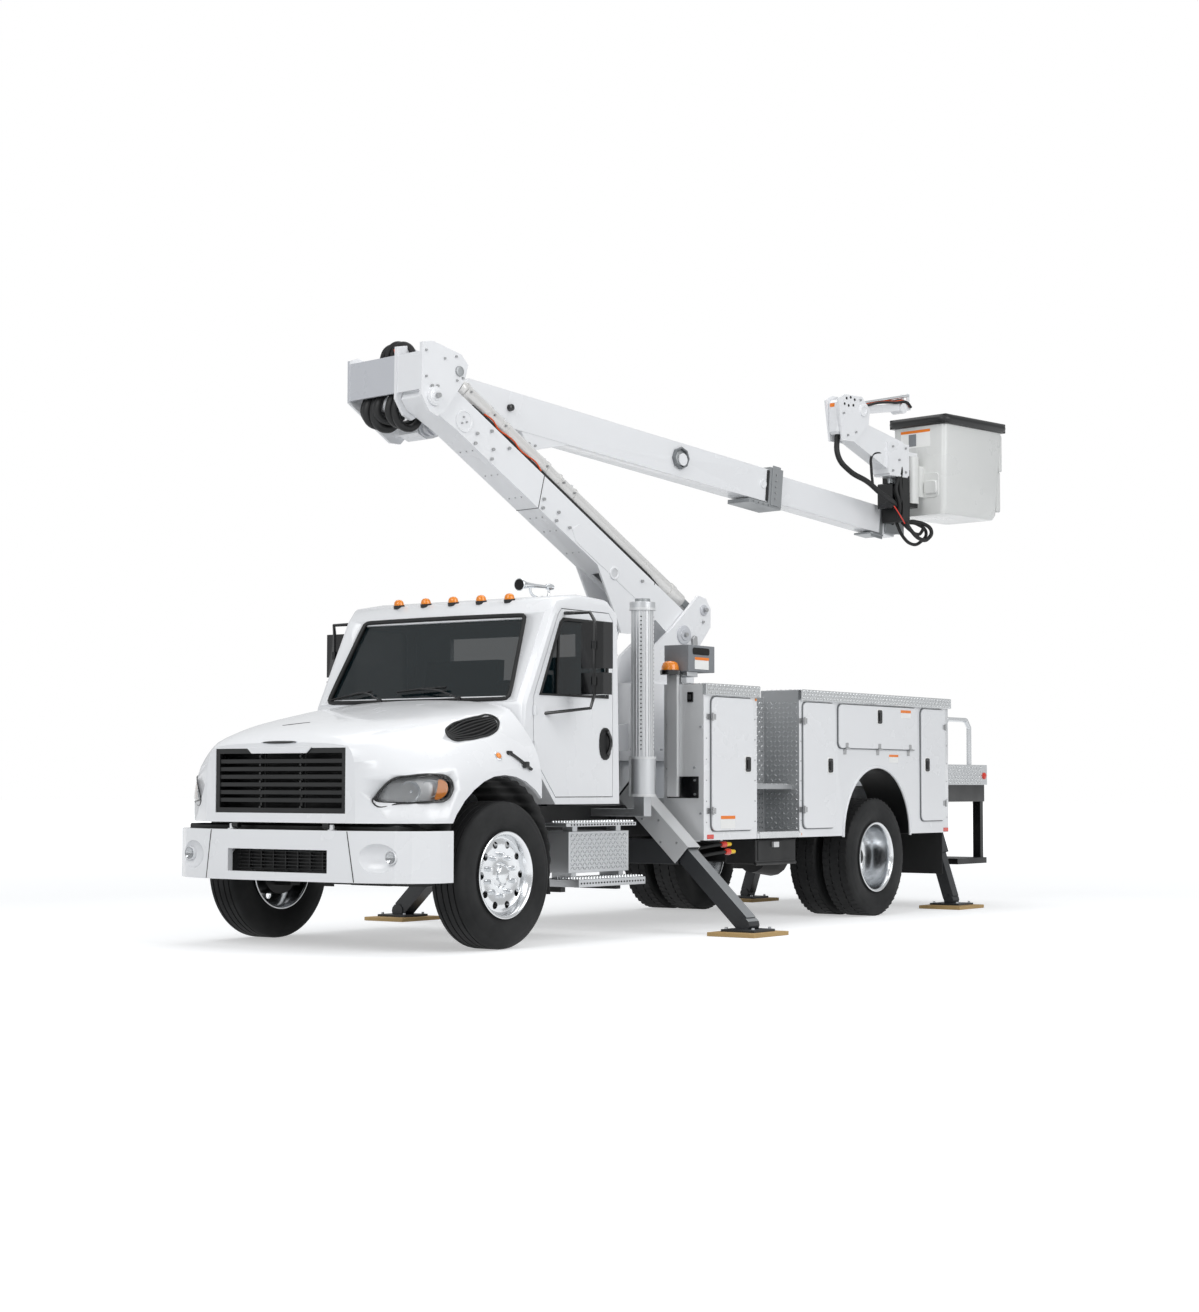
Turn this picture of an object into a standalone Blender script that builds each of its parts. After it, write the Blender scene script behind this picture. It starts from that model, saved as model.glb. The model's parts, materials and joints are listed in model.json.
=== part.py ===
"""Cherry picker truck: a medium truck with a service body and an over-centre telescopic boom.

Frame: +X forward, +Y left, +Z up, z = 0 on the ground, metres. Sizes along x are given from the
front axle, and one empty shifts the whole truck so that its box is centred on the origin.
Boom pieces are given in the turret's own frame: x forward along the boom, y left, z up.
"""
import bmesh
import bpy
import math
from mathutils import Matrix, Vector

for old in list(bpy.data.objects):
    bpy.data.objects.remove(old)

GAP = 0.0003            # between faces that touch
PIN_GAP = 0.0002        # between a pin and the flats of its bore
CLEAR = 0.006           # between pieces that move past each other
OVERLAP = 0.01          # how far joined solids reach into each other
SIDES = {"left": 1, "right": -1}

# Whole truck
WHEELBASE = 5.30
FRONT_OVERHANG = 1.05   # front axle to the bumper's face

# Wheels
TYRE_RADIUS = 0.515
TYRE_WIDTH = 0.28
RIM_RADIUS = 0.292
FRONT_TRACK_HALF = 1.06
REAR_TRACK_HALF = 1.055
DUAL_SPACING = 0.33
TYRE_STEPS = 32
RIM_STEPS = 20
AXLE_Z = TYRE_RADIUS

# Frame rails
RAIL_WIDTH = 0.08
RAIL_TO_TYRE = 0.115
RAIL_Y = REAR_TRACK_HALF - DUAL_SPACING - TYRE_WIDTH / 2 - RAIL_TO_TYRE - RAIL_WIDTH / 2
RAIL_TOP = 0.98
CAB_SILL = 1.00
CAB_MOUNTS = (-0.95, -1.50)         # rubber cushions under the cab's floor
RAIL_HEIGHT = 0.25
RAIL_FRONT = 0.62
RAIL_REAR = -7.40

# Cab
CAB_BACK = -1.64
CAB_HALF = 1.00
CAB_ROOF = 2.56
CAB_WALL = 0.05
COWL_Z = 1.74
FIREWALL_X = -0.425
WINDSHIELD_BASE_X = -0.43
WINDSHIELD_TOP_X = -0.77
DOOR_FRONT = -0.56
DOOR_REAR = -1.555
DOOR_TOP = 2.44
GLASS = 0.008

# Hood and bumper
HOOD_REAR = -0.415
HOOD_LOW = 0.88
HOOD_WALL = 0.03
ARCH_RADIUS = 0.61
ARCH_Z = 0.60
GRILLE_HALF = 0.61
GRILLE_LOW = 0.945
GRILLE_TOP = 1.392
BUMPER_LOW = 0.48
BUMPER_TOP = 0.83
BUMPER_HALF = 1.19

# Service body
BODY_HALF = 1.22
LOCKER_DEPTH = 0.40
LOCKER_WALL = 0.03
BODY_LOW = 0.71
BODY_TOP = 1.94
CABINET_FRONT = -2.51
CABINET_REAR = -3.30
LOCKER_FRONT = -3.97
LOCKER_REAR = -6.66
DOOR_THICK = 0.022
REAR_ARCH_RADIUS = 0.60
DECK_THICK = 0.06

# Boom geometry, in the turret's frame
TURRET_X = -3.15
TURRET_YAW = -9.0
TURRET_BASE = 1.34
LOWER_PIVOT = (-0.34, 2.40)
LOWER_ANGLE = 31.2
LOWER_LENGTH = 3.25
LOWER_Y = 0.18
LOWER_WIDTH = 0.25
LOWER_HEIGHT = 0.26
LOWER_OFFSET = 0.07
LINK_OFFSET = (-0.25, 0.22)
LINK_RADIUS = 0.064
ELBOW_FAR_Y = -0.52
UPPER_PIVOT_BACK = 0.36
UPPER_PIVOT_DOWN = 0.15
UPPER_ANGLE = 5.8
UPPER_Y = -0.30
UPPER_WIDTH = 0.22
UPPER_HEIGHT = 0.30
UPPER_OFFSET = 0.35
UPPER_START = 0.42
UPPER_LENGTH = 3.86
BOOM_WALL = 0.012
FLY_CLEAR = 0.006
FLY_REACH = 1.76        # fly boom's length outside the upper boom at rest
FLY_INSIDE = 1.55


def collection(name):
    made = bpy.data.collections.new(name)
    bpy.context.scene.collection.children.link(made)
    return made


PARTS = collection("cherry_picker_truck")
CUTTERS = collection("cutters")


def empty(name, place, parent=None, pitch=0.0, yaw=0.0):
    """An empty that carries a piece's own frame; pitch and yaw in degrees."""
    made = bpy.data.objects.new(name, None)
    PARTS.objects.link(made)
    made.parent = parent
    made.location = place
    made.rotation_euler = (0.0, math.radians(pitch), math.radians(yaw))
    return made


TRUCK = empty("truck_origin", (0, 0, 0))
FRAME = [TRUCK]         # the frame that new solids are made in


def in_frame(frame):
    FRAME[0] = frame


def solid(name, mesh_maker):
    """A new closed mesh in the current frame, in the cutters until it is kept."""
    mesh = bpy.data.meshes.new(name)
    work = bmesh.new()
    mesh_maker(work)
    bmesh.ops.recalc_face_normals(work, faces=work.faces)
    work.to_mesh(mesh)
    work.free()
    made = bpy.data.objects.new(name, mesh)
    made.hide_render = True
    made.display_type = "WIRE"
    CUTTERS.objects.link(made)
    made.parent = FRAME[0]
    return made


def box(low, high, name="box"):
    """A box between two corners."""
    size = [b - a for a, b in zip(low, high)]
    centre = [(a + b) / 2 for a, b in zip(low, high)]
    place = Matrix.Translation(centre) @ Matrix.Diagonal((*size, 1.0))
    return solid(name, lambda work: bmesh.ops.create_cube(work, size=1.0, matrix=place))


TURN = {"x": Matrix.Rotation(math.pi / 2, 4, "Y"), "y": Matrix.Rotation(math.pi / 2, 4, "X"), "z": Matrix()}


def rod(centre, axis, radius, length, steps=24, radius_end=None, name="rod"):
    """A cylinder or cone about an axis through its centre."""
    place = Matrix.Translation(centre) @ TURN[axis]
    end = radius if radius_end is None else radius_end
    return solid(name, lambda work: bmesh.ops.create_cone(
        work, cap_ends=True, segments=steps, radius1=radius, radius2=end, depth=length, matrix=place))


def plate(points, axis, low, high, name="plate"):
    """A flat outline swept along an axis: points are (x, z) for y, (x, y) for z and (y, z) for x."""
    def lift(point, height):
        if axis == "y":
            return (point[0], height, point[1])
        if axis == "z":
            return (point[0], point[1], height)
        return (height, point[0], point[1])

    def make(work):
        face = work.faces.new([work.verts.new(lift(point, low)) for point in points])
        swept = bmesh.ops.extrude_face_region(work, geom=[face])
        moved = [part for part in swept["geom"] if isinstance(part, bmesh.types.BMVert)]
        bmesh.ops.translate(work, verts=moved, vec=Vector(lift((0, 0), high - low)))
    return solid(name, make)


def loft(rings, name="loft"):
    """A closed solid through rings of equally many points."""
    def make(work):
        rows = [[work.verts.new(point) for point in ring] for ring in rings]
        for row, after in zip(rows, rows[1:]):
            for i in range(len(row)):
                work.faces.new((row[i - 1], row[i], after[i], after[i - 1]))
        work.faces.new(rows[0])
        work.faces.new(rows[-1])
    return solid(name, make)


def tube(points, radius, name="tube", sides=2, cyclic=False):
    """A round bar along straight runs through points."""
    curve = bpy.data.curves.new(name, "CURVE")
    curve.dimensions = "3D"
    curve.bevel_depth = radius
    curve.bevel_resolution = sides
    curve.use_fill_caps = True
    spline = curve.splines.new("POLY")
    spline.points.add(len(points) - 1)
    for point, place in zip(spline.points, points):
        point.co = (*place, 1.0)
    spline.use_cyclic_u = cyclic
    guide = bpy.data.objects.new(name, curve)
    CUTTERS.objects.link(guide)
    bpy.context.view_layer.update()
    mesh = bpy.data.meshes.new_from_object(guide.evaluated_get(bpy.context.evaluated_depsgraph_get()))
    bpy.data.objects.remove(guide)
    work = bmesh.new()
    work.from_mesh(mesh)
    bmesh.ops.remove_doubles(work, verts=work.verts, dist=0.00001)
    bmesh.ops.recalc_face_normals(work, faces=work.faces)
    work.to_mesh(mesh)
    work.free()
    made = bpy.data.objects.new(name, mesh)
    made.hide_render = True
    made.display_type = "WIRE"
    CUTTERS.objects.link(made)
    made.parent = FRAME[0]
    return made


def turned(profile, axis, centre, steps=32, name="turned"):
    """A solid of revolution: profile is (along the axis, radius) pairs, round a closed ring or to the axis."""
    place = Matrix.Translation(centre) @ TURN[axis]
    closed = all(radius > 0 for _, radius in profile)

    def make(work):
        rows = []
        for step in range(steps):
            angle = 2 * math.pi * step / steps
            rows.append([place @ Vector((r * math.cos(angle), r * math.sin(angle), h)) for h, r in profile])
        verts = [[None if profile[i][1] == 0 else work.verts.new(p) for i, p in enumerate(row)] for row in rows]
        poles = {i: work.verts.new(rows[0][i]) for i, (_, r) in enumerate(profile) if r == 0}
        count = len(profile)
        for step in range(steps):
            here, there = verts[step - 1], verts[step]
            for i in range(count if closed else count - 1):
                j = (i + 1) % count
                corners = [here[i] or poles.get(i), here[j] or poles.get(j), there[j], there[i]]
                corners = [corner for corner in corners if corner is not None]
                if len(set(corners)) > 2:
                    work.faces.new(list(dict.fromkeys(corners)))
    return solid(name, make)


def boolean(base, other, operation):
    step = base.modifiers.new(operation.lower(), "BOOLEAN")
    step.operation = operation
    step.object = other
    return base


def join(base, *others):
    """One body out of solids that reach into each other."""
    for other in others:
        boolean(base, other, "UNION")
    return base


def cut(base, *others):
    for other in others:
        boolean(base, other, "DIFFERENCE")
    return base


FINISHES = {
    # name: colour, roughness, metallic
    "white": ((0.86, 0.87, 0.88), 0.28, 0.0),
    "black": ((0.02, 0.02, 0.022), 0.5, 0.0),
    "rubber": ((0.03, 0.03, 0.03), 0.85, 0.0),
    "polished": ((0.82, 0.83, 0.85), 0.15, 1.0),
    "aluminium": ((0.72, 0.73, 0.74), 0.35, 1.0),
    "grey": ((0.12, 0.125, 0.13), 0.45, 0.2),
    "glass": ((0.05, 0.08, 0.09), 0.05, 0.0),
    "fibreglass": ((0.85, 0.85, 0.84), 0.35, 0.0),
}


def keep(made, name, finish, origin=None):
    """Moves a finished solid into the truck's collection under its own name and material."""
    made.name = name
    made.data.name = name
    CUTTERS.objects.unlink(made)
    PARTS.objects.link(made)
    made.hide_render = False
    made.display_type = "TEXTURED"
    colour, roughness, metallic = FINISHES[finish]
    material = bpy.data.materials.new(name)
    material.use_nodes = True
    shader = material.node_tree.nodes["Principled BSDF"]
    shader.inputs["Base Color"].default_value = (*colour, 1.0)
    shader.inputs["Roughness"].default_value = roughness
    shader.inputs["Metallic"].default_value = metallic
    made.data.materials.append(material)
    if origin is not None:
        made.data.transform(Matrix.Translation(-Vector(origin)))
        made.location = origin
    return made


def bore_radius(pin, steps):
    """A faceted bore whose flats clear a faceted pin at any turn."""
    return (pin + PIN_GAP) / math.cos(math.pi / steps)


def mirrored(points, side):
    """Swaps a list of points to the right side when side is -1."""
    return [(x, y * side, z) for x, y, z in points]


def sided_box(low, high, side, name="box"):
    """A box given for the left side, on either side."""
    y0, y1 = sorted((low[1] * side, high[1] * side))
    return box((low[0], y0, low[2]), (high[0], y1, high[2]), name)


def sided_plate(points, low, high, side, name="plate"):
    """An (x, z) outline between two y values given for the left side, on either side."""
    y0, y1 = sorted((low * side, high * side))
    return plate(points, "y", y0, y1, name)


def arc(centre, radius, start, end, steps):
    """Points on an arc, angles in degrees."""
    angles = [math.radians(start + (end - start) * i / steps) for i in range(steps + 1)]
    return [(centre[0] + radius * math.cos(a), centre[1] + radius * math.sin(a)) for a in angles]


# Chassis
CROSS_MEMBERS = (0.50, -1.20, -2.30, -4.30, -5.75, -7.20)
SPRING_THICK = 0.05
BEAM_FOOT = AXLE_Z - 0.07
BEAM_HEAD = AXLE_Z + 0.04
KINGPIN_Y = FRONT_TRACK_HALF - 0.22
EYE_RADIUS = 0.05
REAR_SPRING_HALF = 0.62


def chassis_frame():
    """Two channel rails, their cross members and the hangers that carry the springs."""
    low = RAIL_TOP - RAIL_HEIGHT
    rails = [box((RAIL_REAR, y - RAIL_WIDTH / 2, low), (RAIL_FRONT, y + RAIL_WIDTH / 2, RAIL_TOP))
             for y in (RAIL_Y, -RAIL_Y)]
    inner = RAIL_Y - RAIL_WIDTH / 2 + OVERLAP
    members = [box((x - 0.05, -inner, low + 0.06), (x + 0.05, inner, RAIL_TOP - 0.04)) for x in CROSS_MEMBERS]
    hangers = []
    for x in (0.52, -0.62, REAR_HANGER_FRONT, REAR_HANGER_REAR):
        for y in (RAIL_Y, -RAIL_Y):
            hangers.append(box((x - 0.035, y - 0.035, low - 0.10), (x + 0.035, y + 0.035, low + OVERLAP)))
    cushions = [box((x - 0.05, y - 0.03, RAIL_TOP - OVERLAP), (x + 0.05, y + 0.03, CAB_SILL - GAP))
                for x in CAB_MOUNTS for y in (RAIL_Y, -RAIL_Y)]
    frame = join(rails[0], members[0], rails[1], *members[1:], *hangers, *cushions)
    keep(frame, "chassis_frame", "black")


REAR_HANGER_FRONT = -WHEELBASE + REAR_SPRING_HALF
REAR_HANGER_REAR = -WHEELBASE - REAR_SPRING_HALF
HANGER_LOW = RAIL_TOP - RAIL_HEIGHT - 0.10


def leaf_spring(x, half, y, seat):
    """A flat arch of leaves from hanger to hanger, over the axle's seat."""
    top = HANGER_LOW - GAP
    points = [(x - half, top - SPRING_THICK), (x, seat), (x + half, top - SPRING_THICK),
              (x + half, top), (x, seat + SPRING_THICK), (x - half, top)]
    return plate(points, "y", y - 0.04, y + 0.04)


def front_axle():
    """A dropped beam with an eye for each kingpin, and the springs bolted on it."""
    low, high = BEAM_FOOT, BEAM_HEAD
    drop = AXLE_Z - 0.10
    shoulder, flat = KINGPIN_Y - 0.12, RAIL_Y + 0.06
    outline = [(-KINGPIN_Y, low), (-shoulder, low), (-flat - 0.02, drop), (flat + 0.02, drop), (shoulder, low),
               (KINGPIN_Y, low), (KINGPIN_Y, high), (shoulder - 0.02, high), (flat, drop + 0.09), (-flat, drop + 0.09),
               (0.02 - shoulder, high), (-KINGPIN_Y, high)]
    beam = plate(outline, "x", -0.055, 0.055)
    eyes = [rod((0, y, (low + high) / 2), "z", EYE_RADIUS, high - low, 16) for y in (KINGPIN_Y, -KINGPIN_Y)]
    seat = drop + 0.09 - OVERLAP
    springs = [leaf_spring(-0.05, 0.585, y, seat) for y in (RAIL_Y, -RAIL_Y)]
    keep(join(beam, *eyes, *springs), "front_axle", "black")


def rear_axle():
    """A banjo housing with its springs; its tube ends carry the twin wheels."""
    hub_face = REAR_TRACK_HALF - DUAL_SPACING - REAR_DISC - 0.04
    housing = rod((-WHEELBASE, 0, AXLE_Z), "y", 0.075, 2 * (hub_face - GAP), 16)
    banjo = rod((-WHEELBASE, 0, AXLE_Z), "x", 0.20, 0.34, 16, 0.16)
    seat = AXLE_Z + 0.06
    springs = [leaf_spring(-WHEELBASE, REAR_SPRING_HALF + 0.03, y, seat) for y in (RAIL_Y, -RAIL_Y)]
    keep(join(housing, banjo, *springs), "rear_axle", "black")


ENGINE_HALF = RAIL_Y - 0.13


def powertrain():
    """Engine and gearbox as one plain block between the rails."""
    outline = [(0.40, 0.60), (0.40, 1.32), (-0.34, 1.32), (-0.44, 0.96), (-1.10, 0.90), (-1.10, 0.60), (-0.30, 0.56)]
    block = plate(outline, "y", -ENGINE_HALF, ENGINE_HALF)
    reach = RAIL_Y - RAIL_WIDTH / 2 - GAP
    mounts = [box((x - 0.05, y0, RAIL_TOP - 0.18), (x + 0.05, y1, RAIL_TOP - 0.08))
              for x in (0.10, -0.85) for y0, y1 in ((-reach, 0.01 - ENGINE_HALF), (ENGINE_HALF - 0.01, reach))]
    keep(join(block, *mounts), "powertrain", "black")


RIM_SHELL = 0.014
FRONT_DISC = 0.085      # height of the front disc's outer face, along the axle from the tyre's middle
DISC_THICK = 0.016
REAR_DISC = -DUAL_SPACING / 2 + 0.010


def barrel_edges(inner):
    """The rim's outside from its outer lip to its inner one."""
    half = TYRE_WIDTH / 2
    return [(half - 0.03, inner), (half, RIM_RADIUS + 0.006), (half - 0.012, RIM_RADIUS + 0.014),
            (half - 0.022, RIM_RADIUS), (-half + 0.022, RIM_RADIUS), (-half + 0.012, RIM_RADIUS + 0.014),
            (-half, RIM_RADIUS + 0.006)]


def front_rim_profile():
    """Half section of a front rim, its disc near the outer face."""
    inner = RIM_RADIUS - RIM_SHELL
    back = FRONT_DISC - DISC_THICK
    return [(FRONT_DISC + 0.035, 0), (FRONT_DISC + 0.035, 0.075), (FRONT_DISC, 0.10), (FRONT_DISC, 0.235),
            *barrel_edges(inner), (-TYRE_WIDTH / 2 + 0.03, inner), (back - 0.03, inner - 0.008), (back, 0.225), (back, 0)]


def rear_rim_profile():
    """Half section of a deep rear rim, its disc just past the middle of the twin wheels."""
    inner = RIM_RADIUS - RIM_SHELL
    middle = -DUAL_SPACING / 2 - 0.001
    return [(REAR_DISC + 0.04, 0), (REAR_DISC + 0.04, 0.085), (REAR_DISC, 0.10), (REAR_DISC, 0.20),
            (-0.09, inner - 0.006), *barrel_edges(inner), (-0.125, inner), (middle, 0.205), (middle, 0)]


def tyre_solid(x, y, side):
    half = TYRE_WIDTH / 2
    bead = half - 0.024
    inner = bore_radius(RIM_RADIUS, TYRE_STEPS)
    profile = [(bead, inner), (bead, inner + 0.022), (half, 0.42), (half - 0.02, 0.495),
               (half - 0.05, TYRE_RADIUS), (-half + 0.05, TYRE_RADIUS), (-half + 0.02, 0.495),
               (-half, 0.42), (-bead, inner + 0.022), (-bead, inner)]
    return turned([(-h * side, r) for h, r in profile], "y", (x, y, AXLE_Z), TYRE_STEPS)


def wheels():
    """Single front wheels and twin rear ones, each tyre on its rim."""
    for name, side in SIDES.items():
        place = (0, side * FRONT_TRACK_HALF, AXLE_Z)
        keep(tyre_solid(0, place[1], side), f"front_tyre_{name}", "rubber", place)
        rim = turned([(-h * side, r) for h, r in front_rim_profile()], "y", place, RIM_STEPS)
        keep(rim, f"front_rim_{name}", "polished", place)
        outer = (-WHEELBASE, side * REAR_TRACK_HALF, AXLE_Z)
        inner = (-WHEELBASE, side * (REAR_TRACK_HALF - DUAL_SPACING), AXLE_Z)
        keep(tyre_solid(-WHEELBASE, outer[1], side), f"rear_tyre_outer_{name}", "rubber", outer)
        keep(tyre_solid(-WHEELBASE, inner[1], side), f"rear_tyre_inner_{name}", "rubber", outer)
        dished = turned([(-h * side, r) for h, r in rear_rim_profile()], "y", outer, RIM_STEPS)
        twin = turned([(h * side, r) for h, r in rear_rim_profile()], "y", inner, RIM_STEPS)
        hub = rod((-WHEELBASE, side * (REAR_TRACK_HALF - DUAL_SPACING / 2 + 0.08), AXLE_Z), "y", 0.075, 0.16, 16)
        keep(join(dished, hub, twin), f"rear_rim_{name}", "polished", outer)


DRUM_WIDTH = 0.19
DRUM_RADIUS = 0.19


def knuckles():
    """Steering knuckles: a yoke round the beam's eye, a stub axle and the brake drum."""
    for name, side in SIDES.items():
        y = side * KINGPIN_Y
        drum_face = FRONT_TRACK_HALF + FRONT_DISC - DISC_THICK - GAP
        drum = rod((0, side * (drum_face - DRUM_WIDTH / 2), AXLE_Z), "y", DRUM_RADIUS, DRUM_WIDTH, 20)
        stub = sided_box((-0.05, KINGPIN_Y + EYE_RADIUS + 0.012, AXLE_Z - 0.12),
                         (0.05, FRONT_TRACK_HALF - 0.10, AXLE_Z + 0.12), side)
        ears = [sided_box((-0.05, KINGPIN_Y - 0.05, z0), (0.05, KINGPIN_Y + EYE_RADIUS + 0.022, z1), side)
                for z0, z1 in ((AXLE_Z - 0.12, BEAM_FOOT - GAP), (BEAM_HEAD + GAP, AXLE_Z + 0.12))]
        keep(join(stub, drum, *ears), f"knuckle_{name}", "black", (0, y, AXLE_Z))


chassis_frame()
front_axle()
rear_axle()
powertrain()
wheels()
knuckles()


# Cab
DOOR_SEAM = 0.006
DOOR_LOW = 1.05
CAB_OUTLINE = [(CAB_BACK, CAB_SILL), (-0.83, CAB_SILL), (-0.60, 1.26), (FIREWALL_X, 1.26), (FIREWALL_X, COWL_Z - 0.03),
               (WINDSHIELD_BASE_X, COWL_Z), (WINDSHIELD_TOP_X, 2.41), (-0.85, 2.51), (-1.15, CAB_ROOF),
               (-1.50, CAB_ROOF - 0.02), (CAB_BACK, CAB_ROOF - 0.12)]
CAVITY_OUTLINE = [(CAB_BACK + CAB_WALL, CAB_SILL + CAB_WALL), (-0.86, CAB_SILL + CAB_WALL), (-0.63, 1.31),
                  (FIREWALL_X - CAB_WALL, 1.31), (FIREWALL_X - CAB_WALL, COWL_Z - 0.06),
                  (WINDSHIELD_BASE_X - 0.06, COWL_Z - 0.02), (WINDSHIELD_TOP_X - 0.06, 2.39), (-0.90, 2.46),
                  (-1.16, CAB_ROOF - CAB_WALL), (-1.48, CAB_ROOF - CAB_WALL - 0.02),
                  (CAB_BACK + CAB_WALL, CAB_ROOF - CAB_WALL - 0.11)]
DOOR_OUTLINE = [(-0.83, DOOR_LOW), (DOOR_FRONT, 1.35), (DOOR_FRONT, 1.78), (-0.86, 2.40), (-0.90, DOOR_TOP),
                (-1.50, DOOR_TOP), (DOOR_REAR, 2.38), (DOOR_REAR, DOOR_LOW)]
WINDOW_OUTLINE = [(-0.64, 1.80), (-0.885, 2.33), (-0.92, 2.36), (-1.44, 2.36), (-1.47, 2.32), (-1.48, 1.80)]
CAB_INSIDE = CAB_HALF - 0.10
WINDSHIELD_HALF = CAB_INSIDE
WINDSHIELD_SILL = 0.05
REAR_WINDOW = (CAB_HALF - 0.38, 1.85, 2.30)     # half width, low edge, high edge


def shrunk(points, amount):
    """An outline moved towards its own inside by an amount, each corner along both its edges."""
    count = len(points)
    area = sum(points[i - 1][0] * points[i][1] - points[i][0] * points[i - 1][1] for i in range(count))
    turn = 1 if area > 0 else -1
    moved = []
    for i in range(count):
        before, here, after = (Vector(points[j % count]) for j in (i - 1, i, i + 1))
        a, b = (here - before).normalized(), (after - here).normalized()
        normal_a, normal_b = Vector((-a.y, a.x)) * turn, Vector((-b.y, b.x)) * turn
        bisector = (normal_a + normal_b) / (1 + normal_a.dot(normal_b))
        moved.append(tuple(here + bisector * amount))
    return moved


def windshield_solid(low, high, half, depth, offset):
    """A slab lying in the windshield's slope, between two shares of its height."""
    foot = Vector((WINDSHIELD_BASE_X, COWL_Z))
    head = Vector((WINDSHIELD_TOP_X, 2.41))
    along = (head - foot).normalized()
    out = Vector((along.y, -along.x))
    reach = (head - foot).length
    corners = [foot + along * low + out * offset, foot + along * (reach - high) + out * offset,
               foot + along * (reach - high) + out * (offset - depth), foot + along * low + out * (offset - depth)]
    return plate([tuple(c) for c in corners], "y", -half, half)


EDGE_ROUND = 0.05       # the rounding where the roof, pillars and cowl meet the cab's sides


def cab_ring(y, inset):
    """The cab's outline at y, its upper edges drawn in by an inset."""
    drawn = shrunk(CAB_OUTLINE, inset)
    return [(a[0], y, a[1]) if a[1] < COWL_Z - 0.2 else (b[0], y, b[1]) for a, b in zip(CAB_OUTLINE, drawn)]


def cab_shell():
    """The cab's pressed shell, hollow, with its door, windshield and rear window openings."""
    shell = loft([cab_ring(y, inset) for y, inset in
                  ((-CAB_HALF, EDGE_ROUND), (-CAB_HALF + 0.25 * EDGE_ROUND, 0.35 * EDGE_ROUND), (-CAB_HALF + EDGE_ROUND, 0.0),
                   (CAB_HALF - EDGE_ROUND, 0.0), (CAB_HALF - 0.25 * EDGE_ROUND, 0.35 * EDGE_ROUND), (CAB_HALF, EDGE_ROUND))])
    cavity = plate(CAVITY_OUTLINE, "y", -CAB_HALF + CAB_WALL, CAB_HALF - CAB_WALL)
    doors = plate(DOOR_OUTLINE, "y", -CAB_HALF - OVERLAP, CAB_HALF + OVERLAP)
    screen = windshield_solid(WINDSHIELD_SILL, 0.05, WINDSHIELD_HALF, 0.16, 0.02)
    half, low, high = REAR_WINDOW
    rear = box((CAB_BACK - 0.05, -half, low), (CAB_BACK + 0.10, half, high))
    keep(cut(shell, cavity, doors, screen, rear), "cab_shell", "white")


def windshield():
    """The laminated glass, seated in its opening."""
    glass = windshield_solid(WINDSHIELD_SILL + GAP, 0.05 + GAP, WINDSHIELD_HALF - GAP, GLASS, -0.012)
    keep(glass, "windshield", "glass")


MIRROR_Y = CAB_HALF + 0.25
KNUCKLE_RADIUS = 0.012
DOOR_HINGE = (DOOR_FRONT - DOOR_SEAM / 2, CAB_HALF + KNUCKLE_RADIUS * math.cos(math.pi / 12) + GAP)
DOOR_HINGE_HEIGHTS = (1.42, 1.68)


def cab_doors():
    """Doors as thick as the cab's wall, with a window opening; each carries its mirror on a looped arm."""
    outline = shrunk(DOOR_OUTLINE, DOOR_SEAM)
    for name, side in SIDES.items():
        outer, inner = CAB_HALF, CAB_HALF - CAB_WALL + 0.002
        panel = sided_plate(outline, inner, outer, side)
        window = sided_plate(WINDOW_OUTLINE, inner - 0.02, outer + 0.02, side)
        arm = tube(mirrored([(-0.70, CAB_HALF - 0.01, 1.66), (-0.92, MIRROR_Y, 1.70), (-0.94, MIRROR_Y + 0.02, 1.80),
                             (-0.94, MIRROR_Y + 0.02, 2.34), (-0.91, MIRROR_Y, 2.40),
                             (-0.94, CAB_HALF - 0.01, 2.405)], side), 0.014, sides=1)
        head = sided_box((-1.06, MIRROR_Y - 0.10, 1.99), (-0.94, MIRROR_Y + 0.10, 2.33), side)
        low_head = sided_box((-1.05, MIRROR_Y - 0.10, 1.80), (-0.94, MIRROR_Y + 0.10, 1.96), side)
        pivot = (DOOR_HINGE[0], side * DOOR_HINGE[1], 1.56)
        knuckles_on_door = []
        for z in DOOR_HINGE_HEIGHTS:
            knuckles_on_door.append(rod((pivot[0], pivot[1], z), "z", KNUCKLE_RADIUS, 0.07, 12))
            knuckles_on_door.append(sided_box((DOOR_FRONT - 0.05, CAB_HALF - 0.005, z - 0.03),
                                              (DOOR_HINGE[0], CAB_HALF + 0.006, z + 0.03), side))
        keep(join(cut(panel, window), arm, head, low_head, *knuckles_on_door), f"cab_door_{name}", "white", pivot)
        glass = sided_plate(shrunk(WINDOW_OUTLINE, GAP), outer - 0.028, outer - 0.028 + GLASS, side)
        keep(glass, f"door_glass_{name}", "glass", pivot)


DRIVER_Y = CAB_HALF - 0.50
SEAT_TABLE = (                   # y, half width
    (DRIVER_Y, 0.26),            # driver
    (0.58 - CAB_HALF, 0.36),     # twin passenger bench
)


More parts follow.
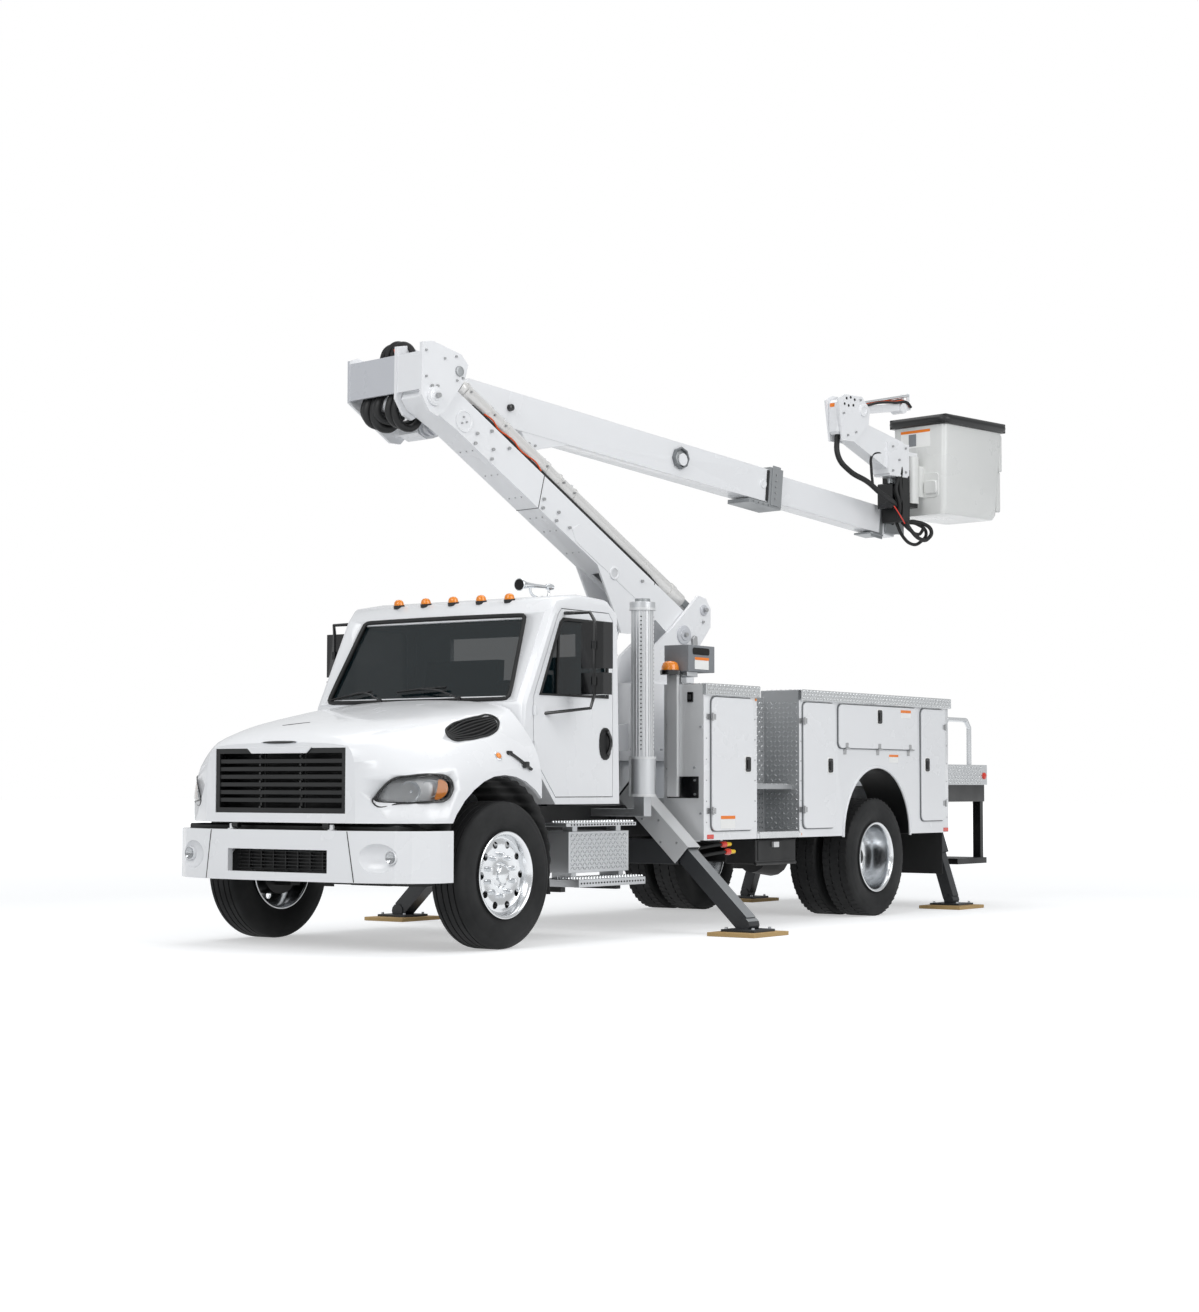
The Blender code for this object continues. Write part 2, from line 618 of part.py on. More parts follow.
def cab_interior():
    """Floor tunnel, seats, dashboard and steering wheel, fastened together on the cab's floor."""
    floor = CAB_SILL + CAB_WALL + GAP
    tray = box((-1.55, -CAB_INSIDE, floor), (-0.90, CAB_INSIDE, floor + 0.03))
    dash = plate([(-0.90, 1.32), (-0.66, 1.34), (-0.55, 1.40), (-0.55, 1.66), (-0.78, 1.72), (-0.86, 1.60)],
                 "y", -CAB_INSIDE, CAB_INSIDE)
    tunnel = box((-0.97, -0.12, floor + 0.01), (-0.87, 0.12, 1.40))
    pieces = [dash, tunnel]
    for y, half in SEAT_TABLE:
        pieces.append(plate([(-1.48, floor + 0.02), (-1.02, floor + 0.02), (-0.96, 1.42), (-1.00, 1.50), (-1.38, 1.47),
                             (-1.50, 2.12), (-1.58, 2.12), (-1.54, 1.40)], "y", y - half, y + half))
    column = tube([(-0.74, DRIVER_Y, 1.60), (-1.00, DRIVER_Y, 1.76)], 0.03, sides=1)
    ring = turned([(0.014, 0.185), (0.0, 0.20), (-0.014, 0.185), (0.0, 0.17)], "z", (0, 0, 0), 20)
    ring.data.transform(Matrix.Translation((-0.99, DRIVER_Y, 1.755)) @ Matrix.Rotation(math.radians(-58), 4, "Y"))
    spoke = box((-0.012, -0.175, -0.012), (0.012, 0.175, 0.012))
    spoke.data.transform(Matrix.Translation((-0.99, DRIVER_Y, 1.755)))
    keep(join(tray, *pieces, column, ring, spoke), "cab_interior", "grey")


# Hood: columns are x, fender half width and top, side half width and height, top half width and height, crown
HOOD_SECTIONS = (
    (1.02, 0.70, 1.25, 0.67, 1.36, 0.61, 1.42, 1.435),
    (0.90, 0.93, 1.20, 0.80, 1.38, 0.65, 1.48, 1.51),
    (0.72, 1.10, 1.18, 0.88, 1.42, 0.68, 1.54, 1.57),
    (0.45, 1.17, 1.24, 0.95, 1.49, 0.72, 1.60, 1.635),
    (0.00, 1.19, 1.31, 0.98, 1.56, 0.78, 1.68, 1.72),
    (HOOD_REAR, 1.19, 1.33, 0.99, 1.60, 0.84, 1.735, 1.775),
)
NOSE_X = HOOD_SECTIONS[0][0]
HOOD_PIVOT = (NOSE_X - 0.025, 0.86)
HINGE_INNER = RAIL_Y - 0.03
HINGE_OUTER = RAIL_Y + 0.025


HOOD_ROWS = 14


def spread_rows(rows, count):
    """Rows of a table spread evenly by x, on a smooth curve through the given ones."""
    made = []
    for i in range(count):
        x = rows[0][0] + (rows[-1][0] - rows[0][0]) * i / (count - 1)
        k = next(j for j in range(len(rows) - 1) if x >= rows[j + 1][0] - 1e-9)
        before, a, b, after = rows[max(k - 1, 0)], rows[k], rows[k + 1], rows[min(k + 2, len(rows) - 1)]
        t = (x - a[0]) / (b[0] - a[0])
        row = [x]
        for column in range(1, len(a)):
            slope_a = (b[column] - before[column]) / (b[0] - before[0]) * (b[0] - a[0])
            slope_b = (after[column] - a[column]) / (after[0] - a[0]) * (b[0] - a[0])
            row.append((2 * t ** 3 - 3 * t ** 2 + 1) * a[column] + (t ** 3 - 2 * t ** 2 + t) * slope_a
                       + (3 * t ** 2 - 2 * t ** 3) * b[column] + (t ** 3 - t ** 2) * slope_b)
        made.append(row)
    return made


def corner_cut(points, rounds):
    """An open line with its corners cut again and again, which leaves a smooth curve between its ends."""
    for _ in range(rounds):
        cut_line = [points[0]]
        for a, b in zip(points, points[1:]):
            cut_line.append(tuple(0.75 * u + 0.25 * v for u, v in zip(a, b)))
            cut_line.append(tuple(0.25 * u + 0.75 * v for u, v in zip(a, b)))
        points = cut_line + [points[-1]]
    return points


def hood_ring(x, row, low, inset):
    """One section of the hood from its left lower edge over the crown to the right one."""
    _, fender, fender_z, side, side_z, top, top_z, crown = row
    half = [(fender - inset, low), (fender - inset, fender_z - inset), (side - inset, side_z - inset),
            (top - inset, top_z - inset)]
    left = [(x, y, z) for y, z in half]
    right = [(x, -y, z) for y, z in reversed(half)]
    return corner_cut(left + [(x, 0, crown - inset)] + right, 2)


def hood_shell():
    """One moulded tilting hood with its fenders, open below and behind, cut for the wheels and the grille."""
    sections = spread_rows(HOOD_SECTIONS, HOOD_ROWS)
    outer = loft([hood_ring(row[0], row, HOOD_LOW, 0) for row in sections])
    rows = [(row[0], row) for row in sections]
    rows[0] = (sections[0][0] - HOOD_WALL, sections[0])
    rows[-1] = (HOOD_REAR - HOOD_WALL, sections[-1])
    inner = loft([hood_ring(x, row, HOOD_LOW - HOOD_WALL, HOOD_WALL) for x, row in rows])
    arches = rod((0, 0, ARCH_Z), "y", ARCH_RADIUS, 2.6, 32)
    mouth = box((NOSE_X - 0.08, -GRILLE_HALF, GRILLE_LOW), (NOSE_X + 0.07, GRILLE_HALF, GRILLE_TOP))
    hinges = []
    for side in SIDES.values():
        hinges.append(sided_box((HOOD_PIVOT[0] - 0.02, HINGE_INNER, HOOD_PIVOT[1] - 0.005),
                                (HOOD_PIVOT[0] + 0.02, HINGE_OUTER, HOOD_LOW + 0.02), side))
        hinges.append(rod((HOOD_PIVOT[0], side * (HINGE_INNER + HINGE_OUTER) / 2, HOOD_PIVOT[1]), "y", 0.022,
                          HINGE_OUTER - HINGE_INNER, 12))
    hood = join(cut(outer, inner, arches, mouth), *hinges)
    keep(hood, "hood_shell", "white", (HOOD_PIVOT[0], 0, HOOD_PIVOT[1]))


GRILLE_BARS = 6
GRILLE_DEPTH = 0.045
GRILLE_RIM = 0.035


def grille():
    """A moulded frame with horizontal bars and two upright struts behind them."""
    half = GRILLE_HALF - GAP
    low, high = GRILLE_LOW + GAP, GRILLE_TOP - GAP
    front = NOSE_X - 0.005
    frame = box((front - GRILLE_DEPTH, -half, low), (front, half, high))
    hole = box((front - 0.1, -half + GRILLE_RIM, low + GRILLE_RIM), (front + 0.1, half - GRILLE_RIM, high - GRILLE_RIM))
    cut(frame, hole)
    pitch = (high - low - 2 * GRILLE_RIM) / (GRILLE_BARS + 1)
    bars = []
    for i in range(1, GRILLE_BARS + 1):
        z = low + GRILLE_RIM + pitch * i
        bars.append(box((front - 0.03, -half + 0.02, z - 0.014), (front - 0.006, half - 0.02, z + 0.014)))
    struts = [box((front - 0.04, y - 0.008, low + 0.02), (front - 0.018, y + 0.008, high - 0.02))
              for y in (-0.19, 0.19)]
    keep(join(frame, *bars, *struts), "grille", "black", (HOOD_PIVOT[0], 0, HOOD_PIVOT[1]))


BUMPER_PLAN = [(0.57, BUMPER_HALF), (0.70, BUMPER_HALF - 0.005), (0.80, 1.15), (0.88, 1.08), (0.94, 0.98), (1.0, 0.80),
               (1.03, 0.645), (FRONT_OVERHANG - 0.005, 0.40), (FRONT_OVERHANG, 0.0)]
BUMPER_WALL = 0.05
BUMPER_SLOT = (0.465, 0.54, 0.696)     # half width, low edge, high edge
HINGE_LUG = 0.03
HINGE_EAR = 0.010       # half width of the ear beside the hinge's axis, inside the hood's sweep


def front_bumper():
    """A curved channel bumper with a centre air slot and fog lamp pockets, on brackets from the rails."""
    half_outer = BUMPER_PLAN
    half_inner = shrunk([(0.40, BUMPER_HALF)] + BUMPER_PLAN + [(0.40, 0.0)], BUMPER_WALL)[1:-1]
    half_inner[-1] = (half_inner[-1][0], 0.0)
    half_inner[0] = (BUMPER_PLAN[0][0], half_inner[0][1])
    outline = half_outer[:-1] + [(x, -y) for x, y in reversed(half_outer)]
    back = [(x, -y) for x, y in half_inner] + [(x, y) for x, y in reversed(half_inner[:-1])]
    channel = plate(outline + back, "z", BUMPER_LOW, BUMPER_TOP)
    half, low, high = BUMPER_SLOT
    slot = box((FRONT_OVERHANG - 0.15, -half, low), (FRONT_OVERHANG + 0.05, half, high))
    lamps = [rod((0.95, y, 0.652), "x", 0.05, 0.3, 16) for y in (0.945, -0.945)]
    brackets = []
    for side in SIDES.values():
        brackets.append(sided_box((RAIL_FRONT + GAP, HINGE_INNER, RAIL_TOP - RAIL_HEIGHT + 0.01),
                                  (FRONT_OVERHANG - 0.04, HINGE_OUTER + HINGE_LUG, RAIL_TOP - 0.19), side))
        brackets.append(sided_box((HOOD_PIVOT[0] - 0.03, HINGE_OUTER + GAP, RAIL_TOP - 0.22),
                                  (HOOD_PIVOT[0] + 0.03, HINGE_OUTER + HINGE_LUG, HOOD_PIVOT[1] - 0.024), side))
        brackets.append(sided_box((HOOD_PIVOT[0] - HINGE_EAR, HINGE_OUTER + GAP, HOOD_PIVOT[1] - 0.04),
                                  (HOOD_PIVOT[0] + HINGE_EAR, HINGE_OUTER + HINGE_LUG, HOOD_PIVOT[1] + HINGE_EAR), side))
    keep(join(cut(channel, slot, *lamps), *brackets), "front_bumper", "white")


STEP_BOX = ((-1.62, 0.60, 0.50), (-0.86, 1.10, 0.80))
UPPER_STEP = ((-1.59, 0.98, 0.84), (-0.71, 1.19, 0.866))
LOWER_STEP = ((-1.70, 0.80, 0.40), (-0.85, 1.20, 0.455))


def step_boxes():
    """A chequer plate box under each door with a step above and below it, hung from the rail."""
    for name, side in SIDES.items():
        case = sided_box(*STEP_BOX, side)
        pieces = [sided_box(*UPPER_STEP, side), sided_box(*LOWER_STEP, side)]
        pieces += [sided_box((x - 0.03, 1.00, 0.79), (x + 0.03, 1.09, 0.85), side) for x in (-0.95, -1.50)]
        pieces += [sided_box((x - 0.03, 0.90, 0.44), (x + 0.03, 1.08, 0.51), side) for x in (-0.95, -1.55)]
        pieces += [sided_box((x - 0.03, RAIL_Y + RAIL_WIDTH / 2 + GAP, 0.76), (x + 0.03, 0.62, 0.795), side)
                   for x in (-0.95, -1.50)]
        keep(join(case, *pieces), f"step_box_{name}", "aluminium")


cab_shell()
windshield()
cab_doors()
cab_interior()
hood_shell()
grille()
front_bumper()
step_boxes()


# Service body
INNER_FACE = BODY_HALF - LOCKER_DEPTH
CAP_HEIGHT = 0.04
LOCKER_DOORS = (
    # name, front x, rear x, low z, high z, hinge edge
    ("front_cabinet_door", -2.60, -3.22, 0.78, 1.84, "front"),
    ("front_locker_door", -4.01, -4.54, 0.78, 1.84, "front"),
    ("drop_locker_door", -4.60, -6.02, 1.46, 1.84, "low"),
    ("rear_locker_door", -6.10, -6.56, 0.82, 1.84, "rear"),
)
OPENING_INSET = 0.03


def locker_box(front, rear, low, side):
    """A sheet metal box on one side of the body."""
    return sided_box((rear, INNER_FACE, low), (front, BODY_HALF - DOOR_THICK, BODY_TOP - CAP_HEIGHT), side)


def locker_bodies():
    """Front cabinet, step well and main locker run of each side: hollow, divided, with a chequer plate cap."""
    for name, side in SIDES.items():
        main = locker_box(LOCKER_FRONT, LOCKER_REAR, BODY_LOW, side)
        cabinet = locker_box(CABINET_FRONT, CABINET_REAR, BODY_LOW, side)
        well = sided_box((LOCKER_FRONT - OVERLAP, INNER_FACE, BODY_LOW), (CABINET_REAR + OVERLAP, INNER_FACE + 0.03, 1.88), side)
        steps = [sided_box((LOCKER_FRONT - OVERLAP, INNER_FACE + 0.01, z - 0.04), (CABINET_REAR + OVERLAP, reach, z), side)
                 for z, reach in ((0.75, BODY_HALF - 0.01), (1.15, BODY_HALF - 0.10))]
        caps = [sided_box((rear, INNER_FACE, BODY_TOP - CAP_HEIGHT - 0.01), (front, BODY_HALF, BODY_TOP), side)
                for front, rear in ((CABINET_FRONT, CABINET_REAR), (LOCKER_FRONT, LOCKER_REAR))]
        body = join(main, well, cabinet, *steps, *caps)
        holes = []
        for _, front, rear, low, high, _ in LOCKER_DOORS:
            holes.append(sided_box((rear + OPENING_INSET, INNER_FACE + LOCKER_WALL, low + OPENING_INSET),
                                   (front - OPENING_INSET, BODY_HALF + 0.1, high - OPENING_INSET), side))
        arch = rod((-WHEELBASE, side * BODY_HALF, 0.70), "y", REAR_ARCH_RADIUS, 2 * LOCKER_DEPTH + 0.2, 28)
        keep(cut(body, *holes, arch), f"locker_body_{name}", "white")


def locker_doors():
    """Flush doors, each with a raised inner panel and a paddle latch, on the hinge edge its table row names."""
    for name, side in SIDES.items():
        for door, front, rear, low, high, edge in LOCKER_DOORS:
            inner = BODY_HALF - DOOR_THICK + GAP
            outer = BODY_HALF
            panel = sided_box((rear + 0.003, inner, low + 0.003), (front - 0.003, outer, high - 0.003), side)
            if edge == "low":
                latch_x, latch_z = (front + rear) / 2, high - 0.08
            elif edge == "front":
                latch_x, latch_z = rear + 0.09, (low + high) / 2
            else:
                latch_x, latch_z = front - 0.09, (low + high) / 2
            latch = sided_box((latch_x - 0.035, outer - 0.01, latch_z - 0.06), (latch_x + 0.035, outer + 0.012, latch_z + 0.06), side)
            pivot = {"front": (front, side * outer, (low + high) / 2), "rear": (rear, side * outer, (low + high) / 2),
                     "low": ((front + rear) / 2, side * outer, low)}[edge]
            keep(join(panel, latch), f"{door}_{name}", "white", pivot)


PEDESTAL_RADIUS = 0.40
WELL_HALF = 0.62
WELL_INNER = RAIL_Y + 0.11
WELL_TOP = 1.14
WELL_WALL = 0.03


def body_deck():
    """The flat floor between the lockers, on the rails, with the round pedestal under the turret."""
    half = INNER_FACE - GAP
    floor = box((LOCKER_REAR, -half, RAIL_TOP + GAP), (CABINET_FRONT, half, RAIL_TOP + GAP + DECK_THICK))
    pedestal = rod((TURRET_X, 0, (RAIL_TOP + 0.02 + TURRET_BASE) / 2), "z", PEDESTAL_RADIUS + 0.05,
                   TURRET_BASE - RAIL_TOP - 0.02, 28, PEDESTAL_RADIUS - 0.04)
    tail = box((LOCKER_REAR - 0.02, -half, RAIL_TOP + 0.02), (LOCKER_REAR + 0.01, half, BODY_TOP - 0.70))
    lugs = [box((x - 0.05, y - 0.05, RAIL_TOP - 0.10), (x + 0.05, y + 0.03, RAIL_TOP + 0.03))
            for x in (-3.0, -4.6, -6.3) for y in (0.525, -0.505)]
    wells, covers = [], []
    for side in SIDES.values():
        wells.append(sided_box((-WHEELBASE - WELL_HALF, WELL_INNER, RAIL_TOP - 0.1),
                               (-WHEELBASE + WELL_HALF, half + 0.01, WELL_TOP - WELL_WALL), side))
        covers.append(sided_box((-WHEELBASE - WELL_HALF - WELL_WALL, WELL_INNER - WELL_WALL, RAIL_TOP + 0.03),
                                (-WHEELBASE + WELL_HALF + WELL_WALL, half, WELL_TOP), side))
    keep(cut(join(floor, pedestal, tail, *lugs, *covers), *wells), "body_deck", "aluminium")


SHELF_FRONT = LOCKER_REAR - 0.02 - GAP
SHELF_REAR = -7.66
SHELF_HALF = 1.10
SHELF_LOW = 1.15
SHELF_TOP = 1.34
HOOP_TOP = 1.79


def tail_shelf():
    """A plated shelf behind the lockers with a box below, a low step on a post and a grab hoop at each side."""
    shelf = box((SHELF_REAR, -SHELF_HALF, SHELF_LOW), (SHELF_FRONT, SHELF_HALF, SHELF_TOP))
    case = box((SHELF_REAR + 0.02, -1.08, 0.99), (SHELF_FRONT, 1.08, SHELF_LOW + 0.02))
    pieces = [shelf]
    for side in SIDES.values():
        hoop = tube(mirrored([(-7.00, 0.98, SHELF_TOP - 0.03), (-7.00, 0.98, 1.70), (-7.06, 0.98, HOOP_TOP - 0.02),
                              (-7.45, 0.98, HOOP_TOP - 0.02), (-7.52, 0.98, 1.70), (-7.52, 0.98, SHELF_TOP - 0.03)],
                             side), 0.024, sides=1)
        post = sided_box((-7.65, 0.98, 0.42), (-7.59, 1.06, 1.02), side)
        step = sided_box((-7.66, 0.66, 0.40), (-7.05, 1.09, 0.455), side)
        stay = sided_box((-7.12, 0.60, 0.42), (-7.06, 0.68, 1.02), side)
        pieces += [hoop, post, step, stay]
    keep(join(case, *pieces), "tail_shelf", "aluminium")


COLUMN_X = -2.05
COLUMN_Y = 0.93


def exhaust_column():
    """The fluted upright stack behind the cab, on a bracket from the rail, with a fatter foot and a cap."""
    post = rod((COLUMN_X, COLUMN_Y, 1.80), "z", 0.085, 1.46, 20)
    foot = rod((COLUMN_X, COLUMN_Y, 1.21), "z", 0.105, 0.30, 20)
    cap = rod((COLUMN_X, COLUMN_Y, 2.535), "z", 0.10, 0.05, 20)
    bracket = box((COLUMN_X - 0.05, RAIL_Y + RAIL_WIDTH / 2 + GAP, 0.90), (COLUMN_X + 0.05, COLUMN_Y + 0.05, 0.96))
    riser = box((COLUMN_X - 0.05, COLUMN_Y - 0.05, 0.91), (COLUMN_X + 0.05, COLUMN_Y + 0.05, 1.08))
    keep(join(post, foot, cap, bracket, riser), "exhaust_column", "aluminium")


CONTROL_Y = BODY_HALF - 0.38
CONTROL_X = -2.66


def control_stand():
    """The lower control box with its beacon, on a post from the front cabinet's cap."""
    post = box((CONTROL_X - 0.04, CONTROL_Y + 0.01, BODY_TOP + GAP), (CONTROL_X + 0.04, CONTROL_Y + 0.07, 2.06))
    case = box((CONTROL_X - 0.22, CONTROL_Y - 0.01, 2.04), (CONTROL_X + 0.16, CONTROL_Y + 0.22, 2.25))
    beacon = box((CONTROL_X - 0.02, CONTROL_Y + 0.05, 2.00), (CONTROL_X + 0.13, CONTROL_Y + 0.19, 2.05))
    foot = box((CONTROL_X - 0.10, CONTROL_Y, BODY_TOP + GAP), (CONTROL_X + 0.10, CONTROL_Y + 0.12, BODY_TOP + 0.015))
    keep(join(post, foot, case, beacon), "control_stand", "aluminium")


# Outriggers: columns are name, x, top y and z of the sleeve, foot y, sleeve share, section half width
OUTRIGGERS = (
    ("front", -2.32, 0.62, 1.12, 1.72, 0.50, 0.085),
    ("rear", -6.86, 0.84, 0.96, 1.12, 0.52, 0.075),
)
FOOT_Z = 0.03
LEG_LAP = 0.12
LEG_CLEAR = 0.006


def outrigger_axis(row, side):
    """Top point, unit direction down the leg and length, on one side."""
    _, x, top_y, top_z, foot_y, _, _ = row
    top = Vector((x, top_y * side, top_z))
    run = Vector((x, foot_y * side, FOOT_Z + 0.05)) - top
    return top, run.normalized(), run.length


def leg_bar(row, side, start, end, half, depth):
    """A square bar along the leg between two distances from its top."""
    top, down, _ = outrigger_axis(row, side)
    across = Vector((0, -down.z, down.y))
    points = [top + down * start + across * depth, top + down * end + across * depth,
              top + down * end - across * depth, top + down * start - across * depth]
    x = row[1]
    return plate([(p.y, p.z) for p in points], "x", x - half, x + half)


def outrigger(row):
    """A cross beam with a sleeve at each end, and a leg with its foot and wooden pad in each sleeve."""
    name, x, top_y, top_z, foot_y, share, half = row
    beam_z = RAIL_TOP - RAIL_HEIGHT - 0.10
    reach = top_y + (top_z - beam_z) * (foot_y - top_y) / (top_z - FOOT_Z - 0.05)
    beam = box((x - half, -reach, beam_z - 0.10), (x + half, reach, beam_z + 0.09))
    hangers = [box((x - 0.05, y - 0.03, beam_z), (x + 0.05, y + 0.03, RAIL_TOP - 0.05))
               for y in (RAIL_Y + RAIL_WIDTH / 2 + 0.03 + GAP, -RAIL_Y - RAIL_WIDTH / 2 - 0.03 - GAP)]
    sleeves, bores = [], []
    for side in SIDES.values():
        _, _, length = outrigger_axis(row, side)
        sleeves.append(leg_bar(row, side, 0.0, length * share, half, half))
        bores.append(leg_bar(row, side, 0.03, length * share + 0.05, half - 0.014, half - 0.014))
    keep(cut(join(beam, *hangers, *sleeves), *bores), f"outrigger_beam_{name}", "grey")
    for side_name, side in SIDES.items():
        top, down, length = outrigger_axis(row, side)
        inner = half - 0.014 - LEG_CLEAR
        start = length * share - LEG_LAP
        shaft = leg_bar(row, side, start, length - 0.02, inner, inner)
        foot_y_side = top.y + down.y * length
        slide_pad = leg_bar(row, side, start, start + 0.04, half - 0.014 - GAP, half - 0.014 - GAP)
        shoe = box((x - 0.15, foot_y_side - 0.15, FOOT_Z - OVERLAP), (x + 0.15, foot_y_side + 0.15, FOOT_Z + 0.02))
        ankle = rod((x, foot_y_side, FOOT_Z + 0.05), "x", inner * 0.9, 2 * inner + 0.02, 12)
        pad = box((x - 0.25, foot_y_side - 0.21, 0.0), (x + 0.25, foot_y_side + 0.21, FOOT_Z))
        keep(join(shaft, slide_pad, ankle, shoe, pad), f"outrigger_leg_{name}_{side_name}", "grey", tuple(top))


locker_bodies()
locker_doors()
body_deck()
tail_shelf()
exhaust_column()
control_stand()
for outrigger_row in OUTRIGGERS:
    outrigger(outrigger_row)


# Turret and booms: (x, z) in the turret's frame, y to its left
TURRET = empty("turret_axis", (TURRET_X, 0, 0), TRUCK, yaw=TURRET_YAW)
PIN = 0.045
LINK_PIN = 0.03
LIFT_PIN = 0.028
CHEEK = 0.035
ELBOW_PIVOT = (LOWER_PIVOT[0] + LOWER_LENGTH * math.cos(math.radians(LOWER_ANGLE)),
               LOWER_PIVOT[1] + LOWER_LENGTH * math.sin(math.radians(LOWER_ANGLE)))
LINK_FOOT = (LOWER_PIVOT[0] + LINK_OFFSET[0], LOWER_PIVOT[1] + LINK_OFFSET[1])
LINK_HEAD = (ELBOW_PIVOT[0] + LINK_OFFSET[0], ELBOW_PIVOT[1] + LINK_OFFSET[1])
UPPER_PIVOT = (ELBOW_PIVOT[0] - UPPER_PIVOT_BACK, ELBOW_PIVOT[1] - UPPER_PIVOT_DOWN)
LIFT_FOOT = (0.62, 1.50)
LIFT_EYE = (0.30, 2.46)
LIFT_LENGTH = math.dist(LIFT_FOOT, LIFT_EYE)
LIFT_ANGLE = math.degrees(math.atan2(LIFT_EYE[1] - LIFT_FOOT[1], LIFT_EYE[0] - LIFT_FOOT[0]))
LIFT_RADIUS = 0.065
LIFT_ROD = 0.038
BARREL_LENGTH = 0.76
CHEEK_INNER = LOWER_WIDTH / 2 + CLEAR


def ring_disc(centre, radius, y0, y1, steps=20):
    """A disc or pin across the boom between two y values."""
    return rod((centre[0], (y0 + y1) / 2, centre[1]), "y", radius, y1 - y0, steps)


def turret():
    """The slewing base: a turned ring and a column with two cheeks that hold the lower boom, link and lift cylinder."""
    in_frame(TURRET)
    base = rod((0, 0, TURRET_BASE + GAP + 0.04), "z", 0.44, 0.08, 32)
    column = box((-0.40, -0.24, TURRET_BASE + 0.06), (0.26, 0.36, 1.98))
    pieces = [base]
    outline = [(-0.46, 1.80), (0.26, 1.80), (0.10, 2.22), (-0.22, 2.46), (-0.53, 2.74), (-0.62, 2.72),
               (-0.68, 2.64), (-0.68, 2.48), (-0.48, 2.24)]
    for inner in (LOWER_Y + CHEEK_INNER, LOWER_Y - CHEEK_INNER - CHEEK):
        pieces.append(plate(outline, "y", inner, inner + CHEEK))
    pieces.append(ring_disc(LOWER_PIVOT, PIN, LOWER_Y - CHEEK_INNER - OVERLAP, LOWER_Y + CHEEK_INNER + OVERLAP))
    pieces.append(ring_disc(LINK_FOOT, LINK_PIN, LOWER_Y - CHEEK_INNER - OVERLAP, LOWER_Y + CHEEK_INNER + OVERLAP, 16))
    lug = [(0.20, TURRET_BASE + 0.08), (0.62, TURRET_BASE + 0.08), (0.70, 1.44), (0.70, 1.54), (0.62, 1.58),
           (0.20, 1.66)]
    for y in (LOWER_Y - LIFT_RADIUS - 0.035, LOWER_Y + LIFT_RADIUS + 0.01):
        pieces.append(plate(lug, "y", y, y + 0.025))
    pieces.append(ring_disc(LIFT_FOOT, LIFT_PIN, LOWER_Y - LIFT_RADIUS - 0.02, LOWER_Y + LIFT_RADIUS + 0.02, 16))
    keep(join(column, *pieces), "turret", "white", (0, 0, TURRET_BASE))


def boom_box(start, end, centre_y, width, height, offset, wall, open_ends=(False, True)):
    """A hollow box section along local x, its centreline offset above the axis."""
    outer = box((start, centre_y - width / 2, offset - height / 2), (end, centre_y + width / 2, offset + height / 2))
    low = start - OVERLAP if open_ends[0] else start + wall
    high = end + OVERLAP if open_ends[1] else end - wall
    inner = box((low, centre_y - width / 2 + wall, offset - height / 2 + wall),
                (high, centre_y + width / 2 - wall, offset + height / 2 - wall))
    return outer, inner


def lower_boom():
    """The lower boom: a box section with a deep root that carries the lift lugs, and bored pivot eyes."""
    axis = empty("lower_boom_axis", (LOWER_PIVOT[0], LOWER_Y, LOWER_PIVOT[1]), TURRET, pitch=-LOWER_ANGLE)
    in_frame(axis)
    outer, inner = boom_box(0.20, LOWER_LENGTH - 0.20, 0, LOWER_WIDTH, LOWER_HEIGHT, LOWER_OFFSET, BOOM_WALL, (False, False))
    half = LOWER_WIDTH / 2
    top = LOWER_OFFSET + LOWER_HEIGHT / 2
    low = LOWER_OFFSET - LOWER_HEIGHT / 2
    root = plate([(-0.09, -0.04), (-0.02, -0.085), (0.30, low), (0.50, low), (0.30, top), (0.06, top), (-0.07, 0.07)],
                 "y", -half, half)
    head = plate([(LOWER_LENGTH - 0.32, low), (LOWER_LENGTH - 0.02, -0.085), (LOWER_LENGTH + 0.07, -0.05),
                  (LOWER_LENGTH + 0.085, 0.03), (LOWER_LENGTH - 0.02, 0.14), (LOWER_LENGTH - 0.20, top),
                  (LOWER_LENGTH - 0.32, top)],
                 "y", -half, half)
    eye_x, eye_z = lift_eye_local()
    lugs = [plate([(0.30, low + 0.02), (eye_x - 0.07, eye_z - 0.05), (eye_x + 0.02, eye_z - 0.10),
                   (eye_x + 0.10, eye_z - 0.04), (1.15, low + 0.02)], "y", y, y + 0.02)
            for y in (-half, half - 0.02)]
    bores = [ring_disc((x, 0), bore_radius(PIN, 20), -half - 0.02, half + 0.02) for x in (0, LOWER_LENGTH)]
    opening = box((0.60, -0.04, low - 0.02), (1.0, 0.04, low + 0.05))
    boom = cut(join(cut(outer, inner), root, head, *lugs), *bores, opening)
    keep(boom, "lower_boom", "white", (0, 0, 0))


def lift_eye_local():
    """The lift rod's eye in the lower boom's frame."""
    dx, dz = LIFT_EYE[0] - LOWER_PIVOT[0], LIFT_EYE[1] - LOWER_PIVOT[1]
    a = math.radians(LOWER_ANGLE)
    return dx * math.cos(a) + dz * math.sin(a), -dx * math.sin(a) + dz * math.cos(a)


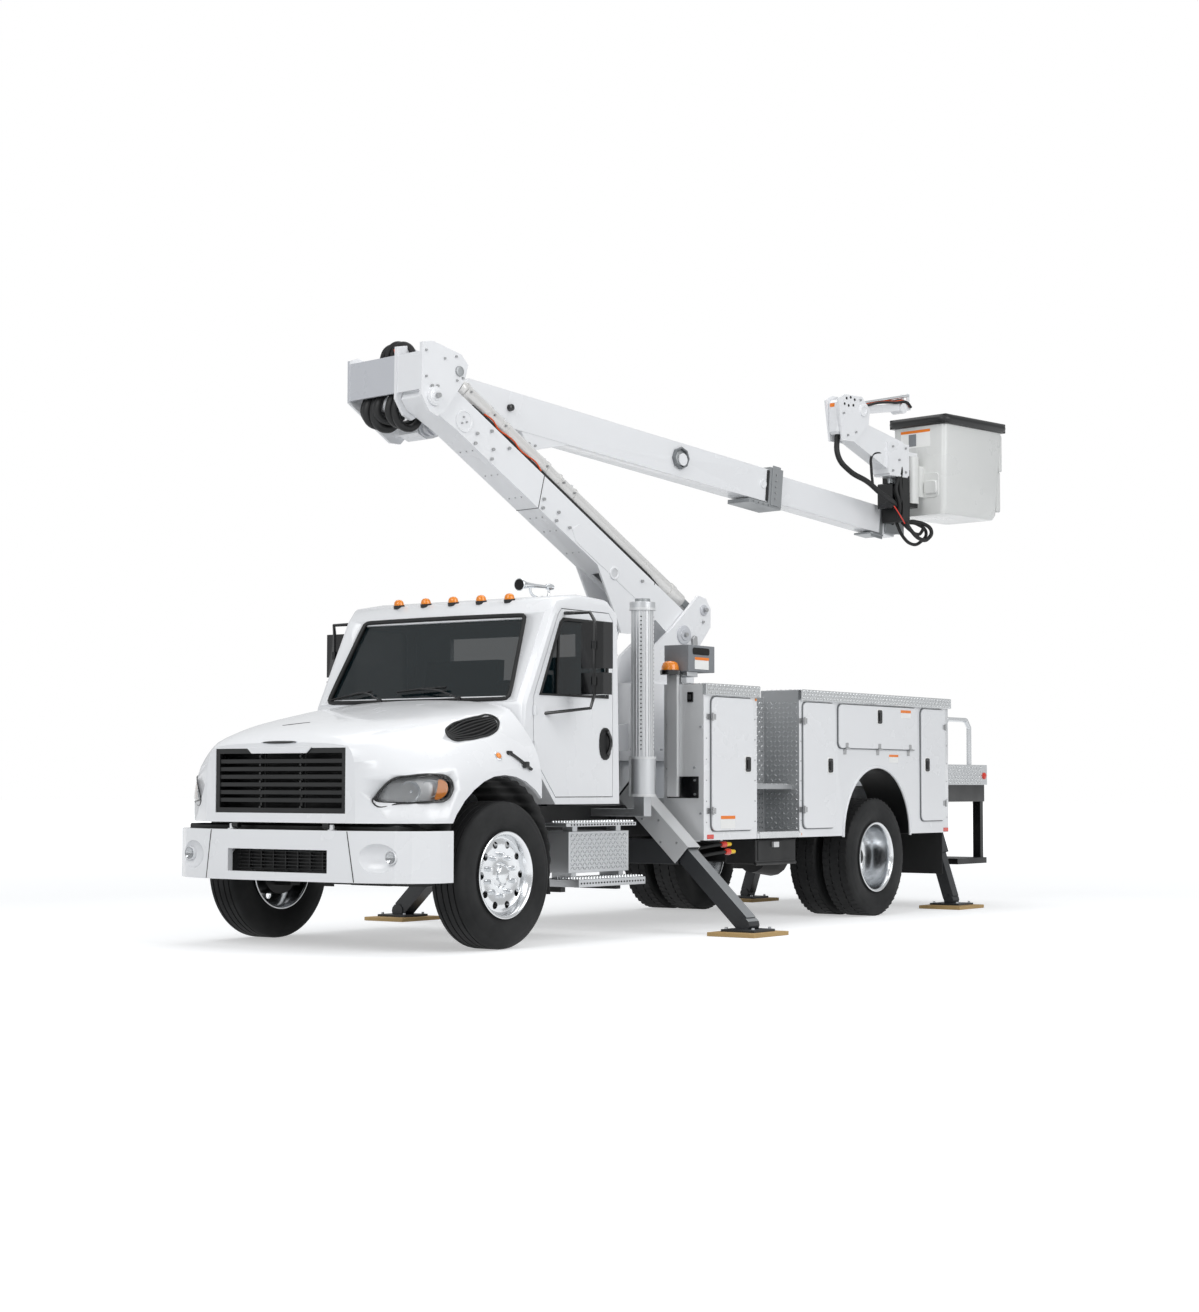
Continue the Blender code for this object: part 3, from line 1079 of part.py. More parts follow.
def link():
    """The round levelling link above the lower boom, with a collar and a flat eye at each end."""
    axis = empty("link_axis", (LINK_FOOT[0], LOWER_Y, LINK_FOOT[1]), TURRET, pitch=-LOWER_ANGLE)
    in_frame(axis)
    pipe = rod((LOWER_LENGTH / 2, 0, 0), "x", LINK_RADIUS, LOWER_LENGTH - 0.30, 20)
    collar = rod((LOWER_LENGTH - 0.72, 0, 0), "x", LINK_RADIUS + 0.006, 1.0, 20)
    eyes = [box((a, -0.03, -0.035), (b, 0.03, 0.035)) for a, b in ((0.0, 0.18), (LOWER_LENGTH - 0.25, LOWER_LENGTH))]
    ends = [ring_disc((x, 0), 0.05, -0.03, 0.03, 16) for x in (0, LOWER_LENGTH)]
    bores = [ring_disc((x, 0), bore_radius(LINK_PIN, 16), -0.05, 0.05, 16) for x in (0, LOWER_LENGTH)]
    keep(cut(join(pipe, collar, *eyes, *ends), *bores), "levelling_link", "aluminium", (0, 0, 0))


def lift_cylinder():
    """The lift cylinder: a barrel on the turret's lug and a rod whose eye lies between the boom's lugs."""
    axis = empty("lift_axis", (LIFT_FOOT[0], LOWER_Y, LIFT_FOOT[1]), TURRET, pitch=-LIFT_ANGLE)
    in_frame(axis)
    barrel = rod((0.04 + BARREL_LENGTH / 2, 0, 0), "x", LIFT_RADIUS, BARREL_LENGTH - 0.08, 20)
    foot = ring_disc((0, 0), 0.05, -0.04, 0.04, 16)
    neck = box((0.0, -0.035, -0.035), (0.10, 0.035, 0.035))
    hollow = rod((BARREL_LENGTH / 2 + 0.11, 0, 0), "x", bore_radius(LIFT_ROD, 16), BARREL_LENGTH, 16)
    eye_hole = ring_disc((0, 0), bore_radius(LIFT_PIN, 16), -0.06, 0.06, 16)
    keep(cut(join(barrel, foot, neck), hollow, eye_hole), "lift_barrel", "white", (0, 0, 0))
    shaft = rod((LIFT_LENGTH - 0.36, 0, 0), "x", LIFT_ROD, 0.70, 16)
    eye = ring_disc((LIFT_LENGTH, 0), 0.052, -0.05, 0.05, 16)
    pin = ring_disc((LIFT_LENGTH, 0), 0.025, -LOWER_WIDTH / 2 + 0.026, LOWER_WIDTH / 2 - 0.026, 12)
    keep(join(shaft, eye, pin), "lift_rod", "polished", (LIFT_LENGTH, 0, 0))


turret()
lower_boom()
link()
lift_cylinder()


# Elbow, upper booms and platform
def near(points, pivot):
    """Points given from a pivot, in the turret's frame."""
    return [(pivot[0] + x, pivot[1] + z) for x, z in points]


ELBOW_PLATE = 0.03
ELBOW_INNER_Y = LOWER_Y - CHEEK_INNER - ELBOW_PLATE
ELBOW_OUTER_Y = LOWER_Y + CHEEK_INNER + ELBOW_PLATE
NEAR_PLATE = [(0.125, 0.40), (0.02, 0.42), (-0.27, 0.355), (-0.345, 0.28), (-0.31, 0.16), (-0.10, -0.11),
              (-0.03, -0.15), (0.05, -0.12), (0.13, 0.0)]
FAR_PLATE = [(0.125, 0.36), (0.04, 0.39), (-0.16, 0.34), (-0.45, -0.05), (-0.47, -0.17), (-0.40, -0.24),
             (-0.30, -0.24), (0.125, 0.03)]
BEAM_LOW = 0.045
BEAM_HIGH = 0.335


def elbow():
    """The levelled elbow: two cheeks for the lower boom and link, a far cheek for the upper boom, and a cross box."""
    in_frame(TURRET)
    px, pz = ELBOW_PIVOT
    cheek = plate(near(NEAR_PLATE, ELBOW_PIVOT), "y", ELBOW_OUTER_Y - ELBOW_PLATE, ELBOW_OUTER_Y)
    inner = plate(near(NEAR_PLATE, ELBOW_PIVOT), "y", ELBOW_INNER_Y, ELBOW_INNER_Y + ELBOW_PLATE)
    far = plate(near(FAR_PLATE, ELBOW_PIVOT), "y", ELBOW_FAR_Y - 0.025, ELBOW_FAR_Y)
    face = box((px + 0.095, ELBOW_FAR_Y - 0.02, pz + BEAM_LOW), (px + 0.12, ELBOW_OUTER_Y - 0.005, pz + BEAM_HIGH))
    beam = box((px - 0.07, ELBOW_FAR_Y - 0.02, pz + 0.10), (px + 0.11, ELBOW_INNER_Y + 0.02, pz + BEAM_HIGH - 0.01))
    pins = [ring_disc(ELBOW_PIVOT, PIN, ELBOW_INNER_Y + 0.01, ELBOW_OUTER_Y - 0.01),
            ring_disc(ELBOW_PIVOT, 0.075, ELBOW_OUTER_Y - 0.01, ELBOW_OUTER_Y + 0.02),
            ring_disc(LINK_HEAD, LINK_PIN, ELBOW_INNER_Y + 0.01, ELBOW_OUTER_Y - 0.01, 16),
            ring_disc(UPPER_PIVOT, PIN, ELBOW_FAR_Y - 0.01, ELBOW_INNER_Y + 0.005)]
    web = plate(near([(-0.30, 0.12), (-0.12, -0.08), (-0.34, -0.20), (-0.40, -0.14)], ELBOW_PIVOT), "y",
                ELBOW_INNER_Y, ELBOW_INNER_Y + ELBOW_PLATE)
    keep(join(cheek, face, inner, web, beam, far, *pins), "elbow_bracket", "white", (px, LOWER_Y, pz))


COLLAR_LENGTH = 0.16
FLY_WIDTH = UPPER_WIDTH - 2 * BOOM_WALL - 2 * FLY_CLEAR
FLY_HEIGHT = UPPER_HEIGHT - 2 * BOOM_WALL - 2 * FLY_CLEAR
UPPER_END = UPPER_START + UPPER_LENGTH


def upper_boom():
    """The outer telescopic section, with its tapered root, cylinder lug and the bolted collar at its mouth."""
    in_frame(UPPER_AXIS)
    half = UPPER_WIDTH / 2
    low = UPPER_OFFSET - UPPER_HEIGHT / 2
    high = UPPER_OFFSET + UPPER_HEIGHT / 2
    outer = box((-UPPER_END, -half, low), (-UPPER_START, half, high))
    root = plate([(0.07, -0.05), (0.075, 0.06), (-0.30, high - 0.08), (-0.44, high), (-0.60, high), (-0.60, low),
                  (-0.10, -0.06), (-0.03, -0.08)], "y", -half, half)
    lug = plate([(-1.10, low + 0.02), (-1.16, low - 0.12), (-1.50, low + 0.02)], "y", -0.05, 0.05)
    ring = box((-UPPER_END - 0.02, -half - 0.022, low - 0.022), (-UPPER_END + COLLAR_LENGTH, half + 0.022, high + 0.022))
    mouth = box((-UPPER_END - 0.03, -FLY_WIDTH / 2 - GAP, UPPER_OFFSET - FLY_HEIGHT / 2 - GAP),
                (-UPPER_END + 0.06, FLY_WIDTH / 2 + GAP, UPPER_OFFSET + FLY_HEIGHT / 2 + GAP))
    shoe = box((-UPPER_END - 0.02, -half - 0.02, low - 0.05), (-UPPER_END + 0.42, half + 0.02, low - 0.012))
    cap = ring_disc((-2.95, UPPER_OFFSET), 0.055, half - 0.01, half + 0.03, 20)
    bore = ring_disc((0, 0), bore_radius(PIN, 20), -half - 0.02, half + 0.02)
    cavity = box((-UPPER_END + 0.05, -half + BOOM_WALL, low + BOOM_WALL), (-0.62, half - BOOM_WALL, high - BOOM_WALL))
    boom = join(outer, root, ring, shoe, lug, cap)
    keep(cut(boom, cavity, mouth, bore), "upper_boom", "white", (0, 0, 0))


TIP_PIN = 0.03
TIP_BACK = 0.08


def fly_boom():
    """The inner telescopic section, plated at its tip and bored for the platform's pin."""
    in_frame(UPPER_AXIS)
    start, end = -UPPER_END - FLY_REACH, -UPPER_END + FLY_INSIDE
    outer, inner = boom_box(start, end, 0, FLY_WIDTH, FLY_HEIGHT, UPPER_OFFSET, BOOM_WALL, (False, True))
    tip = box((start, -FLY_WIDTH / 2, UPPER_OFFSET - FLY_HEIGHT / 2),
              (start + 2 * TIP_BACK, FLY_WIDTH / 2, UPPER_OFFSET + FLY_HEIGHT / 2))
    bore = ring_disc((start + TIP_BACK, UPPER_OFFSET), bore_radius(TIP_PIN, 16), -0.2, 0.2, 16)
    keep(cut(join(cut(outer, inner), tip), bore), "fly_boom", "white", (start, 0, UPPER_OFFSET))


def upper_point(x, z):
    """A point of the upper boom's frame in the turret's frame."""
    a = math.radians(UPPER_ANGLE)
    return (UPPER_PIVOT[0] + x * math.cos(a) - z * math.sin(a), UPPER_PIVOT[1] + x * math.sin(a) + z * math.cos(a))


UPPER_AXIS = empty("upper_boom_axis", (UPPER_PIVOT[0], UPPER_Y, UPPER_PIVOT[1]), TURRET, pitch=-UPPER_ANGLE)
TIP_PIVOT = upper_point(-UPPER_END - FLY_REACH + TIP_BACK, UPPER_OFFSET)
BUCKET_Y = -0.03
SWIVEL_X = TIP_PIVOT[0] - 0.105
SWIVEL_RADIUS = 0.05
JIB_PIVOT = (TIP_PIVOT[0] + 0.735, TIP_PIVOT[1] + 0.975)
JIB_PIN = 0.022
HEAD_LOW_Y = -0.115
HEAD_HIGH_Y = 0.035
HEAD_PLATE = 0.02
BACK_FACE = -0.19                   # the back plate's outer face, past the fly boom's corners as they turn
BACK_PLATE = 0.025
SHELF_HEIGHTS = (0.13, 0.62)        # swivel shelves above the tip pin
SHELF_PLATE = 0.04
JIB_HEAD = [(0.37, 0.07), (0.27, 0.12), (0.02, 0.125), (-0.10, 0.02), (-0.08, -0.13), (0.13, -0.31), (0.31, -0.31)]


def platform_bracket():
    """The levelled bracket on the fly boom's tip: cheeks, swivel post, mast and the jib's fixed arm and head."""
    in_frame(TURRET)
    tx, tz = TIP_PIVOT
    half = FLY_WIDTH / 2 + CLEAR
    cheek_outline = near([(0.09, -0.11), (0.09, 0.12), (-0.02, 0.17), (BACK_FACE, 0.17), (BACK_FACE, -0.11)], TIP_PIVOT)
    cheeks = [plate(cheek_outline, "y", y, y + 0.02) for y in (UPPER_Y - half - 0.02, UPPER_Y + half)]
    back = box((tx + BACK_FACE, UPPER_Y - half - 0.015, tz - 0.10),
               (tx + BACK_FACE + BACK_PLATE, UPPER_Y + half + 0.015, tz + 0.16))
    pin = ring_disc(TIP_PIVOT, TIP_PIN, UPPER_Y - half - 0.03, UPPER_Y + half + 0.03, 16)
    case = box((tx + 0.02, UPPER_Y + half + 0.01, tz - 0.02), (tx + 0.13, 0.05, tz + 0.48))
    shelves = [box((SWIVEL_X - 0.04, BUCKET_Y - 0.05, tz + z), (tx + 0.05, BUCKET_Y + 0.05, tz + z + SHELF_PLATE))
               for z in SHELF_HEIGHTS]
    post = rod((SWIVEL_X, BUCKET_Y, tz + 0.395), "z", SWIVEL_RADIUS, 0.50, 20)
    mast = box((tx + 0.04, -0.13, tz + 0.42), (tx + 0.36, 0.06, tz + 0.72))
    head_x, head_z = JIB_PIVOT
    arm = plate([(tx + 0.10, tz + 0.52), (tx + 0.34, tz + 0.46), (head_x + 0.20, head_z - 0.28), (head_x + 0.22, head_z - 0.10),
                 (head_x + 0.04, head_z - 0.10), (tx + 0.30, tz + 0.78), (tx + 0.10, tz + 0.74)], "y", -0.10, 0.04)
    heads = [plate(near(JIB_HEAD, JIB_PIVOT), "y", y, y + HEAD_PLATE) for y in (HEAD_LOW_Y, HEAD_HIGH_Y)]
    jib_pin = ring_disc(JIB_PIVOT, JIB_PIN, HEAD_LOW_Y + 0.005, HEAD_HIGH_Y + 0.015, 12)
    tie = box((head_x + 0.24, HEAD_LOW_Y + 0.005, head_z - 0.24), (head_x + 0.30, HEAD_HIGH_Y + 0.015, head_z + 0.06))
    bracket = join(back, *cheeks, pin, case, *shelves, post, mast, arm, *heads, tie, jib_pin)
    keep(bracket, "platform_bracket", "black", (tx, UPPER_Y, tz))


def jib():
    """The folding jib: a box arm with a winch drum and two tie rods, pinned in the bracket's head."""
    in_frame(TURRET)
    x, z = JIB_PIVOT
    arm = plate([(x + 0.04, z - 0.035), (x + 0.04, z + 0.035), (x - 0.78, z + 0.17), (x - 0.80, z + 0.10)], "y", -0.075, 0.005)
    eye = ring_disc(JIB_PIVOT, 0.045, HEAD_LOW_Y + HEAD_PLATE + GAP, HEAD_HIGH_Y - GAP, 16)
    drum = ring_disc((x - 0.66, z + 0.10), 0.05, -0.10, 0.03, 16)
    hole = ring_disc(JIB_PIVOT, bore_radius(JIB_PIN, 12), -0.2, 0.2, 12)
    keep(cut(join(arm, eye, drum), hole), "jib", "white", (x, -0.035, z))


BUCKET_FRONT = -0.13
BUCKET_CORNER = 0.05
BUCKET_TABLE = (
    # height above the tip pin, length, half width
    (0.07, 0.84, 0.285),
    (0.12, 0.87, 0.30),
    (0.96, 0.95, 0.315),
)
BUCKET_WALL = 0.014
LIP_PROUD = 0.02


def bucket():
    """The fibreglass bucket: a tapered open tub with a rolled lip, a foot step and its swivel clamp."""
    in_frame(TURRET)
    tz = TIP_PIVOT[1]
    front = SWIVEL_X + BUCKET_FRONT

    def ring(height, length, half, inset):
        corners = []
        radius = BUCKET_CORNER - inset
        for x, y, start in ((front - BUCKET_CORNER, BUCKET_Y + half - BUCKET_CORNER, 0),
                            (front - length + BUCKET_CORNER, BUCKET_Y + half - BUCKET_CORNER, 90),
                            (front - length + BUCKET_CORNER, BUCKET_Y - half + BUCKET_CORNER, 180),
                            (front - BUCKET_CORNER, BUCKET_Y - half + BUCKET_CORNER, 270)):
            for step in range(4):
                angle = math.radians(start + 30 * step)
                corners.append((x + radius * math.cos(angle), y + radius * math.sin(angle)))
        return [(x, y, tz + height) for x, y in corners]
    outer = loft([ring(*row, 0) for row in BUCKET_TABLE])
    floor = (BUCKET_TABLE[0][0] + BUCKET_WALL, BUCKET_TABLE[0][1], BUCKET_TABLE[0][2])
    top = (BUCKET_TABLE[-1][0] + 0.10, BUCKET_TABLE[-1][1], BUCKET_TABLE[-1][2])
    inner = loft([ring(*row, BUCKET_WALL) for row in (floor, BUCKET_TABLE[1], top)])
    length, half = BUCKET_TABLE[-1][1], BUCKET_TABLE[-1][2]
    lip = box((front - length - LIP_PROUD, BUCKET_Y - half - LIP_PROUD, tz + 0.94),
              (front + LIP_PROUD, BUCKET_Y + half + LIP_PROUD, tz + 1.03))
    step = box((front - 0.01, BUCKET_Y - 0.20, tz + 0.26), (front + 0.035, BUCKET_Y - 0.10 + 0.02, tz + 0.32))
    clamp_low, clamp_high = SHELF_HEIGHTS[0] + SHELF_PLATE + GAP, SHELF_HEIGHTS[1] - GAP
    clamp = rod((SWIVEL_X, BUCKET_Y, tz + (clamp_low + clamp_high) / 2), "z", SWIVEL_RADIUS + 0.025,
                clamp_high - clamp_low, 20)
    arm = box((front - 0.005, BUCKET_Y - 0.06, tz + 0.24), (SWIVEL_X - 0.055, BUCKET_Y + 0.06, tz + 0.54))
    hole = rod((SWIVEL_X, BUCKET_Y, tz + 0.40), "z", bore_radius(SWIVEL_RADIUS, 20), 0.6, 20)
    tub = cut(join(outer, lip), inner)
    keep(join(tub, step, cut(join(clamp, arm), hole)), "bucket", "fibreglass", (SWIVEL_X, BUCKET_Y, tz + 0.4))


elbow()
upper_boom()
fly_boom()
platform_bracket()
jib()
bucket()


def bucket_reach():
    """The rearmost point of the bucket's lip, from the front axle."""
    _, length, half = BUCKET_TABLE[-1]
    corner = Vector((SWIVEL_X + BUCKET_FRONT - length - LIP_PROUD, BUCKET_Y - half - LIP_PROUD))
    yaw = math.radians(TURRET_YAW)
    return TURRET_X + corner.x * math.cos(yaw) - corner.y * math.sin(yaw)


# The truck's box is centred on the origin, from the bumper's face to the bucket's lip
TRUCK.location.x = -(FRONT_OVERHANG + bucket_reach()) / 2
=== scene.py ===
import json
import math
import bmesh
import bpy
from mathutils import Matrix, Vector
from mathutils.bvhtree import BVHTree
from mathutils.geometry import delaunay_2d_cdt


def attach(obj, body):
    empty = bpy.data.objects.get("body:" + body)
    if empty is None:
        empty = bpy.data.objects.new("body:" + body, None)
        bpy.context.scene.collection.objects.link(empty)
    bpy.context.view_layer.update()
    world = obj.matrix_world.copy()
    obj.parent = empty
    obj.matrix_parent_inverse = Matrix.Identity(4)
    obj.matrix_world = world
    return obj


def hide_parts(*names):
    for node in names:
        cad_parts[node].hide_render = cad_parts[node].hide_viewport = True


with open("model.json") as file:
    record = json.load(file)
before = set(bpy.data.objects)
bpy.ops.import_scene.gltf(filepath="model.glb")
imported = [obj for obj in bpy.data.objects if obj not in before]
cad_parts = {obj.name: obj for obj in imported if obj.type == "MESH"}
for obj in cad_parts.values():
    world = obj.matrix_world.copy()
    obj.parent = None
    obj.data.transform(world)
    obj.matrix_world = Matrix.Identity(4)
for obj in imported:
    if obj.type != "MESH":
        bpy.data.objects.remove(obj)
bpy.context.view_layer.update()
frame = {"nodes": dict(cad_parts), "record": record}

# Studio
# A pale seamless floor and a white surround, lit by broad soft lamps, with the camera low at the
# truck's front left corner. Lengths along the truck are measured from the front axle.
AXLE_X = 3.592179
SENSOR_MM = 36.0
FOCAL_PIXELS = 2334.96
PHOTO_WIDTH = 1199
view = {"place": (12.853 + AXLE_X, 11.204, 1.139), "yaw": 35.638, "pitch": 3.171, "roll": 0.087}


def srgb(code):
    """A hex colour as linear numbers."""
    values = [int(code[i:i + 2], 16) / 255 for i in (0, 2, 4)]
    return tuple(v / 12.92 if v <= 0.04045 else ((v + 0.055) / 1.055) ** 2.4 for v in values) + (1.0,)


def add(tree, kind, inputs=None, **settings):
    """Adds a node with its settings; an input is a value or the socket that feeds it."""
    made = tree.nodes.new(kind)
    for name, value in settings.items():
        setattr(made, name, value)
    for name, value in (inputs or {}).items():
        if isinstance(value, bpy.types.NodeSocket):
            tree.links.new(value, made.inputs[name])
        else:
            made.inputs[name].default_value = value
    return made


yaw, pitch, roll = (math.radians(view[key]) for key in ("yaw", "pitch", "roll"))
ahead = Vector((-math.cos(yaw) * math.cos(pitch), -math.sin(yaw) * math.cos(pitch), math.sin(pitch)))
across = Vector((-math.sin(yaw), math.cos(yaw), 0.0))
over = across.cross(ahead)
level = math.cos(roll) * across + math.sin(roll) * over
upright = math.cos(roll) * over - math.sin(roll) * across
camera = bpy.data.objects.new("camera", bpy.data.cameras.new("camera"))
camera.matrix_world = Matrix.Translation(view["place"]) @ Matrix((level, upright,
                                                                  -ahead)).transposed().to_4x4()
camera.data.sensor_fit = "HORIZONTAL"
camera.data.sensor_width = SENSOR_MM
camera.data.lens = SENSOR_MM * FOCAL_PIXELS / PHOTO_WIDTH
camera.data.clip_end = 400.0
bpy.context.scene.collection.objects.link(camera)
bpy.context.scene.camera = camera
bpy.context.scene.view_settings.view_transform = "Standard"

world = bpy.data.worlds.new("studio")
world.use_nodes = True
bpy.context.scene.world = world
world.node_tree.nodes.clear()
path = add(world.node_tree, "ShaderNodeLightPath")
shine = add(world.node_tree, "ShaderNodeMath", {0: path.outputs["Is Glossy Ray"], 1: 0.35},
            operation="MULTIPLY")
seen = add(world.node_tree, "ShaderNodeMath", {0: path.outputs["Is Camera Ray"], 1: shine.outputs[0]},
           operation="MAXIMUM")
seen = add(world.node_tree, "ShaderNodeMath", {0: seen.outputs[0], 1: path.outputs["Is Transmission Ray"]},
           operation="MAXIMUM")
soft = add(world.node_tree, "ShaderNodeBackground", {"Color": srgb("eef1f4"), "Strength": 0.47})
white = add(world.node_tree, "ShaderNodeBackground", {"Color": srgb("ffffff"), "Strength": 1.0})
both = add(world.node_tree, "ShaderNodeMixShader",
           {0: seen.outputs[0], 1: soft.outputs[0], 2: white.outputs[0]})
add(world.node_tree, "ShaderNodeOutputWorld", {"Surface": both.outputs[0]})

paper = bpy.data.materials.new("studio_paper")
paper.use_nodes = True
paper.node_tree.nodes.clear()
path = add(paper.node_tree, "ShaderNodeLightPath")
matt = add(paper.node_tree, "ShaderNodeBsdfDiffuse", {"Color": srgb("d6d7d8")})
where = add(paper.node_tree, "ShaderNodeTexCoord")
reach = add(paper.node_tree, "ShaderNodeVectorMath", {0: where.outputs["Object"]}, operation="LENGTH")
far = add(paper.node_tree, "ShaderNodeMapRange",
          {"Value": reach.outputs["Value"], "From Min": 7.0, "From Max": 26.0,
                                                 "To Min": 0.46, "To Max": 1.0})
glow = add(paper.node_tree, "ShaderNodeEmission",
           {"Color": srgb("ffffff"), "Strength": far.outputs["Result"]})
seen = add(paper.node_tree, "ShaderNodeMath",
           {0: path.outputs["Is Camera Ray"], 1: path.outputs["Is Glossy Ray"]},
           operation="MAXIMUM")
dark = add(paper.node_tree, "ShaderNodeEmission", {"Color": srgb("000000"), "Strength": 0.0})
glow = add(paper.node_tree, "ShaderNodeMixShader",
           {0: seen.outputs[0], 1: dark.outputs[0], 2: glow.outputs[0]})
both = add(paper.node_tree, "ShaderNodeAddShader", {0: matt.outputs[0], 1: glow.outputs[0]})
add(paper.node_tree, "ShaderNodeOutputMaterial", {"Surface": both.outputs[0]})
bpy.ops.mesh.primitive_plane_add(size=240, location=(0, 0, -0.002))
floor = bpy.context.object
floor.name = "studio_floor"
floor.data.materials.append(paper)

for name, place, size, power in (("lamp_front", (13.0, 1.0, 9.0), 7.0, 590),
                                 ("lamp_side", (2.0, 13.0, 8.5), 9.0, 800),
                                 ("lamp_top", (-1.0, -1.0, 12.0), 11.0, 580)):
    lamp = bpy.data.lights.new(name, "AREA")
    lamp.size = size
    lamp.energy = power
    lit = bpy.data.objects.new(name, lamp)
    lit.location = place
    lit.rotation_euler = (Vector((0.0, 0.0, 1.5)) - Vector(place)).to_track_quat("-Z", "Y").to_euler()
    bpy.context.scene.collection.objects.link(lit)

# Cab, hood and the other white metalwork
# Pressed and welded steel, and a moulded hood, all in the same two-pack gloss white. The paint lies
# in a thick even film, so edges look rounded and long reflections ripple slightly.
WHITE_PANELS = {
    # CAD node: rounding of its edges
    "cab_shell": 0.012, "cab_door_left": 0.006, "cab_door_right": 0.006, "hood_shell": 0.012,
    "front_bumper": 0.012,
    "locker_body_left": 0.004, "locker_body_right": 0.004, "turret": 0.006, "lower_boom": 0.010,
    "lift_barrel": 0.003, "elbow_bracket": 0.005, "upper_boom": 0.010, "fly_boom": 0.008, "jib": 0.005,
}
body_of = {}
for body, nodes in frame["record"]["behaviour"]["bodies"].items():
    for each in nodes:
        body_of[each] = body


def surfaced(name, colour, roughness, metallic=0.0, coat=0.0, ripple=0.0, ripple_mm=2.0, mottle=0.0,
             blend=0.02):
    """A worked surface: its colour varies by mottle, and a ripple of the given size dents it."""
    made = bpy.data.materials.new(name)
    made.use_nodes = True
    tree = made.node_tree
    shader = tree.nodes["Principled BSDF"]
    shader.inputs["Metallic"].default_value = metallic
    shader.inputs["Coat Weight"].default_value = coat
    shader.inputs["Coat Roughness"].default_value = 0.06
    where = add(tree, "ShaderNodeTexCoord")
    broad = add(tree, "ShaderNodeTexNoise",
                {"Vector": where.outputs["Object"], "Scale": 2.3, "Detail": 6.0})
    base = srgb(colour)
    worn = tuple(v * (1 - mottle) for v in base[:3]) + (1.0,)
    tint = add(tree, "ShaderNodeMix", {0: broad.outputs["Fac"], 6: base, 7: worn}, data_type="RGBA")
    rough = add(tree, "ShaderNodeMapRange",
                {"Value": broad.outputs["Fac"], "From Min": 0.3, "From Max": 0.7,
                                             "To Min": roughness * 0.8, "To Max": min(1.0,
                                                                                      roughness * 1.25)})
    tree.links.new(tint.outputs[2], shader.inputs["Base Color"])
    tree.links.new(rough.outputs["Result"], shader.inputs["Roughness"])
    if ripple:
        fine = add(tree, "ShaderNodeTexNoise",
                   {"Vector": where.outputs["Object"], "Scale": 1000.0 / ripple_mm / 4,
                                                "Detail": 2.0})
        dent = add(tree, "ShaderNodeBump",
                   {"Height": fine.outputs["Fac"], "Strength": ripple, "Distance": blend})
        tree.links.new(dent.outputs["Normal"], shader.inputs["Normal"])
    return made


# Two-pack polyurethane over primer, sprayed: high gloss with an orange peel drawn at 30 mm so that it shows
gloss_white = surfaced("sprayed_gloss_white", "eff0f2", 0.24, coat=0.35, ripple=0.05, ripple_mm=30,
                       mottle=0.03,
                       blend=0.004)


def linked(name, mesh):
    """A new object of a mesh, in the scene."""
    made = bpy.data.objects.new(name, mesh)
    bpy.context.scene.collection.objects.link(made)
    return made


def mesh_of(cage, name):
    """A mesh with a cage's faces; the cage is freed."""
    mesh = bpy.data.meshes.new(name)
    cage.to_mesh(mesh)
    cage.free()
    return mesh


def baked(made):
    """A piece with its modifiers turned into plain faces."""
    shaped = bpy.data.meshes.new_from_object(made.evaluated_get(bpy.context.evaluated_depsgraph_get()))
    made.modifiers.clear()
    made.data = shaped
    return made


def clean_copy(node, name):
    """A copy of a CAD node's mesh with its corners merged and its flat faces whole."""
    source = frame["nodes"][node]
    cage = bmesh.new()
    cage.from_mesh(source.data)
    bmesh.ops.remove_doubles(cage, verts=cage.verts, dist=0.00005)
    bmesh.ops.dissolve_limit(cage, angle_limit=math.radians(1.0), verts=cage.verts, edges=cage.edges)
    return linked(name, mesh_of(cage, name))


def settled(made, material, body, *stands_for, slot=None):
    """Bakes a piece's modifiers, shades it, and puts it on its body."""
    shaped = baked(made).data
    shaped.name = made.name
    shaped.materials.clear()
    shaped.materials.append(material)
    shaped.polygons.foreach_set("material_index", [0] * len(shaped.polygons))
    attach(made, body)
    if stands_for:
        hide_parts(*stands_for)
    return made


def rounded(node, width, material, slot=None, angle=32, segments=2):
    """A CAD node with its edges rounded and its curved faces smooth, in place of the node."""
    made = clean_copy(node, f"{node}_skin")
    bevel = made.modifiers.new("edges", "BEVEL")
    bevel.width = width
    bevel.segments = segments
    bevel.limit_method = "ANGLE"
    bevel.angle_limit = math.radians(angle)
    bevel.harden_normals = True
    bevel.use_clamp_overlap = True
    made.data.shade_smooth()
    made.data.set_sharp_from_angle(angle=math.radians(angle))
    return settled(made, material, body_of[node], node, slot=slot)


for node, width in WHITE_PANELS.items():
    rounded(node, width, gloss_white, "white_paint")

# Wheels
# Steel-belted radials on forged alloy rims: ribbed tread in front, lugged on the twin rear wheels. The
# rims are machined and polished, with ten hand holes and ten nuts round the hub.
TYRE_RADIUS = 0.515
TYRE_HALF = 0.14
RIM_RADIUS = 0.292
FRONT_WHEEL_Y = 1.06
REAR_WHEEL_Y = 1.055
REAR_AXLE_X = AXLE_X - 5.30
TWIN_SPACING = 0.33
HAND_HOLES = 10
NUT_CIRCLE = 0.142

# Vulcanised rubber, moulded: matt, a warm grey where it has rubbed clean
tyre_rubber = surfaced("vulcanised_tyre_rubber", "141516", 0.78, ripple=0.25, ripple_mm=6, mottle=0.25,
                       blend=0.001)
# Forged aluminium, turned and buffed: bright with soft concentric reflections
buffed_alloy = surfaced("buffed_forged_alloy", "dfe1e3", 0.20, metallic=1.0, ripple=0.03, ripple_mm=60,
                        blend=0.002)
# Zinc-plated steel: paler and duller than the rim
plated_steel = surfaced("zinc_plated_steel", "c3c5c8", 0.32, metallic=1.0, mottle=0.08)
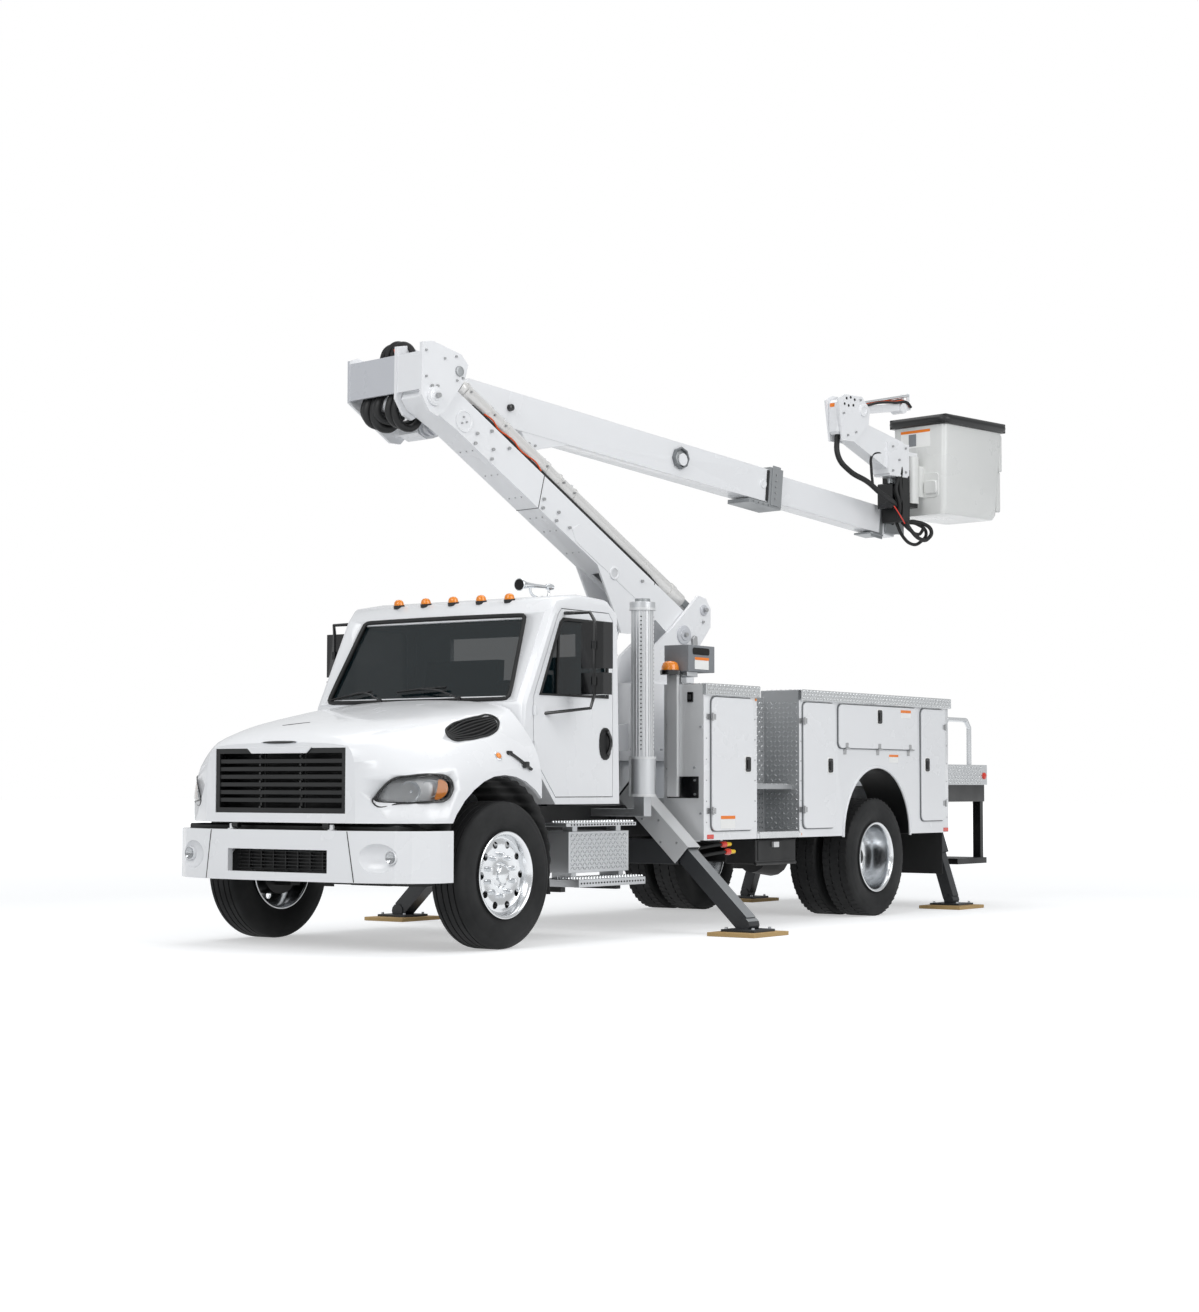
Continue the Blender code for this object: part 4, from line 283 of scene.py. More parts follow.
# Chassis paint over castings and brackets: semi-gloss black, dusty in its hollows
chassis_black = surfaced("semigloss_chassis_black", "0f1011", 0.45, ripple=0.12, ripple_mm=12, mottle=0.3,
                         blend=0.001)


def lathe(name, profile, place, steps=96, side=1):
    """Turns a half section of (along the axle, radius) points about the wheel's axle."""
    made = bmesh.new()
    ring = [made.verts.new((place[0], place[1] + along * side, place[2] + radius))
            for along, radius in profile]
    edges = [made.edges.new((a, b)) for a, b in zip(ring, ring[1:])]
    bmesh.ops.spin(made, geom=ring + edges, cent=place, axis=(0, 1, 0), dvec=(0, 0, 0), angle=math.tau,
                   steps=steps,
                   use_merge=True)
    bmesh.ops.remove_doubles(made, verts=made.verts, dist=0.00002)
    bmesh.ops.recalc_face_normals(made, faces=made.faces)
    mesh = mesh_of(made, name)
    mesh.shade_smooth()
    mesh.set_sharp_from_angle(angle=math.radians(38))
    return linked(name, mesh)


def repeat_tree(name, shape, material, sizes):
    """A Geometry Nodes tree that sets a stud or a block at each point, turned as the point says."""
    tree = bpy.data.node_groups.new(name, "GeometryNodeTree")
    tree.interface.new_socket("Geometry", in_out="INPUT", socket_type="NodeSocketGeometry")
    for key, value in sizes.items():
        kind = "NodeSocketInt" if isinstance(value, int) else "NodeSocketFloat"
        tree.interface.new_socket(key, in_out="INPUT", socket_type=kind).default_value = value
    tree.interface.new_socket("Geometry", in_out="OUTPUT", socket_type="NodeSocketGeometry")
    given = add(tree, "NodeGroupInput")
    if shape == "stud":
        one = add(tree, "GeometryNodeMeshCone",
                  {"Vertices": given.outputs["Sides"], "Depth": given.outputs["Height"],
                                                 "Radius Bottom": given.outputs["Foot"],
                                                 "Radius Top": given.outputs["Head"]})
    else:
        size = add(tree, "ShaderNodeCombineXYZ",
                   {axis: given.outputs[key] for axis, key in zip("XYZ", sizes)})
        one = add(tree, "GeometryNodeMeshCube", {"Size": size.outputs[0]})
    if "Stretch" in sizes:
        grow = add(tree, "ShaderNodeCombineXYZ", {"X": 1.0, "Y": given.outputs["Stretch"], "Z": 1.0})
        one = add(tree, "GeometryNodeTransform", {"Geometry": one.outputs[0], "Scale": grow.outputs[0]})
    turn = add(tree, "GeometryNodeInputNamedAttribute", {"Name": "turn"}, data_type="FLOAT_VECTOR")
    turned = add(tree, "FunctionNodeEulerToRotation", {0: turn.outputs["Attribute"]})
    placed = add(tree, "GeometryNodeInstanceOnPoints", {"Points": given.outputs["Geometry"],
                                                       "Instance": one.outputs[0],
                                                       "Rotation": turned.outputs[0]})
    real = add(tree, "GeometryNodeRealizeInstances", {"Geometry": placed.outputs[0]})
    dressed = add(tree, "GeometryNodeSetMaterial", {"Geometry": real.outputs[0], "Material": material})
    add(tree, "NodeGroupOutput", {"Geometry": dressed.outputs[0]})
    return tree


def repeated(name, shape, sizes, spots, material, body, bevel=0.0):
    """One shape at each spot, given as (point, direction of its height[, direction of its width])."""
    mesh = bpy.data.meshes.new(name)
    mesh.from_pydata([tuple(spot[0]) for spot in spots], [], [])
    turns = mesh.attributes.new("turn", "FLOAT_VECTOR", "POINT")
    for number, spot in enumerate(spots):
        up = Vector(spot[1]).normalized()
        if len(spot) > 2:
            wide = Vector(spot[2]) - up * up.dot(Vector(spot[2]))
            wide.normalize()
            facing = Matrix((wide, up.cross(wide), up)).transposed()
        else:
            facing = up.to_track_quat("Z", "Y").to_matrix()
        turns.data[number].vector = facing.to_euler()
    made = linked(name, mesh)
    tree = repeat_tree(f"{name}_tree", shape, material, sizes)
    nodes = made.modifiers.new("repeat", "NODES")
    nodes.node_group = tree
    for item in tree.interface.items_tree:
        if item.in_out == "INPUT" and item.name in sizes:
            nodes[item.identifier] = sizes[item.name]
    if bevel:
        edge = made.modifiers.new("edges", "BEVEL")
        edge.width = bevel
        edge.segments = 1
    settled(made, material, body)
    made.data.shade_smooth()
    made.data.set_sharp_from_angle(angle=math.radians(35))
    return made


def cut_out(made, tool):
    """Cuts a tool's shape out of a piece and removes the tool."""
    bite = made.modifiers.new("bite", "BOOLEAN")
    bite.operation = "DIFFERENCE"
    bite.object = tool
    baked(made)
    bpy.data.objects.remove(tool)
    return made


def holed(made, cutters):
    """Cuts round holes: each is (place, direction, radius, length)."""
    cage = bmesh.new()
    for place, direction, radius, length in cutters:
        facing = Vector(direction).to_track_quat("Z", "Y").to_matrix().to_4x4()
        bmesh.ops.create_cone(cage, cap_ends=True, segments=28, radius1=radius, radius2=radius,
                              depth=length,
                              matrix=Matrix.Translation(place) @ facing)
    cut_out(made, linked("holes", mesh_of(cage, "holes")))
    made.data.shade_smooth()
    made.data.set_sharp_from_angle(angle=math.radians(38))
    return made


def around(place, radius, along, count, phase=0.0):
    """Points on a circle about an axle."""
    spots = []
    for number in range(count):
        angle = math.tau * (number + phase) / count
        spots.append(Vector((place[0] + radius * math.cos(angle), place[1] + along,
                             place[2] + radius * math.sin(angle))))
    return spots


def tyre(name, place, side, ribbed):
    """Sidewall, shoulder and tread; front tread has four deep grooves, the rear one is cut into lugs."""
    half, top, bead = TYRE_HALF, TYRE_RADIUS, TYRE_HALF - 0.024
    sidewall = [(bead, RIM_RADIUS + 0.004), (bead, 0.312), (bead + 0.006, 0.322), (half - 0.008, 0.345),
                (half - 0.006, 0.352),
                (half - 0.003, 0.356), (half - 0.001, 0.40), (half, 0.425), (half - 0.003, 0.455),
                (half - 0.0045, 0.458),
                (half - 0.0045, 0.463), (half - 0.009, 0.48), (half - 0.015, 0.498), (half - 0.026, 0.508)]
    tread = [(half - 0.034, top - 0.003)]
    depth = 0.014 if ribbed else 0.012
    for middle in ((0.078, 0.027, -0.027, -0.078) if ribbed else (0.045, -0.045)):
        for along, radius in ((0.006, 0), (0.0035, depth), (-0.0035, depth), (-0.006, 0)):
            tread.append((middle + along, top - radius))
    profile = sidewall + tread
    inner = [(-along, radius) for along, radius in reversed(sidewall + tread[:1])]
    return lathe(name, profile + inner, place, 120, side)


for name, side in (("left", 1), ("right", -1)):
    front = (AXLE_X, side * FRONT_WHEEL_Y, TYRE_RADIUS)
    body = f"front_wheel_{name}"
    made = tyre(f"front_tread_{name}", front, side, True)
    settled(made, tyre_rubber, body, f"front_tyre_{name}", slot="tyre_rubber")
    rim = lathe(f"front_alloy_{name}", [
        (0.118, 0.0), (0.118, 0.052), (0.112, 0.060), (0.104, 0.062), (0.104, 0.078), (0.098, 0.084),
        (0.087, 0.092),
        (0.085, 0.108), (0.085, 0.178), (0.089, 0.192), (0.091, 0.215), (0.088, 0.238), (0.082, 0.252),
        (0.084, 0.262),
        (0.110, 0.272), (0.128, 0.279), (0.137, 0.288), (0.140, 0.298), (0.137, 0.304), (0.130, 0.305),
        (0.122, 0.297),
        (-0.12, 0.290), (-0.138, 0.300), (-0.14, 0.292), (-0.12, 0.280), (0.04, 0.272), (0.068, 0.24),
        (0.069, 0.0)],
        front, 96, side)
    holes = [(spot, (0, 1, 0), 0.026, 0.2) for spot in around(front, 0.218, side * 0.085, HAND_HOLES)]
    settled(holed(rim, holes), buffed_alloy, body, f"front_rim_{name}", slot="polished_alloy")
    nuts = [(spot, (0, side, 0)) for spot in around(front, NUT_CIRCLE, side * 0.084, 10, 0.5)]
    repeated(f"front_nuts_{name}", "stud", {"Sides": 12, "Foot": 0.019, "Head": 0.0135, "Height": 0.034},
             nuts,
             buffed_alloy, body, 0.002)
    studs = [(spot, (0, side, 0)) for spot in around(front, 0.070, side * 0.103, 8, 0.5)]
    repeated(f"front_cap_bolts_{name}", "stud", {"Sides": 6, "Foot": 0.007, "Head": 0.007, "Height": 0.007},
             studs,
             plated_steel, body)

    outer = (REAR_AXLE_X, side * REAR_WHEEL_Y, TYRE_RADIUS)
    inner = (REAR_AXLE_X, side * (REAR_WHEEL_Y - TWIN_SPACING), TYRE_RADIUS)
    body = f"rear_wheels_{name}"
    for place, node in ((outer, f"rear_tyre_outer_{name}"), (inner, f"rear_tyre_inner_{name}")):
        made = tyre(node.replace("tyre", "tread"), place, side, False)
        settled(made, tyre_rubber, body, node, slot="tyre_rubber")
        lugs = []
        for row, along, count, phase in ((0, 0.088, 52, 0), (1, 0.020, 52, 0.5), (2, -0.020, 52, 0),
                                         (3, -0.088, 52, 0.5)):
            for number, spot in enumerate(around(place, TYRE_RADIUS - 0.0035, along, count, phase)):
                out = (spot - Vector((place[0], spot.y, place[2]))).normalized()
                lugs.append((spot, out, Vector((0, 1,
                                                0)) + 0.25 * (-1) ** row * out.cross(Vector((0, 1, 0)))))
        repeated(f"{node}_lugs", "block", {"Width": 0.054, "Length": 0.040, "Height": 0.008}, lugs,
                 tyre_rubber, body)
    dish = lathe(f"rear_alloy_{name}", [
        (-0.085, 0.0), (-0.085, 0.070), (-0.100, 0.084), (-0.130, 0.092), (-0.148, 0.104), (-0.149, 0.180),
        (-0.142, 0.200), (-0.138, 0.222), (-0.145, 0.240), (-0.118, 0.262), (-0.06, 0.270), (0.075, 0.272),
        (0.098, 0.276),
        (0.126, 0.281), (0.137, 0.289), (0.140, 0.298), (0.137, 0.304), (0.130, 0.305), (0.122, 0.297),
        (-0.12, 0.290),
        (-0.138, 0.298), (-0.139, 0.290), (-0.150, 0.250), (-0.163, 0.20), (-0.163, 0.0)], outer, 96, side)
    holes = [(spot, (0, 1, 0), 0.026, 0.2) for spot in around(outer, 0.215, -side * 0.145, HAND_HOLES)]
    settled(holed(dish, holes), buffed_alloy, body, f"rear_rim_{name}", slot="polished_alloy")
    twin = lathe(f"rear_alloy_inner_{name}", [
        (0.164, 0.0), (0.164, 0.20), (0.150, 0.25), (0.139, 0.290), (0.138, 0.300), (0.12, 0.291),
        (-0.12, 0.290),
        (-0.138, 0.300), (-0.14, 0.292), (-0.12, 0.280), (0.10, 0.272), (0.14, 0.235), (0.148, 0.20),
        (0.148, 0.0)],
        inner, 72, side)
    settled(twin, buffed_alloy, body, slot="polished_alloy")
    nuts = [(spot, (0, side, 0)) for spot in around(outer, NUT_CIRCLE, -side * 0.149, 10, 0.5)]
    repeated(f"rear_nuts_{name}", "stud", {"Sides": 12, "Foot": 0.019, "Head": 0.0135, "Height": 0.040},
             nuts,
             buffed_alloy, body, 0.002)
    hub = lathe(f"rear_hub_{name}",
                [(-0.03, 0.0), (-0.03, 0.056), (-0.036, 0.066), (-0.060, 0.070), (-0.062, 0.092),
                                     (-0.12, 0.094), (-0.12, 0.0)], outer, 48, side)
    settled(hub, chassis_black, body, slot="black_paint")
    studs = [(spot, (0, side, 0)) for spot in around(outer, 0.081, -side * 0.061, 8, 0.5)]
    repeated(f"rear_hub_bolts_{name}", "stud", {"Sides": 6, "Foot": 0.007, "Head": 0.007, "Height": 0.009},
             studs,
             plated_steel, body)

# Everything else that was welded or cast
# Frame rails, axles and outriggers in chassis paint, tread plate on the decks and boxes, tinted glass,
# a moulded bucket and bare or plated steel where parts slide: each takes its own finish here.
rubbed_charcoal = surfaced("rubbed_charcoal_enamel", "2b2d30", 0.42, ripple=0.15, ripple_mm=14, mottle=0.22,
                           blend=0.001)
matt_plastic = surfaced("moulded_black_plastic", "111213", 0.55, ripple=0.1, ripple_mm=5, mottle=0.1,
                        blend=0.0006)
cab_trim = surfaced("grained_cab_trim", "1c1d1f", 0.72, ripple=0.2, ripple_mm=5, mottle=0.15, blend=0.001)
brushed_aluminium = surfaced("brushed_aluminium_sheet", "cfd1d3", 0.34, metallic=0.9, ripple=0.06,
                             ripple_mm=25, mottle=0.1,
                             blend=0.001)
bare_steel = surfaced("galvanised_steel", "a9acae", 0.40, metallic=0.75, ripple=0.1, ripple_mm=20,
                      mottle=0.25, blend=0.001)
hard_chrome = surfaced("hard_chromed_steel", "e3e5e7", 0.08, metallic=1.0)
gelcoat = surfaced("moulded_gelcoat", "e2e3e1", 0.30, coat=0.3, ripple=0.05, ripple_mm=45, mottle=0.04,
                   blend=0.003)
tinted_glass = surfaced("tinted_safety_glass", "0c1a1e", 0.03, coat=0.2)
tinted_glass.node_tree.nodes["Principled BSDF"].inputs["Alpha"].default_value = 0.74

OTHER_SKINS = (
    # material, slot, edge rounding, CAD nodes
    (chassis_black, "black_paint", 0.003,
     ("chassis_frame", "front_axle", "rear_axle", "powertrain", "knuckle_left",
                                           "knuckle_right")),
    (matt_plastic, "black_plastic", 0.002, ("grille",)),
    (cab_trim, "dark_trim", 0.008, ("cab_interior",)),
    (tinted_glass, "tinted_glass", 0.001, ("windshield", "door_glass_left", "door_glass_right")),
    (rubbed_charcoal, "charcoal_paint", 0.004,
     ("outrigger_beam_front", "outrigger_beam_rear", "outrigger_leg_front_left",
                                                "outrigger_leg_front_right", "outrigger_leg_rear_left",
                                                "outrigger_leg_rear_right")),
    (brushed_aluminium, "tread_plate", 0.003, ("step_box_left", "step_box_right", "body_deck", "tail_shelf",
                                               "exhaust_column", "control_stand")),
    (bare_steel, "bare_steel", 0.003, ("levelling_link",)),
    (hard_chrome, "chromed_rod", 0.002, ("lift_rod",)),
    (chassis_black, "black_paint", 0.004, ("platform_bracket",)),
    (gelcoat, "fibreglass", 0.004, ("bucket",)),
)
for material, slot, width, nodes in OTHER_SKINS:
    for node in nodes:
        rounded(node, width, material, slot)

# Nose: lamps, grille, vents and blank badge
# Moulded lamp housings with chromed bowls behind clear covers, let into the hood; a moulded grille and
# vents, a black radiator behind them, and a bumper in three pieces with round fog lamps.
black_gloss = surfaced("moulded_gloss_black", "08090b", 0.18, coat=0.3)
mirror_chrome = surfaced("vacuum_metallised_chrome", "e6e9ec", 0.07, metallic=1.0)
amber_plastic = surfaced("amber_lamp_plastic", "f08a10", 0.14, coat=0.6)
clear_cover = surfaced("clear_polycarbonate_cover", "0c0e10", 0.02)
clear_cover.node_tree.nodes["Principled BSDF"].inputs["Alpha"].default_value = 0.16
radiator_black = surfaced("radiator_core_black", "0c0c0d", 0.6, ripple=0.4, ripple_mm=4, blend=0.001)
# Painted shade: a near-black matt finish laid in seams, slits, slots and holes where shadow falls
seam_shadow = surfaced("open_seam", "101010", 0.9)


def basis(facing):
    """Across, up and out for something that faces the given way."""
    out = Vector(facing).normalized()
    wide = Vector((0, 0, 1)).cross(out).normalized()
    return wide, out.cross(wide), out


def surface_of(made):
    """A search tree of an object's surface, for laying pieces on it."""
    cage = bmesh.new()
    cage.from_mesh(made.data)
    tree = BVHTree.FromBMesh(cage)
    cage.free()
    return tree


def wrapped(name, outline, facing, onto, lift, thick, spacing=0.03, rounds=2):
    """A sheet laid on a surface, its outline given as points seen along facing and rounded off."""
    wide, tall, out = basis(facing)
    middle = sum((Vector(spot) for spot in outline), Vector()) / len(outline)
    flat = [Vector(((Vector(spot) - middle).dot(wide), (Vector(spot) - middle).dot(tall)))
            for spot in outline]
    for _ in range(rounds):
        flat = [0.75 * a + 0.25 * b if first else 0.25 * a + 0.75 * b
                for a, b in zip(flat, flat[1:] + flat[:1]) for first in (True, False)]
    count = len(flat)
    low = [min(spot[axis] for spot in flat) for axis in (0, 1)]
    high = [max(spot[axis] for spot in flat) for axis in (0, 1)]
    grid = [Vector((low[0] + spacing * (i + 0.5), low[1] + spacing * (j + 0.5)))
            for i in range(int((high[0] - low[0]) / spacing))
            for j in range(int((high[1] - low[1]) / spacing))]
    edges = [(i, (i + 1) % count) for i in range(count)]
    spots, _, faces = delaunay_2d_cdt(flat + grid, edges, [], 1, 1e-6)[:3]
    laid = []
    for spot in spots:
        start = middle + wide * spot[0] + tall * spot[1]
        hit = onto.ray_cast(start + out * 0.3, -out, 0.6)[0] or onto.find_nearest(start)[0]
        laid.append(hit + out * lift)
    size = len(laid)
    used = {}
    for face in faces:
        for a, b in zip(face, face[1:] + face[:1]):
            used[(a, b)] = (b, a) not in used and used.get((a, b), True)
            if (b, a) in used:
                used[(a, b)] = used[(b, a)] = False
    walls = [(b, a, a + size, b + size) for (a, b), open_edge in used.items() if open_edge]
    mesh = bpy.data.meshes.new(name)
    mesh.from_pydata(laid + [spot - out * thick for spot in laid], [],
                     [tuple(face) for face in faces] + [tuple(i + size for i in reversed(face))
                                                        for face in faces] + walls)
    cage = bmesh.new()
    cage.from_mesh(mesh)
    bmesh.ops.delete(cage, geom=[vert for vert in cage.verts if not vert.link_faces], context="VERTS")
    bmesh.ops.recalc_face_normals(cage, faces=cage.faces)
    cage.to_mesh(mesh)
    cage.free()
    mesh.shade_smooth()
    mesh.set_sharp_from_angle(angle=math.radians(40))
    return linked(name, mesh)


def grown(outline, factor):
    """An outline scaled about its middle."""
    middle = sum((Vector(spot) for spot in outline), Vector()) / len(outline)
    return [middle + (Vector(spot) - middle) * factor for spot in outline]


def flipped(outline, side):
    """The same points on the truck's left (1) or right (-1)."""
    return [Vector((spot[0], spot[1] * side, spot[2])) for spot in outline]


def turned(name, profile, place, direction, steps=32):
    """A half section of (height, radius) points turned about a direction through a place."""
    made = lathe(name, profile, Vector((0, 0, 0)), steps)
    facing = Vector((0, 1, 0)).rotation_difference(Vector(direction).normalized()).to_matrix().to_4x4()
    made.data.transform(Matrix.Translation(place) @ facing)
    return made


def pipe(name, points, radius, material, body, closed=False, smooth=False, sides=3, slot=None):
    """A round bar or hose along points."""
    curve = bpy.data.curves.new(name, "CURVE")
    curve.dimensions = "3D"
    curve.bevel_depth = radius
    curve.bevel_resolution = sides
    curve.use_fill_caps = True
    line = curve.splines.new("BEZIER")
    line.bezier_points.add(len(points) - 1)
    line.use_cyclic_u = closed
    line.resolution_u = 8 if smooth else 1
    for knot, spot in zip(line.bezier_points, points):
        knot.co = spot
        knot.handle_left_type = knot.handle_right_type = "AUTO" if smooth else "VECTOR"
    drawn = linked(name, curve)
    mesh = bpy.data.meshes.new_from_object(drawn.evaluated_get(bpy.context.evaluated_depsgraph_get()))
    bpy.data.objects.remove(drawn)
    mesh.shade_smooth()
    mesh.set_sharp_from_angle(angle=math.radians(50))
    return settled(linked(name, mesh), material, body, slot=slot)


def slab(name, low, high, material, body, bevel=0.002):
    """A block between two corners with its edges rounded."""
    low, high = Vector(low), Vector(high)
    size = Vector([abs(b - a) for a, b in zip(low, high)])
    return repeated(name, "block", {"Width": size.x, "Length": size.y, "Height": size.z},
                    [((low + high) / 2, (0, 0, 1), (1, 0, 0))], material, body, bevel)


hood_skin = bpy.data.objects["hood_shell_skin"]
bumper_skin = bpy.data.objects["front_bumper_skin"]
hood_face = surface_of(hood_skin)
bumper_face = surface_of(bumper_skin)
LAMP_OUTLINE = [(4.557, 0.809, 1.022), (4.547, 0.828, 1.067), (4.526, 0.865, 1.120), (4.490, 0.915, 1.175),
                (4.397, 1.002, 1.202), (4.227, 1.095, 1.211), (4.154, 1.128, 1.194), (4.126, 1.148, 1.149),
                (4.143, 1.155, 1.085), (4.187, 1.145, 1.040), (4.279, 1.116, 1.026), (4.449, 0.976, 1.017)]
AMBER_OUTLINE = [(4.226, 1.108, 1.185), (4.180, 1.135, 1.165), (4.168, 1.150, 1.130), (4.185, 1.150, 1.080),
                 (4.230, 1.135, 1.045), (4.282, 1.114, 1.036), (4.245, 1.105, 1.090), (4.232, 1.105, 1.140)]
VENT_OUTLINE = [(3.954, 0.945, 1.500), (3.870, 0.904, 1.548), (3.720, 0.891, 1.589), (3.543, 0.893, 1.621),
                (3.408, 0.908, 1.634), (3.382, 0.948, 1.606), (3.430, 0.993, 1.557), (3.530, 1.029, 1.507),
                (3.692, 1.038, 1.472), (3.857, 1.027, 1.451), (3.956, 1.000, 1.453)]
for name, side in (("left", 1), ("right", -1)):
    faces_to = Vector((0.62, 0.78 * side, 0.0))
    lamp = flipped(LAMP_OUTLINE, side)
    housing = wrapped(f"lamp_housing_{name}", lamp, faces_to, hood_face, -0.001, 0.085)
    cut_out(housing, wrapped("bite", grown(lamp, 0.95), faces_to, hood_face, 0.02, 0.095))
    cut_out(hood_skin, wrapped("bite", grown(lamp, 1.005), faces_to, hood_face, 0.06, 0.16))
    settled(housing, black_gloss, "hood")
    for number, (place, radius, look) in enumerate((((4.400, 0.995, 1.094), 0.072, (0.92, 0.38 * side, 0)),
                                                    ((4.275, 1.072, 1.115), 0.058,
                                                     (0.75, 0.66 * side, 0)))):
        place = Vector((place[0], place[1] * side, place[2])) - Vector(look) * 0.045
        bowl = turned(f"lamp_bowl_{number}_{name}", [
            (-0.030, 0.0), (-0.028, 0.3 * radius), (-0.018, 0.6 * radius), (0.0, 0.85 * radius),
            (0.022, radius),
            (0.022, radius + 0.004), (-0.004, 0.85 * radius + 0.005), (-0.034, 0.6 * radius),
            (-0.036, 0.0)], place, look, 12)
        bowl.data.shade_flat()
        settled(bowl, mirror_chrome, "hood")
        bulb = turned(f"lamp_bulb_{number}_{name}",
                      [(-0.03, 0.0), (-0.03, 0.012), (0.004, 0.012), (0.012, 0.008), (0.014, 0.0)],
                      place, look, 16)
        settled(bulb, amber_plastic if number else mirror_chrome, "hood")
    shelf = wrapped(f"lamp_reflector_{name}", grown(lamp, 0.93), faces_to, hood_face, -0.060, 0.004)
    settled(shelf, brushed_aluminium, "hood")
    strip = wrapped(f"turn_lamp_{name}", flipped(AMBER_OUTLINE, side), faces_to, hood_face, -0.010, 0.012,
                    0.012)
    settled(strip, amber_plastic, "hood")
    cover = wrapped(f"lamp_cover_{name}", grown(lamp, 0.97), faces_to, hood_face, 0.003, 0.004, 0.02)
    settled(cover, clear_cover, "hood")
    rim = [hood_face.find_nearest(spot)[0] for spot in lamp]
    pipe(f"lamp_gasket_{name}", rim, 0.006, black_gloss, "hood", closed=True, smooth=True)

    faces_to = Vector((0.15, 0.65 * side, 0.75))
    vent = flipped(VENT_OUTLINE, side)
    cut_out(hood_skin, wrapped("bite", vent, faces_to, hood_face, 0.05, 0.072))
    floor_plate = wrapped(f"vent_floor_{name}", grown(vent, 0.995), faces_to, hood_face, -0.012, 0.012)
    settled(floor_plate, radiator_black, "hood")
    rim = [hood_face.find_nearest(spot)[0] for spot in grown(vent, 0.985)]
    pipe(f"vent_frame_{name}", rim, 0.009, matt_plastic, "hood", closed=True, smooth=True)
    for number in range(6):
        share = (number + 0.7) / 6.4
        front = vent[0].lerp(vent[10], share)
        top = vent[2].lerp(vent[8], share)
        rear = vent[4].lerp(vent[6], share)
        line = [hood_face.find_nearest(spot)[0] for spot in (front, top, rear)]
        pipe(f"vent_louvre_{number}_{name}", line, 0.007, matt_plastic, "hood", smooth=True)

    marker = (3.622, 1.142 * side, 1.342)
    out = (0.08, 0.88 * side, 0.48)
    settled(turned(f"fender_lamp_rim_{name}",
                   [(-0.01, 0.0), (-0.01, 0.034), (0.003, 0.034), (0.008, 0.028), (0.008, 0.0)],
                   marker, out), mirror_chrome, "hood")
    settled(turned(f"fender_lamp_{name}",
                   [(0.0, 0.0), (0.0, 0.024), (0.012, 0.022), (0.019, 0.012), (0.021, 0.0)],
                   marker, out), amber_plastic, "hood")
    pipe(f"hood_strap_{name}", flipped([(3.495, 1.150, 1.366), (3.400, 1.172, 1.312),
                                        (3.300, 1.192, 1.250)], side), 0.011,
         black_gloss, "hood", smooth=True)
    slab(f"hood_strap_foot_{name}", (3.47, side * 1.13, 1.352), (3.52, side * 1.158, 1.380), black_gloss,
         "hood", 0.006)
    slab(f"hood_strap_clip_{name}", (3.335, side * 1.172, 1.262), (3.385, side * 1.205, 1.305), black_gloss,
         "hood", 0.006)

    # Bumper end: a long dimple with a round fog lamp at its outer end
    look = Vector((0.93, 0.36 * side, 0))
    dent = bmesh.new()
    bmesh.ops.create_uvsphere(dent, u_segments=40, v_segments=24, radius=1.0)
    mesh = mesh_of(dent, "dent")
    wide, tall, out = basis(look)
    shape = Matrix((wide * 0.150, tall * 0.100, out * 0.060)).transposed().to_4x4()
    mesh.transform(Matrix.Translation((4.583, 0.862 * side, 0.648)) @ shape)
    cut_out(bumper_skin, linked("dent", mesh))
    place = Vector((4.512, 0.945 * side, 0.652))
    settled(turned(f"fog_lamp_can_{name}",
                   [(-0.05, 0.0), (-0.05, 0.046), (0.0, 0.049), (0.020, 0.049), (0.024, 0.046),
                                            (0.022, 0.043), (0.0, 0.042), (0.0, 0.0)], place, (1, 0, 0)),
            gloss_white, "truck")
    settled(turned(f"fog_lamp_bowl_{name}",
                   [(0.002, 0.0), (0.004, 0.02), (0.018, 0.0415), (0.016, 0.042), (0.001, 0.03),
                                             (0.001, 0.0)], place, (1, 0, 0)), mirror_chrome, "truck")
    settled(turned(f"fog_lamp_lens_{name}",
                   [(0.018, 0.0), (0.018, 0.042), (0.022, 0.042), (0.030, 0.026), (0.033, 0.0)],
                   place, (1, 0, 0)), clear_cover, "truck")
    # A dark line along the bumper's seam, painted shade
    seam = []
    for step in range(9):
        share = step / 8
        start = Vector((5.0, side * (0.637 + 0.055 * share), 0.826 - 0.342 * share))
        seam.append(bumper_face.ray_cast(start, Vector((-1, 0, 0)))[0])
    pipe(f"bumper_seam_{name}", seam, 0.0035, seam_shadow, "truck")

# The white centre piece drops over the grille's top edge; the badge on it is blank
centre = bmesh.new()
front = [(4.610, 0.31, 1.402), (4.610, 0.258, 1.356), (4.610, -0.258, 1.356), (4.610, -0.31, 1.402)]
face = centre.faces.new([centre.verts.new(spot) for spot in front])
pushed = bmesh.ops.extrude_face_region(centre, geom=[face])
bmesh.ops.translate(centre, verts=[each for each in pushed["geom"] if isinstance(each, bmesh.types.BMVert)],
                    vec=(0.012, 0, 0))
bmesh.ops.recalc_face_normals(centre, faces=centre.faces)
made = linked("grille_centre", mesh_of(centre, "grille_centre"))
edge = made.modifiers.new("edges", "BEVEL")
edge.width = 0.004
edge.segments = 2
settled(made, gloss_white, "hood")
badge = [(4.6, y, z) for y, z in ((-0.150, 1.418), (-0.150, 1.442), (0.150, 1.442), (0.150, 1.418))]
settled(wrapped("blank_badge_rim", grown(badge, 1.12), (1, 0, 0.25), hood_face, 0.006, 0.010, 0.02),
        mirror_chrome, "hood")
settled(wrapped("blank_badge", badge, (1, 0, 0.25), hood_face, 0.009, 0.008, 0.02), black_gloss, "hood")
# A thin dark sheet on the hood, painted shade for the slit
slit = [(4.304, -0.262, 1.56), (4.318, -0.252, 1.56), (4.256, -0.052, 1.58), (4.238, -0.056, 1.58)]
settled(wrapped("hood_slit", slit, (0.25, 0.01, 0.96), hood_face, 0.0015, 0.01, 0.03, 1), seam_shadow,
        "hood")

